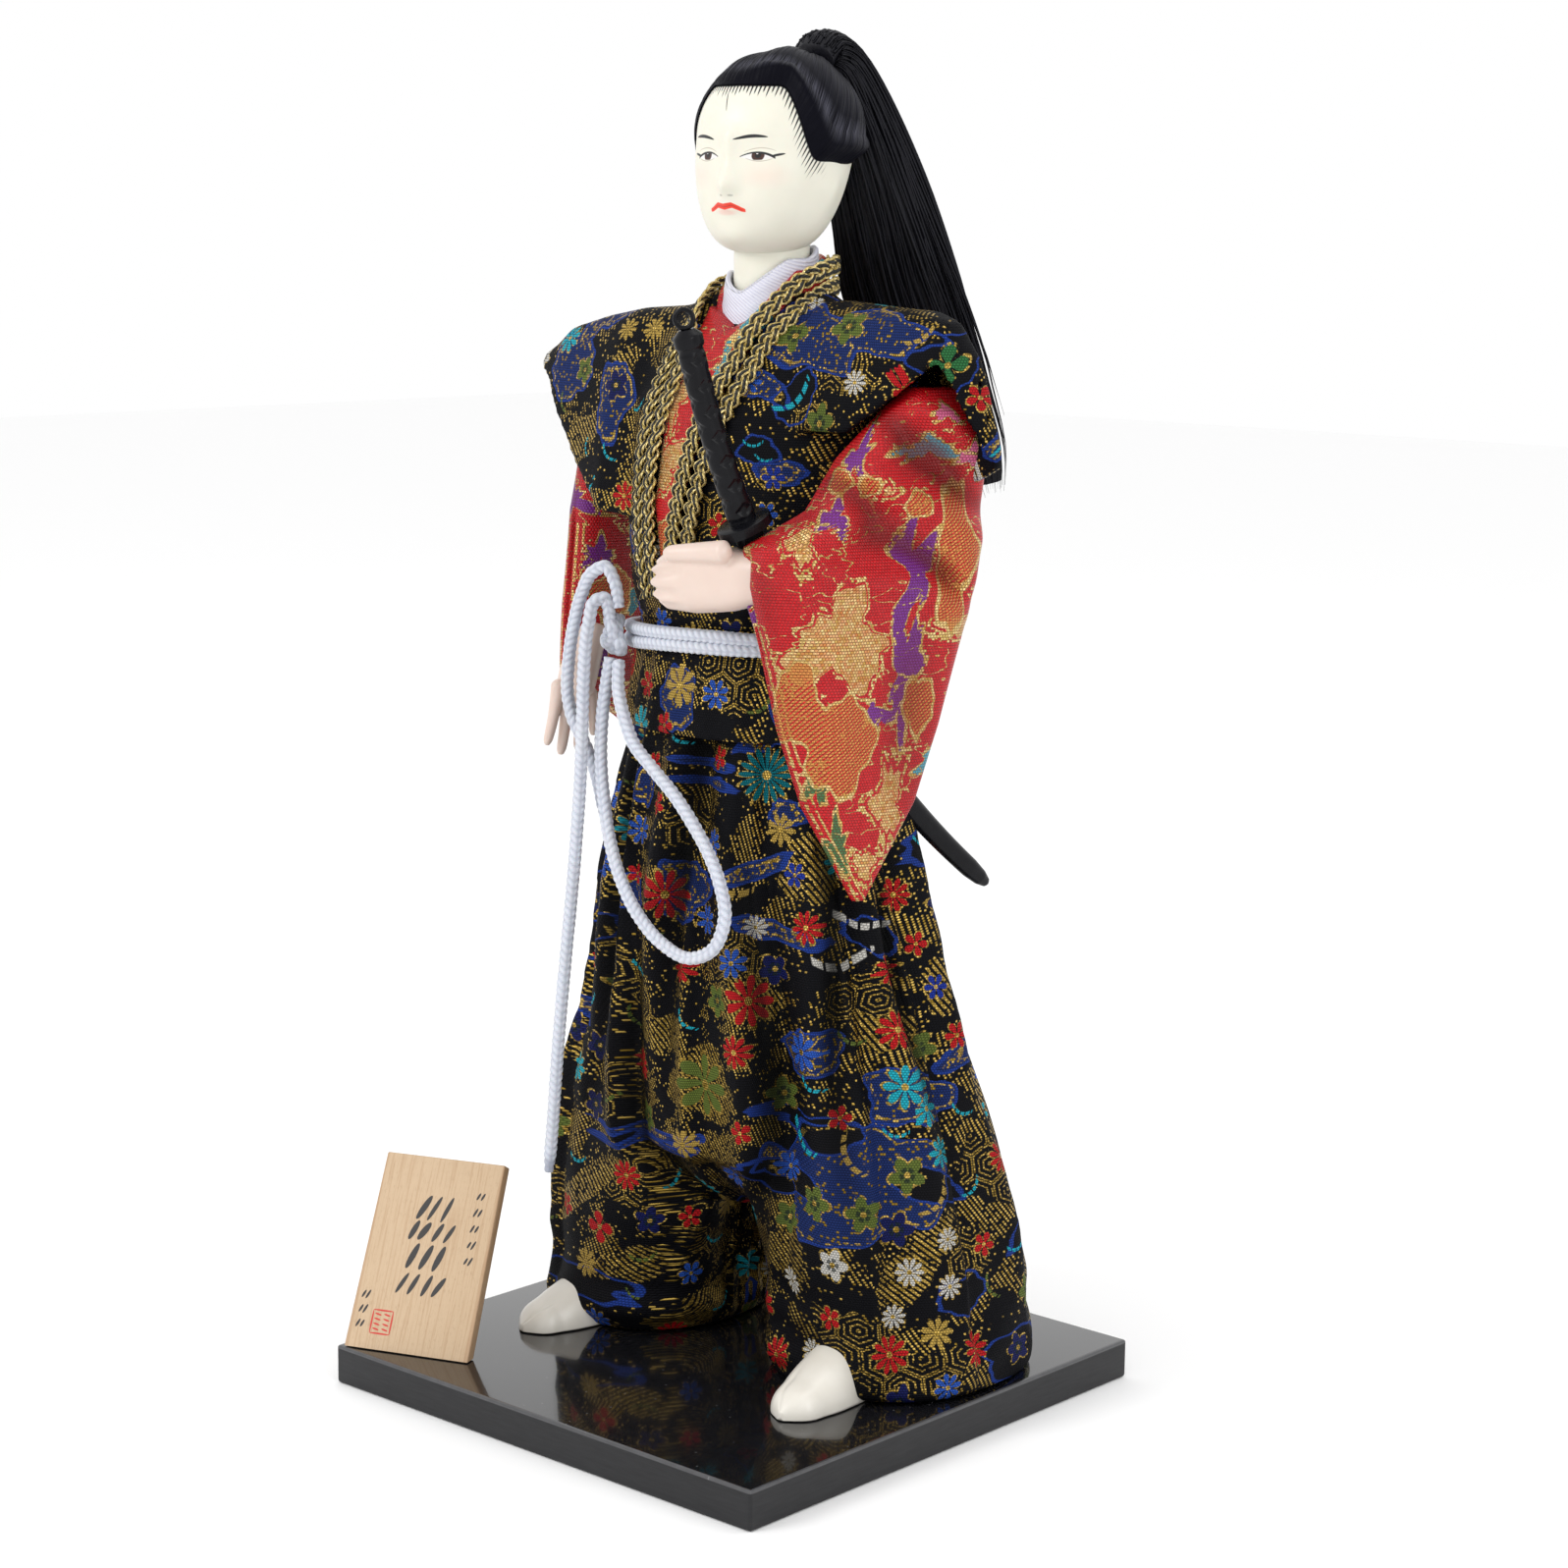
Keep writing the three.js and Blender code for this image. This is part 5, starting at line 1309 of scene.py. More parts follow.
def many_strands(name, strands):
    """All strands in one grid: each a tube of three sides, closed by a point at either end."""
    strips = []
    for rings in strands:
        closed = np.concatenate([ring_middle(rings[:1]), rings, ring_middle(rings[-1:])])
        strips.append(np.concatenate([closed, closed[:, :1]], 1))
    piece, row, column = grid(name, sum(len(strip) for strip in strips), strips[0].shape[1])
    write_points(piece.data, np.concatenate(strips)[row, column])
    starts = np.cumsum([len(strip) for strip in strips])[:-1]
    others = np.array([[row[v] for v in face.vertices] for face in piece.data.polygons])
    between = np.isin(others.max(1), starts) & (others.min(1) == others.max(1) - 1)
    piece.data.polygons.foreach_set("select", between)
    activate(piece)
    bpy.ops.object.mode_set(mode="EDIT")
    bpy.ops.mesh.select_mode(type="FACE")
    bpy.ops.object.mode_set(mode="OBJECT")
    piece.data.polygons.foreach_set("select", between)
    bpy.ops.object.mode_set(mode="EDIT")
    bpy.ops.mesh.delete(type="FACE")
    bpy.ops.object.mode_set(mode="OBJECT")
    close_up(piece, 0.0015)
    return piece


STRANDS = 260
draw = np.random.default_rng(12)
loose = many_strands("loose", [tail_strand(draw) for _ in range(STRANDS)])
ponytail = joined("ponytail", [tail_core(), loose])
print("ponytail ready")

# %% [markdown]
# A brocade's picture is part of its cloth. Its patches and motifs lie where the photograph shows them, and
# seeded ones fill the rest. A helper turns them into attributes of the mesh: for every point how deep it
# lies in each kind of ground, and for every face where it lies in its nearest motif, and in what colour.

# %% Attributes for patterns
COLORS = {
    "teal": (0.0, 0.16, 0.2), "turquoise": (0.015, 0.4, 0.5), "azure": (0.025, 0.1, 0.5),
    "blue": (0.012, 0.035, 0.32), "navy": (0.008, 0.012, 0.09), "red": (0.52, 0.01, 0.014),
    "white": (0.62, 0.6, 0.55), "olive": (0.12, 0.16, 0.03), "green": (0.03, 0.16, 0.05),
    "gold": (0.5, 0.33, 0.07), "purple": (0.17, 0.02, 0.28), "pink": (0.72, 0.14, 0.3),
}


def corner_points(mesh):
    corners = np.zeros(len(mesh.loops), int)
    mesh.loops.foreach_get("vertex_index", corners)
    counts = np.zeros(len(mesh.polygons), int)
    mesh.polygons.foreach_get("loop_total", counts)
    return corners, np.repeat(np.arange(len(counts)), counts), counts


def patch_frame(points, normals, centre, turn):
    """Directions across and up the cloth at a place, turned by some degrees."""
    near = np.argpartition(np.sum((points - centre) ** 2, 1), 40)[:40]
    out = unit(normals[near].mean(0))
    up = np.array([0, 0, 1.0]) - out * out[2]
    if np.linalg.norm(up) < 0.35:
        up = np.array([0, 1.0, 0]) - out * out[1]
    up = unit(up)
    across = np.cross(up, out)
    c, s = math.cos(math.radians(turn)), math.sin(math.radians(turn))
    return across * c + up * s, up * c - across * s, out


def cloth_attribute(piece, axis_y):
    """Distance round the body and height, in millimetres, with no jump inside a face."""
    points = read_points(piece.data)
    corners, faces, counts = corner_points(piece.data)
    y0 = np.interp(points[:, 2], axis_y[0], axis_y[1])
    angle = np.arctan2(points[:, 0] - BODY[0], -(points[:, 1] - y0))
    radius = np.interp(points[:, 2], axis_y[0], axis_y[2])
    first = corners[np.concatenate([[0], np.cumsum(counts)[:-1]])][faces]
    here = angle[corners]
    here = here + 2 * math.pi * np.rint((angle[first] - here) / (2 * math.pi))
    across = here * radius[corners]
    write_vector(piece, "cloth", np.stack([across, points[corners, 2], 0 * across], 1), "CORNER")


def ground_depth(points, normals, blobs, seed, lobed=0.1):
    """How deep each point lies inside the nearest of some patches of ground, in millimetres."""
    depth = np.full(len(points), -9.0)
    draw = np.random.default_rng(seed)
    wobble = ripple(points[:, 0] + 0.6 * points[:, 1], points[:, 2], seed, 2.6)
    for _, x, y, z, wide, tall, turn in blobs:
        across, up, out = patch_frame(points, normals, np.array([x, y, z], float), turn)
        away = points - (x, y, z)
        right, rise = away @ across / wide, away @ up / tall
        turn_round = np.arctan2(rise, right)
        shift = draw.uniform(0, 2 * math.pi, 3)
        edge = 1 + lobed * (np.sin(3 * turn_round + shift[0]) + 0.8 * np.sin(5 * turn_round + shift[1]))
        edge = edge + 0.45 * lobed * np.sin(11 * turn_round + shift[2])
        reach = np.hypot(right, rise) / edge
        inside = (1 - reach) * min(wide, tall) * 0.9 - np.maximum(np.abs(away @ out) - 9, 0)
        depth = np.maximum(depth, inside + 0.9 * wobble * min(1, min(wide, tall) / 5))
    return depth


def motif_attributes(piece, points, normals, motifs):
    """Where each face lies in its nearest motif: across, up and the number of petals, and its colour."""
    corners, faces, counts = corner_points(piece.data)
    starts = np.concatenate([[0], np.cumsum(counts)[:-1]])
    middles = np.add.reduceat(points[corners], starts) / counts[:, None]
    best = np.full(len(counts), 1.7)
    owner = np.full(len(counts), -1)
    for i, (_, _, x, y, z, radius, _) in enumerate(motifs):
        score = np.linalg.norm(middles - (x, y, z), axis=1) / radius
        owner = np.where(score < best, i, owner)
        best = np.minimum(score, best)
    place = np.zeros((len(corners), 3))
    place[:, 0] = 5.0
    paint = np.zeros((len(corners), 3))
    corner_owner = owner[faces]
    for i, (color, petals, x, y, z, radius, turn) in enumerate(motifs):
        mine = corner_owner == i
        across, up, _ = patch_frame(points, normals, np.array([x, y, z], float), turn)
        away = (points[corners[mine]] - (x, y, z)) / radius
        place[mine] = np.stack([away @ across, away @ up, np.full(mine.sum(), float(petals))], 1)
        paint[mine] = COLORS[color]
    write_vector(piece, "motif", place, "CORNER")
    write_vector(piece, "paint", paint, "CORNER")


def scattered(points, taken, count, spacing, seed):
    """Seeded places on the cloth that keep their distance from each other and from those taken."""
    draw = np.random.default_rng(seed)
    taken = [np.array(place, float) for place in taken]
    found = []
    for i in draw.integers(0, len(points), count):
        if min(np.linalg.norm(points[i] - place) for place in taken) > spacing:
            taken.append(points[i])
            found.append(points[i])
    return found


# %% From the photograph to the cloth
# A pick is a pixel of the photograph, across and down, with sizes in pixels too. The place
# is where the camera's ray through that pixel meets the garment's solid. A millimetre is as fine as the
# picks are.
PHOTO_SIDE = 1597
PHOTO_SCALE = 4.5


def photo_place(node, pick):
    camera = bpy.context.scene.camera
    focal = CAMERA["lens"] / camera.data.sensor_width * PHOTO_SIDE
    sight = Vector((pick["across"] - PHOTO_SIDE / 2, PHOTO_SIDE / 2 - pick["down"], -focal))
    direction = (camera.matrix_world.to_3x3() @ sight).normalized()
    depsgraph = bpy.context.evaluated_depsgraph_get()
    found, place, _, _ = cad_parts[node].ray_cast(camera.location, direction, depsgraph=depsgraph)
    assert found, f"the photograph shows no {node} at {pick}"
    return [round(value / MM) for value in place]


def on_doll(pixels):
    return round(pixels / PHOTO_SCALE, 1)


def picked_patches(node, picks):
    return [
        (pick["kind"], *photo_place(node, pick), on_doll(pick["wide"]), on_doll(pick["tall"]), pick["turn"])
        for pick in picks
    ]


def picked_motifs(node, picks):
    return [
        (pick["color"], pick["petals"], *photo_place(node, pick), on_doll(pick["radius"]), pick["turn"])
        for pick in picks
    ]


# %% Places of the dark brocade's pattern
# A ground patch is (kind, x, y, z, half width, half height, turn), and a motif is (colour, petals, x, y,
# z, radius, turn), in millimetres. Fewer than no petals means rounded ones that meet, and two means a pair
# of leaves. The hakama's rows are the output of another program: its picks were made by eye on the
# photograph, and that program cast them onto an earlier form of the solid.
HAKAMA_GROUND = [
    ("blue", 7, -17, 148, 7.1, 1.1, 0),
    ("blue", 8, -18, 144, 7.1, 1.1, 0),
    ("blue", 26, -13, 139, 4.4, 3.1, 0),
    ("blue", -12, -17, 141, 3.1, 4.9, 0),
    ("blue", 21, -20, 126, 9.8, 2.0, 22),
    ("blue", 26, -16, 113, 11.6, 2.0, -10),
    ("blue", -8, -22, 61, 18.2, 1.1, 0),
    ("blue", -9, -22, 57, 17.8, 0.9, -3),
    ("blue", 48, -14, 59, 24.9, 12.9, 4),
    ("blue", 34, -16, 87, 7.1, 5.3, 0),
    ("blue", 3, -23, 120, 5.8, 6.7, 0),
    ("blue", 55, 0, 78, 10.2, 6.7, -10),
    ("blue", -16, -19, 117, 4.9, 4.0, 0),
    ("gold", 34, -12, 128, 6.2, 8.0, 0),
    ("gold", 9, -22, 76, 10.2, 8.4, 0),
    ("gold", -3, -25, 86, 6.7, 4.4, 0),
    ("gold", 27, -14, 39, 7.6, 6.2, 0),
    ("gold", 58, -3, 41, 4.9, 12.9, -38),
    ("gold", -13, -18, 132, 4.4, 3.1, 0),
    ("gold", 51, 13, 100, 4.4, 5.8, 0),
    ("gold", 47, -4, 92, 6.7, 4.0, 0),
    ("gold", 23, -22, 98, 8.0, 4.9, 0),
    ("kikko", 16, -22, 107, 7.6, 6.7, 0),
    ("kikko", 44, -7, 99, 8.4, 6.7, 0),
    ("kikko", -20, -20, 70, 6.7, 7.6, 0),
    ("kikko", -13, -13, 48, 17.3, 6.7, 0),
    ("kikko", 62, 12, 41, 6.7, 5.8, 0),
    ("kikko", 57, 2, 17, 8.9, 4.9, 0),
    ("kikko", 3, -20, 134, 6.7, 5.3, 0),
    ("leaf", 37, -19, 70, 11.6, 3.8, -8),
    ("leaf", 63, 9, 33, 6.7, 4.4, 0),
    ("leaf", 42, -5, 113, 5.8, 3.1, -20),
]
HAKAMA_MOTIFS = [
    ("teal", 16, 21, -14, 147, 6.2, 0),
    ("red", 3, 19, -13, 156, 2.7, 0),
    ("blue", 6, 30, -14, 126, 2.9, 0),
    ("gold", 2, 16, -21, 122, 5.8, -10),
    ("red", 10, 0, -24, 118, 5.8, 0),
    ("red", 5, -13, -19, 121, 2.4, 0),
    ("white", 2, 41, -5, 116, 5.8, 0),
    ("white", 2, 42, -10, 108, 7.1, 10),
    ("red", 9, 25, -22, 98, 5.8, 0),
    ("red", 10, 51, -2, 93, 4.4, 0),
    ("red", 6, 54, 16, 89, 3.1, 0),
    ("blue", 6, 50, 12, 100, 2.9, 0),
    ("turquoise", 2, -12, -21, 99, 3.1, -20),
    ("olive", 8, 9, -22, 76, 7.1, 0),
    ("red", 4, -27, -16, 35, 4.0, 0),
    ("azure", 8, 33, -16, 87, 4.4, 0),
    ("turquoise", 2, 36, -16, 80, 3.3, -20),
    ("turquoise", 8, 52, -2, 80, 4.9, 0),
    ("turquoise", 8, 58, 3, 76, 4.2, 0),
    ("turquoise", 2, 31, -19, 67, 5.8, -35),
    ("olive", -5, 38, -17, 54, 4.2, 0),
    ("olive", -5, 56, -5, 61, 4.2, -20),
    ("olive", -5, 50, -13, 53, 4.0, -40),
    ("olive", -5, 27, -16, 48, 3.8, -10),
    ("navy", -5, 55, -7, 49, 4.0, 0),
    ("white", -5, 43, -14, 41, 3.8, 0),
    ("white", 10, 28, -12, 33, 3.3, 0),
    ("white", 10, -12, 24, 19, 2.4, 0),
    ("white", 10, 56, -4, 39, 3.3, 0),
    ("white", 10, 62, 4, 46, 2.7, 0),
    ("red", 10, 50, -6, 20, 4.4, 0),
    ("red", 10, 63, 11, 20, 4.2, 0),
    ("turquoise", 2, 31, -6, 12, 3.1, 0),
    ("olive", 2, -21, -11, 19, 2.4, -30),
    ("gold", 2, 47, -16, 66, 5.3, -60),
    ("gold", 2, 60, 2, 55, 4.4, 50),
    ("gold", 12, -6, 4, 41, 4.0, 0),
    ("olive", 2, -14, -21, 87, 3.1, -60),
    ("azure", 6, -13, -3, 25, 3.1, 0),
]
VEST_PATCHES = table(
    "kind across down wide tall turn",
    ("blue", 825, 342, 66, 34, -16), ("blue", 622, 407, 24, 39, 0), ("blue", 1008, 466, 15, 10, 0),
    ("blue", 690, 712, 26, 32, 0), ("blue", 766, 392, 24, 12, 0), ("blue", 793, 484, 26, 10, 0),
    ("leaf", 965, 370, 32, 26, 0), ("leaf", 812, 405, 30, 20, 40), ("leaf", 770, 458, 20, 14, 0),
    ("kikko", 869, 386, 30, 18, 0), ("kikko", 819, 431, 22, 16, 0), ("kikko", 742, 690, 36, 34, 0),
    ("kikko", 900, 420, 26, 20, 0), ("gold", 637, 369, 16, 14, 0), ("gold", 787, 484, 18, 12, 0),
    ("gold", 650, 680, 14, 16, 0), ("gold", 640, 505, 16, 24, 0),
)
# Patches on the shoulders, set in millimetres.
VEST_SHOULDERS = [
    ("blue", 44, -4, 243, 12, 5.5, -8),
    ("blue", 15, -14, 233, 8, 3, -25),
    ("blue", -50, -5, 233, 8.8, 7.6, 0),
]
VEST_PICKS = table(
    "color petals across down radius turn",
    ("olive", -5, 811, 344, 20, 0), ("olive", -5, 865, 334, 20, -20), ("white", 6, 834, 309, 11, 0),
    ("turquoise", 2, 812, 405, 24, 45), ("turquoise", 2, 768, 452, 11, 0),
    ("turquoise", 2, 777, 466, 10, -20), ("blue", 6, 789, 486, 12, 0), ("olive", -5, 596, 375, 14, 0),
    ("olive", 2, 575, 411, 12, -60), ("white", -5, 556, 363, 12, 0), ("gold", 9, 640, 336, 12, 0),
    ("gold", 9, 669, 334, 12, 0), ("turquoise", 2, 619, 460, 12, -40),
    ("turquoise", 2, 599, 453, 10, -80), ("turquoise", 2, 653, 413, 12, 30),
    ("red", 8, 637, 503, 15, 0), ("gold", 2, 937, 342, 18, 40), ("green", 4, 965, 372, 17, 0),
    ("red", 6, 661, 697, 14, 0), ("red", 5, 678, 740, 13, 0), ("gold", 8, 695, 698, 20, 0),
    ("azure", 6, 780, 525, 12, 0), ("red", 4, 770, 560, 12, 0), ("gold", 2, 905, 320, 16, -30),
    ("turquoise", 2, 1005, 468, 12, 0), ("blue", 6, 905, 440, 12, 0),
)
# A patch's ragged outline is drawn in the order of this list.
picked = picked_patches("vest", VEST_PATCHES)
VEST_GROUND = picked[:1] + VEST_SHOULDERS[:2] + picked[1:2] + VEST_SHOULDERS[2:] + picked[2:]
VEST_MOTIFS = picked_motifs("vest", VEST_PICKS)
KINDS = ("blue", "gold", "kikko")
FILL = [
    ("red", 10, 3.8), ("turquoise", 8, 3.6), ("olive", -5, 3.8), ("azure", 8, 3.4), ("white", 10, 2.8),
    ("gold", 9, 3.4), ("olive", 2, 3.4), ("navy", -5, 3.6), ("turquoise", 2, 3.0), ("red", 5, 2.8),
]


def dark_pattern(piece, ground, motifs, seed):
    points, normals = read_points(piece.data), read_normals(piece.data)
    draw = np.random.default_rng(seed)
    extra_ground = []
    for place in scattered(points, [patch[1:4] for patch in ground], 2500, 17.0, seed):
        kind = ("blue", "gold", "kikko", "leaf")[draw.integers(0, 4)]
        wide, tall = draw.uniform(8, 16), draw.uniform(3, 7)
        extra_ground.append((kind, *place, wide, tall, draw.uniform(-40, 40)))
    extra_motifs = []
    for place in scattered(points, [motif[2:5] for motif in motifs], 2500, 9.5, seed + 1):
        color, petals, radius = FILL[draw.integers(0, len(FILL))]
        extra_motifs.append((color, petals, *place, radius, draw.uniform(-60, 60)))
    ground = ground + extra_ground
    fields = []
    for i, kind in enumerate(KINDS):
        blobs = [patch for patch in ground if patch[0] == kind]
        fields.append(ground_depth(points, normals, blobs, seed + 10 + i))
    write_vector(piece, "ground", np.stack(fields, 1))
    leaves = [patch for patch in ground if patch[0] == "leaf"]
    write_vector(piece, "leaf", ground_depth(points, normals, leaves, seed + 20))
    motif_attributes(piece, points, normals, motifs + extra_motifs)
    print(piece.name, len(ground), "patches and", len(motifs + extra_motifs), "motifs")


dark_pattern(hakama, HAKAMA_GROUND, HAKAMA_MOTIFS, 200)
dark_pattern(vest, VEST_GROUND, VEST_MOTIFS, 240)
# Levels of the hakama, where its middle lies there, and the radius that gives its cloth coordinate.
cloth_attribute(hakama, (
    [20, 57, 85, 110, 135, 152, 159],
    [14, 11, 9, 7, 6, 6, 6],
    [50, 50, 47, 40, 34, 29, 27],
))

# %% Places of the red brocade's pattern
SLEEVE_PATCHES = table(
    "kind across down wide tall turn",
    ("turquoise", 950, 460, 26, 10, 0), ("pink", 962, 422, 12, 9, 0), ("pink", 988, 462, 11, 9, 0),
    ("purple", 873, 467, 11, 26, 0), ("purple", 852, 530, 13, 16, 0), ("purple", 930, 575, 18, 36, 0),
    ("purple", 926, 685, 15, 50, 0), ("copper", 857, 490, 13, 12, 0), ("copper", 886, 497, 12, 11, 0),
    ("copper", 933, 513, 13, 12, 0), ("copper", 972, 565, 20, 66, 0), ("copper", 936, 722, 16, 32, 0),
    ("pale", 817, 560, 16, 32, 0), ("pale", 855, 655, 50, 48, 0), ("copper", 815, 722, 24, 40, 0),
    ("copper", 853, 760, 34, 50, 0), ("pale", 903, 822, 22, 52, 0), ("pale", 881, 880, 13, 20, 0),
    ("green", 851, 865, 11, 26, 0), ("pale", 905, 500, 14, 10, 0), ("green", 830, 800, 10, 14, 0),
)
SLEEVE_GROUND = picked_patches("sleeve_left", SLEEVE_PATCHES)
TINTS = ("turquoise", "purple", "green", "pink")


def red_pattern(piece, ground, seed):
    points, normals = read_points(piece.data), read_normals(piece.data)
    draw = np.random.default_rng(seed)
    extra = []
    taken = [patch[1:4] for patch in ground] or [(0.0, 0.0, 0.0)]
    for place in scattered(points, taken, 1500, 13.0, seed):
        kind = ("pale", "copper", "purple", "turquoise", "pale")[draw.integers(0, 5)]
        size = 1.0 if kind in ("pale", "copper") else 0.5
        wide, tall = draw.uniform(4, 8) * size, draw.uniform(5, 10) * size
        extra.append((kind, *place, wide, tall, draw.uniform(-40, 40)))
    ground = ground + extra
    pale = ground_depth(points, normals, [p for p in ground if p[0] == "pale"], seed + 2, 0.24)
    copper = ground_depth(points, normals, [p for p in ground if p[0] == "copper"], seed + 3, 0.1)
    tinted = np.full(len(points), -9.0)
    paint = np.zeros((len(points), 3))
    for tint in TINTS:
        blobs = [p for p in ground if p[0] == tint]
        if blobs:
            depth = ground_depth(points, normals, blobs, seed + 4, 0.34)
            paint[depth > tinted] = COLORS[tint]
            tinted = np.maximum(tinted, depth)
    write_vector(piece, "ground", np.stack([pale, copper, tinted], 1))
    write_vector(piece, "paint", paint)


def flat_cloth(piece, edge=None):
    """Cloth laid flat against each side of a piece. The third number is the distance from a finished edge."""
    points = read_points(piece.data)
    corners, faces, counts = corner_points(piece.data)
    facing = np.zeros(3 * len(counts), np.float32)
    piece.data.polygons.foreach_get("normal", facing)
    facing = np.abs(facing.reshape(-1, 3))[faces]
    x, y, z = points[corners].T
    across = np.where((facing[:, 0] > 1.2 * facing[:, 1]) & (facing[:, 2] < 0.75), y, x)
    up = np.where(facing[:, 2] < 0.75, z, y)
    far = np.full(len(x), 50.0) if edge is None else edge(points)[corners]
    write_vector(piece, "cloth", np.stack([across, up, far], 1), "CORNER")


def opening_edge(rows, top):
    """Distance from the front edge of a sleeve, below the hand."""
    def distance(points):
        x, y = (linear(rows, key, points[:, 2]) for key in ("fx", "fy"))
        return np.hypot(points[:, 0] - x, points[:, 1] - y) + 50 * ease(top - 3, top, points[:, 2])
    return distance


red_pattern(sleeves["sleeve_left"], SLEEVE_GROUND, 300)
red_pattern(sleeves["sleeve_right"], [], 320)
red_pattern(kimono_collar, [], 345)
flat_cloth(sleeves["sleeve_left"], opening_edge(SLEEVES["sleeve_left"], 186))
flat_cloth(sleeves["sleeve_right"], opening_edge(SLEEVES["sleeve_right"], 200))
flat_cloth(kimono_collar)
flat_cloth(vest)
# The hakama's fold depths, which the dark brocade paints as shade.
write_vector(hakama, "painted_hollow_shade", np.stack([hollow_shade, hollow_shade, hollow_shade], 1))

# %% Places on the face and below the hair's edge
def comb_place(points):
    """Azimuth round the tie and angle away from it, for places on the head."""
    toward = unit(points / SKULL_SIZE)
    pole, first, second = tie_frame()
    away = np.arccos(np.clip(toward @ pole, -1, 1))
    return np.arctan2(toward @ second, toward @ first) % (2 * math.pi), away


local = off_neck(read_points(head.data))
azimuth, away = comb_place(local)
edge = np.interp(azimuth, *hair_edge(COLUMNS), period=2 * math.pi)
write_vector(head, "face", local)
write_vector(head, "hairline", np.stack([(away - edge) * 18, azimuth * 16, 0 * away], 1))
print("patterns ready")

# %% [markdown]
# Every finish below is procedural. A small class stands for a value in a material, so that a formula
# can be written as arithmetic, and one method adds any other node. Pieces carry what a formula needs as
# named attributes in millimetres: places on the face, on the cloth, or along a combed strand.

# %% Values in materials
class Wire:
    """One output of a node. Arithmetic on it adds the nodes that do the sum."""

    def __init__(self, finish, socket):
        self.finish = finish
        self.socket = socket

    def sum(self, operation, *values):
        return self.finish.node("ShaderNodeMath", {"operation": operation}, dict(enumerate(values)))

    def most(self, other):
        return self.sum("MAXIMUM", self, other)

    def least(self, other):
        return self.sum("MINIMUM", self, other)

    def angle(self, across):
        """The angle of the point (across, self)."""
        return self.sum("ARCTAN2", self, across)

    def above(self, limit, soft=0.02):
        """1 where the value is over the limit and 0 where it is under, with a soft border."""
        low = limit - soft
        high = limit + soft
        spread = {"interpolation_type": "SMOOTHSTEP"}
        return self.finish.node("ShaderNodeMapRange", spread, {0: self, 1: low, 2: high, 3: 0.0, 4: 1.0})

    def below(self, limit, soft=0.02):
        return 1 - self.above(limit, soft)


def add_arithmetic(name, operation):
    """Gives Wire the sum for an operator, with the wire on either side of it."""
    setattr(Wire, f"__{name}__", lambda self, other: self.sum(operation, self, other))
    setattr(Wire, f"__r{name}__", lambda self, other: self.sum(operation, other, self))


def add_function(name, operation):
    setattr(Wire, name, lambda self: self.sum(operation, self))


OPERATORS = {
    "add": "ADD", "sub": "SUBTRACT", "mul": "MULTIPLY", "truediv": "DIVIDE", "pow": "POWER",
    "mod": "FLOORED_MODULO",
}
FUNCTIONS = {"sin": "SINE", "cos": "COSINE", "sqrt": "SQRT", "floor": "FLOOR", "__abs__": "ABSOLUTE"}
for name, operation in OPERATORS.items():
    add_arithmetic(name, operation)
for name, operation in FUNCTIONS.items():
    add_function(name, operation)


class Finish:
    """A material built round one Principled shader."""

    def __init__(self, name, **uniform):
        self.material = bpy.data.materials.new(name)
        self.material.use_nodes = True
        self.tree = self.material.node_tree
        self.shader = self.tree.nodes["Principled BSDF"]
        for key, value in uniform.items():
            self.set(key.replace("_", " ").title().replace("Ior", "IOR"), value)

    def node(self, kind, settings, values, output=0):
        made_node = self.tree.nodes.new(kind)
        for key, value in settings.items():
            setattr(made_node, key, value)
        for key, value in values.items():
            self.feed(made_node.inputs[key], value)
        return Wire(self, made_node.outputs[output])

    def feed(self, socket, value):
        if isinstance(value, Wire):
            self.tree.links.new(value.socket, socket)
        elif isinstance(value, tuple) and len(value) == 3 and socket.type == "RGBA":
            socket.default_value = (*value, 1)
        else:
            socket.default_value = value

    def set(self, name, value):
        self.feed(self.shader.inputs[name], value)

    def vector(self, name):
        return self.node("ShaderNodeAttribute", {"attribute_name": name}, {}, "Vector")

    def attribute(self, name):
        """The three numbers of a named attribute."""
        return self.split(self.vector(name))

    def split(self, vector):
        parts = self.node("ShaderNodeSeparateXYZ", {}, {0: vector})
        return [Wire(self, socket) for socket in parts.socket.node.outputs]

    def point(self, x, y, z=0.0):
        return self.node("ShaderNodeCombineXYZ", {}, {0: x, 1: y, 2: z})

    def mix(self, factor, first, second):
        """The second colour over the first by a factor."""
        kind = {"data_type": "RGBA"}
        return self.node("ShaderNodeMix", kind, {0: factor, 6: first, 7: second}, 2)

    def coats(self, color, *coats):
        """Colours laid one over the other, each by its own mask."""
        for mask, coat in coats:
            color = self.mix(mask, color, coat)
        return color

    def chance(self, place):
        return self.node("ShaderNodeTexWhiteNoise", {"noise_dimensions": "3D"}, {"Vector": place}, "Value")

    def clouds(self, place, size, detail=2.0):
        return self.node("ShaderNodeTexNoise", {}, {"Vector": place, "Scale": 1 / size, "Detail": detail})

    def object_place(self):
        """Places on the piece, in millimetres."""
        place = self.node("ShaderNodeTexCoord", {}, {}, "Object")
        return self.node("ShaderNodeVectorMath", {"operation": "SCALE"}, {0: place, "Scale": 1000.0})

    def bump(self, height, strength=0.5, distance=0.1 * MM):
        values = {"Strength": strength, "Distance": distance, "Height": height}
        self.set("Normal", self.node("ShaderNodeBump", {}, values))


def length_of(x, y):
    return (x * x + y * y).sqrt()


# %% [markdown]
# The dark brocade is woven on black satin. Its thread cells are 0.55 mm, and each is one colour, as in
# a real jacquard. The ground changes between black with gold dust, blue, gold satin, hexagons and dark
# leaves with a blue edge. On it lie round flowers, five-petalled blossoms and pairs of leaves.

# %% Dark brocade
WEAVE = 0.55


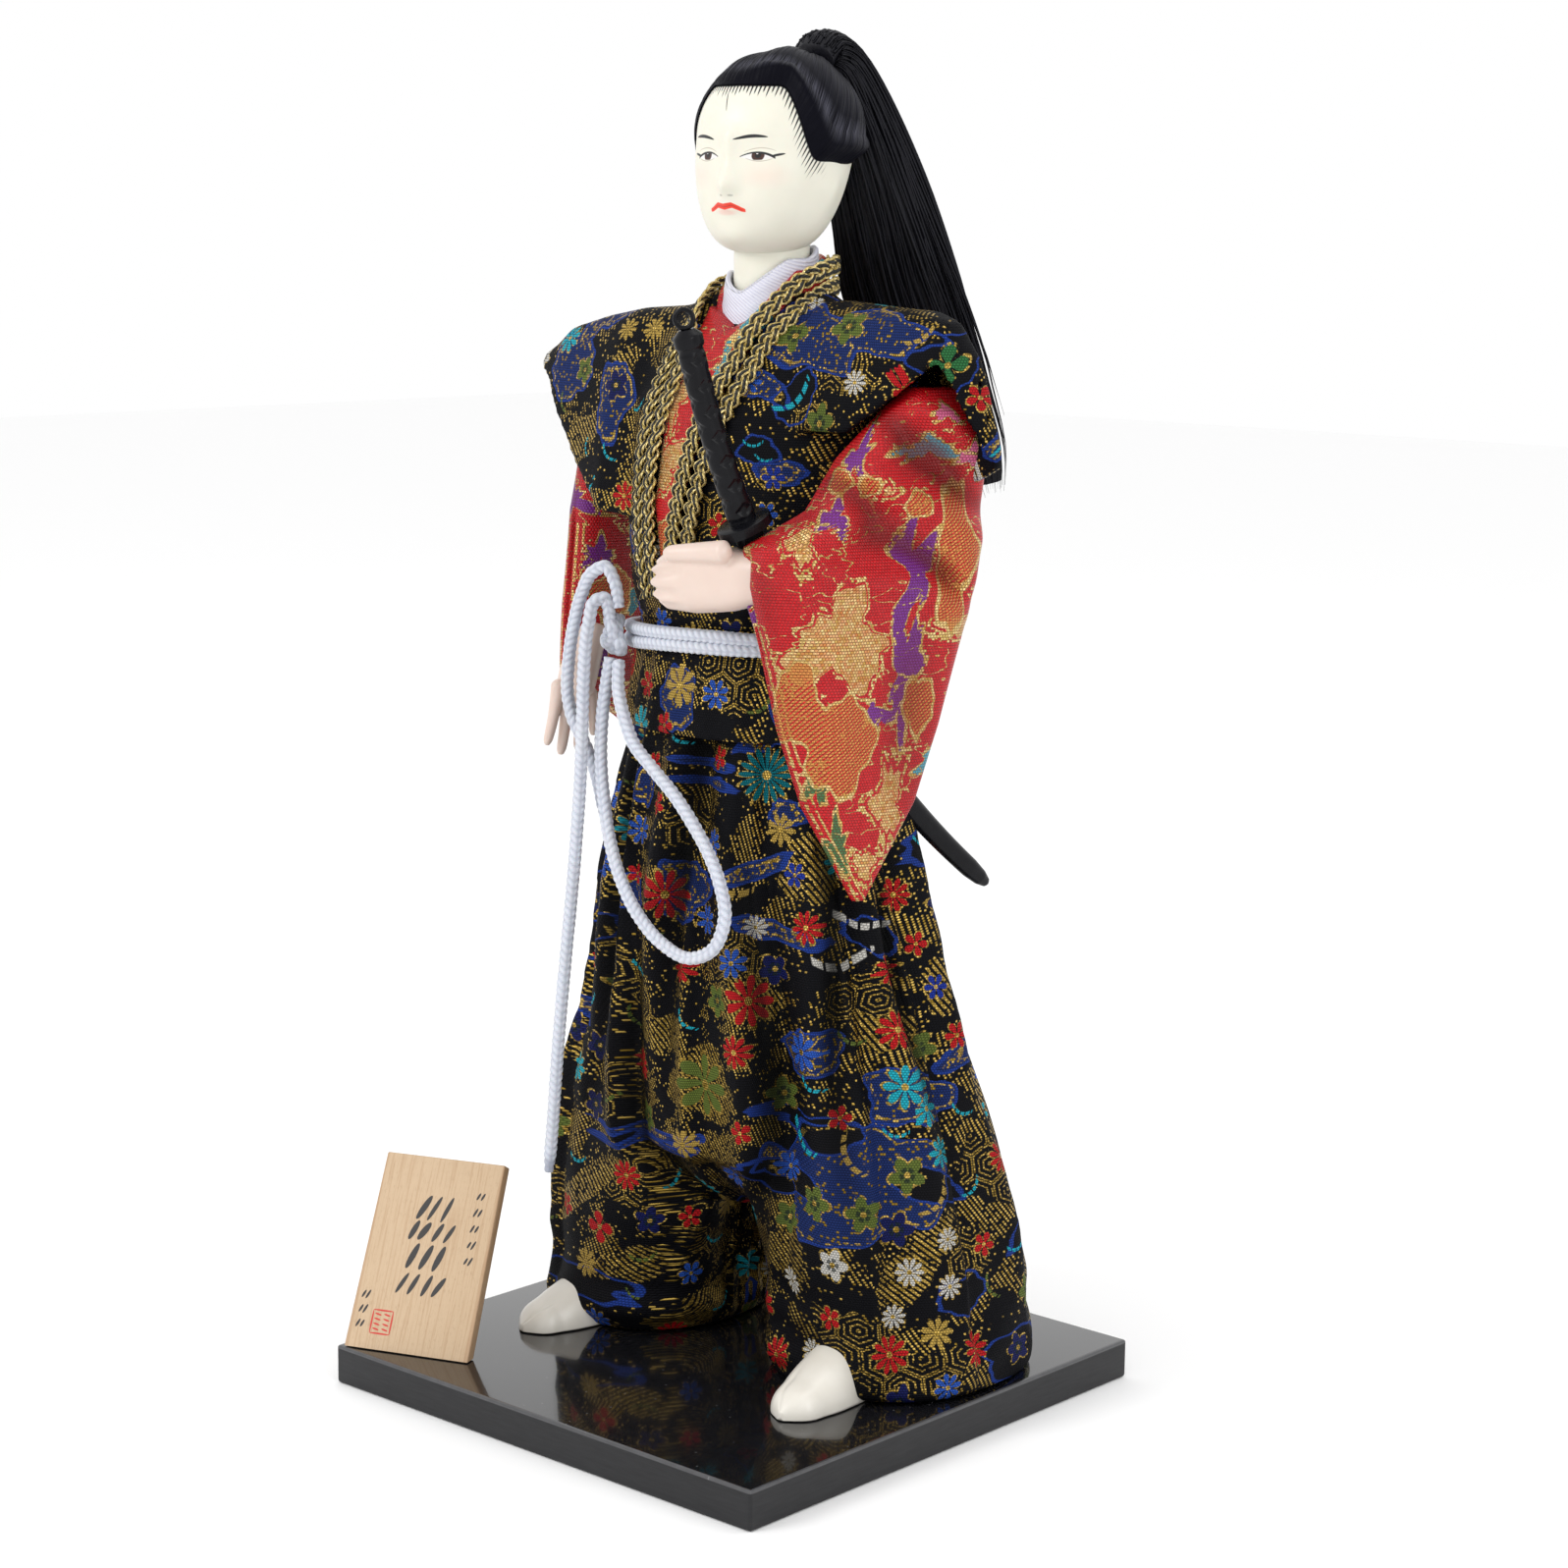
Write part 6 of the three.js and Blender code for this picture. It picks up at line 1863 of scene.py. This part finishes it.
def weave_cells(finish, pitch=WEAVE):
    """Cloth coordinates, a chance for each thread cell, and the height of the threads."""
    across, up, _ = finish.attribute("cloth")
    row = (up / pitch).floor()
    shifted = across + (row % 2.0) * (pitch / 2)
    column = (shifted / pitch).floor()
    draw_a = finish.chance(finish.point(column, row, 1.0))
    draw_b = finish.chance(finish.point(column, row, 7.0))
    inside_x = abs((shifted / pitch) % 1.0 - 0.5) * 2.0
    inside_y = abs((up / pitch) % 1.0 - 0.5) * 2.0
    height = (1 - inside_x ** 3.0) * (1 - inside_y ** 2.0)
    apart = ((column + (row * 0.5).floor()) % 2.0).above(0.5)
    return across, up, draw_a, draw_b, height, apart


def hexagon_rings(across, up, size):
    """Distance from the middle of a honeycomb cell, from 0 to 0.5."""
    tall = math.sqrt(3)
    x, y = across / size, up / size
    first = (x % 1.0 - 0.5, y % tall - tall / 2)
    second = ((x - 0.5) % 1.0 - 0.5, (y - tall / 2) % tall - tall / 2)

    def reach(place):
        ax, ay = abs(place[0]), abs(place[1])
        return ax.most(ax * 0.5 + ay * (tall / 2))

    return reach(first).least(reach(second))


def flower(finish):
    """Masks of the nearest motif: its petals, their outline and its centre."""
    dx, dy, petals = finish.attribute("motif")
    reach = length_of(dx, dy)
    turn = dy.angle(dx)
    count = abs(petals)
    lobe = abs((turn * count * 0.5).cos())
    pair = count.below(2.5)
    pointed = 0.25 * (1 - pair) + (0.75 + 0.25 * pair) * lobe ** (0.6 + 5.0 * pair)
    rounded = 0.55 + 0.45 * lobe ** 1.2
    is_round = petals.below(0.0)
    border = is_round * rounded + (1 - is_round) * pointed
    here = count.above(0.5)
    gap = 1 - (1 - is_round) * lobe.below(0.45, 0.05) * reach.above(0.22)
    vein = is_round * reach.below(0.42, 0.05) * lobe.above(0.4)
    petal = here * (reach - border).below(0.0) * gap
    # Two petals stand for a bent twig of short dashes.
    dashes = abs(dy - 0.45 * dx * dx + 0.2).below(0.13, 0.03) * abs(dx).below(1.0)
    dashes = dashes * (dx * 13.0).sin().above(-0.7)
    petal = petal * (1 - pair) + here * pair * dashes
    outline = here * (reach - border).above(0.0) * (reach - border).below(0.14) * (1 - pair)
    centre = here * reach.below(0.17) * (1 - pair)
    return petal, outline, centre, vein


dark = Finish("dark_brocade", roughness=0.5, specular_ior_level=0.08)
across, up, draw_a, draw_b, height, apart = weave_cells(dark)
painted_hollow_shade, _, _ = dark.attribute("painted_hollow_shade")
blue_field, gold_field, hex_field = dark.attribute("ground")
leaf_field, _, _ = dark.attribute("leaf")
petal, outline, centre, vein = flower(dark)
ragged = (draw_b - 0.5) * 0.5
patch = dark.clouds(dark.point(across, up), 9.0, 1.0)
dust = draw_a.below(0.07 + 0.85 * patch.above(0.54, 0.1), 0.01) * apart * height.above(0.2, 0.15)
blue = (blue_field + ragged).above(0.0)
satin = (gold_field + ragged).above(0.0) * (1 - blue)
rings = hexagon_rings(across, up, 7.6)
ring_line = (rings * 44.0).sin().above(0.6, 0.3) * height.above(0.2, 0.15)
honeycomb = (hex_field + ragged).above(0.0) * (1 - blue) * (1 - satin)
leaf = (leaf_field + ragged).above(0.0)
blue_edge = abs(blue_field).below(0.24, 0.06)
leaf_edge = abs(leaf_field).below(0.24, 0.06)
diagonal = ((across + up) * (2 * math.pi / 1.5)).sin().above(-0.05, 0.3)

gold_here = dust * (1 - blue) * (1 - satin) * (1 - honeycomb) * (1 - leaf)
gold_here = gold_here.most(satin * diagonal * draw_a.below(0.86, 0.01))
gold_here = gold_here.most(honeycomb * ring_line * draw_b.below(0.9, 0.01))
gold_here = gold_here.most(blue * draw_b.below(0.1, 0.01) * (1 - leaf))
gold_here = gold_here.most(abs(blue_field - 0.75).below(0.22, 0.1) * draw_a.below(0.6, 0.01))
edge_blue = blue_edge.most(leaf_edge) * (1 - petal)
gold_here = gold_here * (1 - edge_blue)
gold_here = (gold_here * (1 - petal) * (1 - vein)).most(outline * draw_a.below(0.65, 0.01)).most(centre)

tint = dark.vector("paint")
ground = dark.mix(blue, (0.003, 0.003, 0.005), (0.012, 0.028, 0.13))
ground = dark.coats(
    ground,
    (leaf, (0.004, 0.004, 0.006)),
    (edge_blue, (0.014, 0.045, 0.27)),
    (petal, tint),
    (petal * vein * 0.8, (0.01, 0.02, 0.02)),
)
threads = dark.mix(draw_b, (0.26, 0.16, 0.02), (0.74, 0.5, 0.12))
color = dark.mix(gold_here, ground, threads)
# Painted shade: darker between the threads and in the hollows of deep folds.
shade = (0.25 + 0.75 * height) * (1 - 0.9 * painted_hollow_shade)
dark.set("Base Color", dark.mix(shade, (0.0, 0.0, 0.0), color))
dark.set("Metallic", gold_here * 0.85)
dark.set("Roughness", 0.62 - 0.3 * gold_here - 0.1 * petal)
dark.bump(height * (0.6 + 0.4 * draw_b) + 0.5 * gold_here * draw_a + 0.4 * petal, 0.8, 0.16 * MM)

# %% [markdown]
# The kimono is red brocade of the same make: a coarse red weave with masses of pale gold inside a fine
# red and gold line, striped copper ovals, and small leaves in purple, turquoise and green.

# %% Red brocade
red = Finish("red_brocade", roughness=0.4, specular_ior_level=0.35)
across, up, draw_a, draw_b, height, _ = weave_cells(red, 0.62)
_, _, hem = red.attribute("cloth")
painted_hollow_shade, _, _ = red.attribute("painted_hollow_shade")
pale_field, copper_field, tint_field = red.attribute("ground")
ragged = (draw_b - 0.5) * 0.45
pale = (pale_field + ragged * 0.5).above(1.3)
pale_line = (pale_field + ragged).above(0.0) * (pale_field + ragged * 0.4).below(0.8)
speckled = pale_line * draw_a.below(0.72, 0.01)
copper = (copper_field + ragged * 0.4).above(0.25)
stripes = ((across - up) * (2 * math.pi / 1.1)).sin().above(-0.3, 0.4)
copper_line = abs(copper_field).below(0.28, 0.1)
tinted = (tint_field + ragged * 0.5).above(0.0) * (1 - pale) * (1 - copper)
tinted_line = abs(tint_field + 0.1).below(0.3, 0.1)
twigs = red.clouds(red.point(across * 0.55, up, 3.0), 5.5, 2.0)
twig = abs(twigs - 0.56).below(0.0085, 0.003) * draw_a.below(0.75, 0.01)
gold_here = (pale * (0.55 + 0.45 * draw_a)).most(speckled).most(copper * stripes * 0.9)
hem_lines = abs(hem - 1.5).below(0.35, 0.1).most(abs(hem - 3.0).below(0.25, 0.1))
gold_here = gold_here.most(hem_lines * draw_b.below(0.85, 0.01))
gold_here = gold_here.most(copper_line).most(tinted_line * draw_b.below(0.8, 0.01)).most(twig)
tint = red.vector("paint")
ground = red.mix(draw_a * 0.6, (0.66, 0.003, 0.009), (0.46, 0.002, 0.006))
ground = red.mix(tinted, ground, tint)
threads = red.mix(draw_b, (0.56, 0.36, 0.08), (0.98, 0.76, 0.34))
threads = red.mix(copper, threads, (0.72, 0.33, 0.09))
color = red.mix(gold_here, ground, threads)
# Painted shade: darker between the threads and in the hollows of deep folds.
shade = (0.3 + 0.7 * height) * (1 - 0.8 * painted_hollow_shade)
red.set("Base Color", red.mix(shade, (0.1, 0.0, 0.0), color))
red.set("Metallic", gold_here * 0.75)
red.set("Roughness", 0.34 - 0.08 * gold_here)
red.bump(height * (0.6 + 0.4 * draw_b) + 0.4 * gold_here, 1.0, 0.2 * MM)

# %% [markdown]
# The face is matt ivory paint. Its features are brush strokes: tapered brows, long narrow eyes with a
# dark lash line, a small red mouth and a breath of pink below the eyes. Fine strokes continue the hair
# below the edge of the glued cap.

# %% Face
face = Finish("face_paint", roughness=0.42, subsurface_weight=0.08, subsurface_scale=0.002)
x, y, z = face.attribute("face")
fore = y.below(-4.0, 2.0)


def brush(run, rise, start, stop, curve, thick, soft=0.07):
    """A tapered stroke: curve gives its height along the run, thick its half thickness in the middle."""
    t = (run - start) / (stop - start)
    inside = t.above(0.0, 0.01) * t.below(1.0, 0.01)
    clipped = t.most(0.0).least(1.0)
    taper = (clipped * (1 - clipped) * 4.0).most(0.0) ** 0.5
    return inside * (abs(rise - curve(clipped)) - thick * taper).below(0.0, soft)


brow_run = abs(x + 1.8)


def brow_line(t):
    return -0.45 + 1.1 * t - 0.5 * t * t + 0.3 * (t * 3.14).sin()


brow = brush(brow_run, z, 3.0, 9.9, brow_line, 0.36)
eye_run = abs(x + 0.3)
bow = 1 - ((eye_run - 6.3) / 3.5) * ((eye_run - 6.3) / 3.5)
upper = -4.2 + 1.0 * bow
lower = -4.15 - 0.62 * bow
in_eye = (z - upper).below(0.0, 0.08) * (z - lower).above(0.0, 0.08) * bow.above(0.0, 0.02)
iris_reach = length_of(eye_run - 6.5, z + 3.75)
iris = iris_reach.below(1.3, 0.1) * in_eye
pupil = iris_reach.below(0.6, 0.1) * in_eye
# A painted highlight: a small white spot in each eye.
painted_catchlight = length_of(x - 6.0, z + 3.3).below(0.22, 0.06).most(length_of(x + 7.1, z + 3.3).below(0.22, 0.06))
lash = (abs(z - upper - 0.05) - 0.3 * (0.35 + 0.65 * ((eye_run - 2.8) / 7.0))).below(0.0, 0.06)
lash = lash * eye_run.above(2.9, 0.1) * eye_run.below(9.9, 0.1)
tail = brush(eye_run, z, 9.0, 11.6, lambda t: -3.9 + 0.55 * t, 0.27)
crease = brush(eye_run, z, 3.6, 10.0, lambda t: -3.1 + 1.5 * t * (1 - t) * 2.0 + 0.3 * t, 0.1)
under = brush(eye_run, z, 4.0, 9.6, lambda t: -4.35 - 2.6 * t * (1 - t), 0.09)
mouth_run = abs(x + 0.7)
mouth_shape = -14.75 + 0.36 * (1 - abs(mouth_run - 1.9) / 1.9).most(0.0) - 0.3 * (mouth_run - 2.0).most(0.0)
mouth_size = 0.66 * (1 - mouth_run / 4.7).most(0.0) ** 0.2
mouth = (abs(z - mouth_shape) - mouth_size).below(0.0, 0.08) * mouth_run.below(4.6, 0.1)
mouth_edge = (abs(z - mouth_shape + 0.06) - 0.07).below(0.0, 0.06) * mouth_run.below(4.0, 0.2)
lower_lip = length_of((x + 0.6) / 2.3, (z + 15.9) / 0.62).below(1.0, 0.5)
cheek = length_of((abs(x + 0.3) - 8.0) / 5.0, (z + 8.0) / 3.2)
blush = (1.1 - cheek).most(0.0).least(1.0)
# The nostrils are painted shade: two soft dark spots below the nose.
nostril_shade = length_of((abs(x - 0.2) - 1.1) / 0.5, (z + 12.3) / 0.22).below(1.0, 0.3)
wisp_run, wisp_cell, _ = face.attribute("hairline")
lane = (wisp_cell / 0.85).floor()
temple = ((9.0 - z) / 8.0).most(0.0).least(1.0)
lane_draw = face.chance(face.point(lane, 3.0, 1.0))
in_lane = abs((wisp_cell / 0.85) % 1.0 - 0.5).below(0.27 - 0.06 * wisp_run, 0.05)
wisp = in_lane * wisp_run.below((1.5 + 1.5 * lane_draw) * (1 + 0.8 * temple), 0.5)
wisp = wisp.most(wisp_run.below(0.35, 0.2))
forelock = brush(9.8 - z, x, 0.0, 4.2, lambda t: -2.6 + 0.9 * t, 0.13)

mottle = face.clouds(face.object_place(), 4.0, 3.0)
color = face.mix(mottle, (0.7, 0.68, 0.58), (0.75, 0.73, 0.63))
# Ink of the brows, lashes and forelock, and the nostrils' painted shade at about a third of its strength.
ink_and_nostril_shade = (brow.most(lash).most(tail).most(nostril_shade * 0.35).most(forelock)) * fore
ink_and_nostril_shade = ink_and_nostril_shade.most(wisp * y.below(-6.5, 1.5))
color = face.coats(
    color,
    (blush * fore * 0.17, (0.86, 0.4, 0.36)),
    (lower_lip * fore * 0.3, (0.8, 0.25, 0.2)),
    (in_eye * fore, (0.74, 0.72, 0.7)),
    (iris * fore, (0.045, 0.014, 0.008)),
    (pupil * fore, (0.003, 0.003, 0.003)),
    (painted_catchlight * in_eye * fore, (0.9, 0.9, 0.9)),
    ((crease * 0.45).most(under * 0.5) * fore, (0.16, 0.07, 0.05)),
    (mouth * fore, (0.74, 0.035, 0.008)),
    (mouth_edge * fore * 0.75, (0.2, 0.02, 0.015)),
    (ink_and_nostril_shade, (0.008, 0.008, 0.01)),
)
face.set("Base Color", color)
face.bump(mottle, 0.15, 0.05 * MM)

# %% Hand, sock and white cloth
hand = Finish("hand_resin", roughness=0.36, subsurface_weight=0.05, subsurface_scale=0.002)
mottle = hand.clouds(hand.object_place(), 5.0, 3.0)
hand.set("Base Color", hand.mix(mottle, (0.64, 0.5, 0.43), (0.7, 0.57, 0.5)))
hand.bump(hand.clouds(hand.object_place(), 0.6, 2.0), 0.1, 0.05 * MM)

sock = Finish("sock_resin", roughness=0.3, coat_weight=0.25, coat_roughness=0.2)
mottle = sock.clouds(sock.object_place(), 6.0, 3.0)
sock.set("Base Color", sock.mix(mottle, (0.7, 0.66, 0.58), (0.82, 0.79, 0.72)))
sock.bump(sock.clouds(sock.object_place(), 1.2, 3.0), 0.12, 0.08 * MM)

white = Finish("white_satin", roughness=0.4, sheen_weight=0.3)
place = white.object_place()
px, py, pz = white.split(place)
ribs = ((pz + 0.6 * px) * (2 * math.pi / 0.75)).sin()
# Painted shade: the colour is darker in the valleys of the fine ribs and lighter on their ridges, in step
# with their bump.
white.set("Base Color", white.mix(ribs * 0.5 + 0.5, (0.58, 0.58, 0.7), (0.72, 0.72, 0.8)))
white.bump(ribs + white.clouds(place, 0.3, 1.0), 0.5, 0.12 * MM)

cord_finish = Finish(
    "white_cord", roughness=0.72, sheen_weight=0.35, subsurface_weight=0.06, subsurface_scale=0.001,
)
place = cord_finish.object_place()
fuzz = cord_finish.clouds(place, 0.16, 2.0)
wear = cord_finish.clouds(place, 12.0, 2.0)
groove_shade, _, _ = cord_finish.attribute("painted_hollow_shade")
tone = cord_finish.mix(fuzz, (0.52, 0.55, 0.63), (0.7, 0.73, 0.8))
# Painted shade: the braid's grooves are darker.
tone = cord_finish.mix(groove_shade * 0.7, tone, (0.24, 0.26, 0.34))
cord_finish.set("Base Color", cord_finish.mix(wear.above(0.62, 0.2) * 0.2, tone, (0.7, 0.69, 0.66)))
cord_finish.bump(fuzz, 0.6, 0.08 * MM)

# %% [markdown]
# The trim's threads are twisted: gold foil round a core, and black silk. The hair is nylon, combed, with
# cool streaks of painted highlight where it would catch the light. The board's lacquer is deep and glossy
# on top, satin on its sawn sides, and a lighter grey on the bevel.

# %% Trim, hair, plastic
trim_finish = Finish("gold_plait", roughness=0.4)
u, v, _ = trim_finish.split(trim_finish.node("ShaderNodeUVMap", {"uv_map": "UVMap"}, {}))
tone, _, _ = trim_finish.attribute("tone")
twist = ((u * 4.0 + v * 230.0) * (2 * math.pi)).sin()
glint = trim_finish.chance(trim_finish.point((v * 460.0).floor(), (u * 8.0).floor()))
gold_tone = trim_finish.mix(glint, (0.5, 0.36, 0.08), (1.0, 0.82, 0.4))
black_tone = trim_finish.mix(glint.above(0.97), (0.003, 0.003, 0.003), (0.3, 0.22, 0.06))
trim_finish.set("Base Color", trim_finish.mix(tone.above(0.5), gold_tone, black_tone))
trim_finish.set("Metallic", (1 - tone.above(0.5)) * 0.8)
trim_finish.bump(twist + glint, 0.8, 0.12 * MM)

hair = Finish("black_hair", specular_ior_level=0.04)
run, level, _ = hair.split(hair.node("ShaderNodeUVMap", {"uv_map": "cloth"}, {}))
strand = hair.clouds(hair.point(run, level * 0.02), 0.16, 2.0)
locks = hair.clouds(hair.point(run, level * 0.06, 4.0), 1.3, 2.0)
# Painted highlight: lighter streaks in a band just above the rolled edge, and fainter ones higher up the cap.
highlight_streak = strand.above(0.5, 0.12) * locks
band = (1 - abs(level - 20.5) / 2.6).most(0.0).most((1 - abs(level - 13.0) / 7.0) * 0.35)
color = hair.mix(strand, (0.001, 0.001, 0.002), (0.006, 0.006, 0.011))
color = hair.mix(band * highlight_streak * 0.8, color, (0.15, 0.15, 0.19))
hair.set("Base Color", color)
hair.set("Roughness", 0.3 + 0.25 * locks)
hair.bump(strand, 0.7, 0.1 * MM)

tail_finish = Finish("black_tail", specular_ior_level=0.2)
place = tail_finish.object_place()
px, py, pz = tail_finish.split(place)
strand = tail_finish.clouds(tail_finish.point(px, py, pz * 0.06), 0.5, 3.0)
tail_finish.set("Base Color", tail_finish.mix(strand, (0.001, 0.001, 0.002), (0.012, 0.012, 0.018)))
tail_finish.set("Roughness", 0.3 + 0.3 * strand)
tail_finish.bump(strand, 0.5, 0.15 * MM)

plastic = Finish("black_plastic", roughness=0.3, specular_ior_level=0.16)
place = plastic.object_place()
scuff = plastic.clouds(place, 2.0, 4.0)
plastic.set("Base Color", plastic.mix(scuff, (0.001, 0.001, 0.002), (0.007, 0.007, 0.009)))
plastic.set("Roughness", 0.16 + 0.2 * scuff)
plastic.bump(scuff, 0.15, 0.1 * MM)

# %% Lacquer and wood
lacquer = Finish("black_lacquer", specular_ior_level=0.35, coat_roughness=0.04)
place = lacquer.object_place()
px, py, pz = lacquer.split(place)
side = abs(px).most(abs(py))
bevel = side.above(64.35, 0.1) * pz.above(8.25, 0.1)
flank = side.above(64.6, 0.1) * (1 - bevel)
grime = lacquer.clouds(place, 3.0, 5.0)
grain = lacquer.clouds(lacquer.point(px * 0.1 + py * 0.1, pz, 1.0), 0.6, 3.0)
dust = lacquer.chance(lacquer.point((px / 0.35).floor(), (py / 0.35).floor())).above(0.9985, 0.0004)
color = lacquer.mix(grime, (0.004, 0.004, 0.005), (0.011, 0.011, 0.013))
color = lacquer.mix(flank, color, lacquer.mix(grain, (0.004, 0.004, 0.005), (0.018, 0.018, 0.02)))
color = lacquer.mix(bevel * (0.15 + 0.3 * grime), color, (0.14, 0.14, 0.15))
lacquer.set("Base Color", lacquer.mix(dust * (1 - flank) * 0.5, color, (0.2, 0.2, 0.2)))
lacquer.set("Roughness", 0.1 + 0.06 * grime + 0.34 * flank + 0.2 * bevel)
lacquer.set("Coat Weight", 0.6 * (1 - flank))
lacquer.bump(grain * flank + grime * 0.05, 0.3, 0.1 * MM)

wood = Finish("plaque_wood", roughness=0.55)
px, py, pz = wood.attribute("place")
tone, _, _ = wood.attribute("tone")
bend = wood.clouds(wood.point(px * 0.3, pz * 0.05, py), 3.0, 2.0)
grain = wood.clouds(wood.point(px + bend * 1.5, pz * 0.03, py * 0.2), 0.55, 3.0)
line = grain.above(0.55, 0.08)
pores = wood.clouds(wood.point(px, pz * 0.08, py), 0.13, 2.0).above(0.66, 0.04)
color = wood.mix(grain, (0.46, 0.32, 0.19), (0.62, 0.46, 0.3))
edge = abs(px).above(14.7, 0.25).most(py.above(0.35, 0.1))
wood.set("Base Color", wood.coats(
    color,
    (line * 0.45, (0.36, 0.21, 0.1)),
    (pores * 0.45, (0.3, 0.17, 0.08)),
    (edge * 0.45, (0.36, 0.2, 0.1)),
    (tone.above(0.5), (0.02, 0.018, 0.018)),
    (tone.above(1.5), (0.55, 0.03, 0.02)),
))
wood.bump(grain + pores, 0.35, 0.1 * MM)

# %% Finish every piece
# Each piece, the node and the slot it stands for, its finish, and how full its padding is.
FINISHED = [
    (plinth, "plinth", "black_lacquer", lacquer, None),
    (plaque, "name_plaque", "plaque_wood", wood, None),
    *((piece, name, "sock_resin", sock, None) for name, piece in feet.items()),
    (hakama, "hakama", "dark_brocade", dark, 0.7),
    (vest, "vest", "dark_brocade", dark, 0.8),
    (kimono_collar, "kimono_collar", "red_brocade", red, 0.5),
    (inner_collar, "inner_collar", "white_cloth", white, 0.5),
    (neck_trim, "neck_trim", "gold_plait", trim_finish, None),
    *((piece, name, "red_brocade", red, 0.4) for name, piece in sleeves.items()),
    (hand_left, "hand_left", "hand_resin", hand, None),
    (hand_right, "hand_right", "hand_resin", hand, None),
    (sword_hilt, "sword_hilt", "black_plastic", plastic, None),
    (scabbard, "scabbard", "black_plastic", plastic, None),
    (head, "head", "face_resin", face, None),
    (hair_cap, "hair_cap", "black_hair", hair, None),
    (ponytail, "ponytail", "black_hair", tail_finish, None),
    (belt, "waist_cord", "white_cord", cord_finish, None),
    (knot, "cord_knot", "white_cord", cord_finish, None),
    *((piece, name, "white_cord", cord_finish, None) for name, piece in ropes.items()),
]
for piece, node, slot, finish, fill in FINISHED:
    finish_piece(piece, node, finish.material)
print("total", sum(made.values()), "triangles")

# %% [markdown]
# The doll stands on a pale floor in soft light from both sides and above, as in a small photo studio.

# %% Floor and light
bpy.ops.mesh.primitive_plane_add(size=6, location=(0, 0, -0.0001))
floor = bpy.context.object
floor.name = "floor"
paper = Finish("paper", base_color=(0.97, 0.97, 0.97), roughness=0.9)
floor.data.materials.append(paper.material)
world = bpy.data.worlds.new("studio")
bpy.context.scene.world = world
bpy.context.scene.view_settings.view_transform = "Standard"
world.use_nodes = True
world.node_tree.nodes["Background"].inputs["Color"].default_value = (1, 1, 1, 1)
world.node_tree.nodes["Background"].inputs["Strength"].default_value = 1.0


def soft_light(name, place, size, power, aim=(0, 0, 0.16)):
    bpy.ops.object.light_add(type="AREA", location=place)
    light = bpy.context.object
    light.name = name
    light.data.shape = "RECTANGLE"
    light.data.size, light.data.size_y = size
    light.data.energy = power
    light.rotation_euler = (Vector(aim) - Vector(place)).to_track_quat("-Z", "Y").to_euler()


soft_light("key", (-0.35, -0.95, 0.75), (0.4, 0.4), 4.2)
soft_light("side", (1.1, -0.2, 0.55), (0.3, 0.8), 2.2)
soft_light("top", (0.1, 0.25, 1.2), (0.6, 0.6), 1.6)
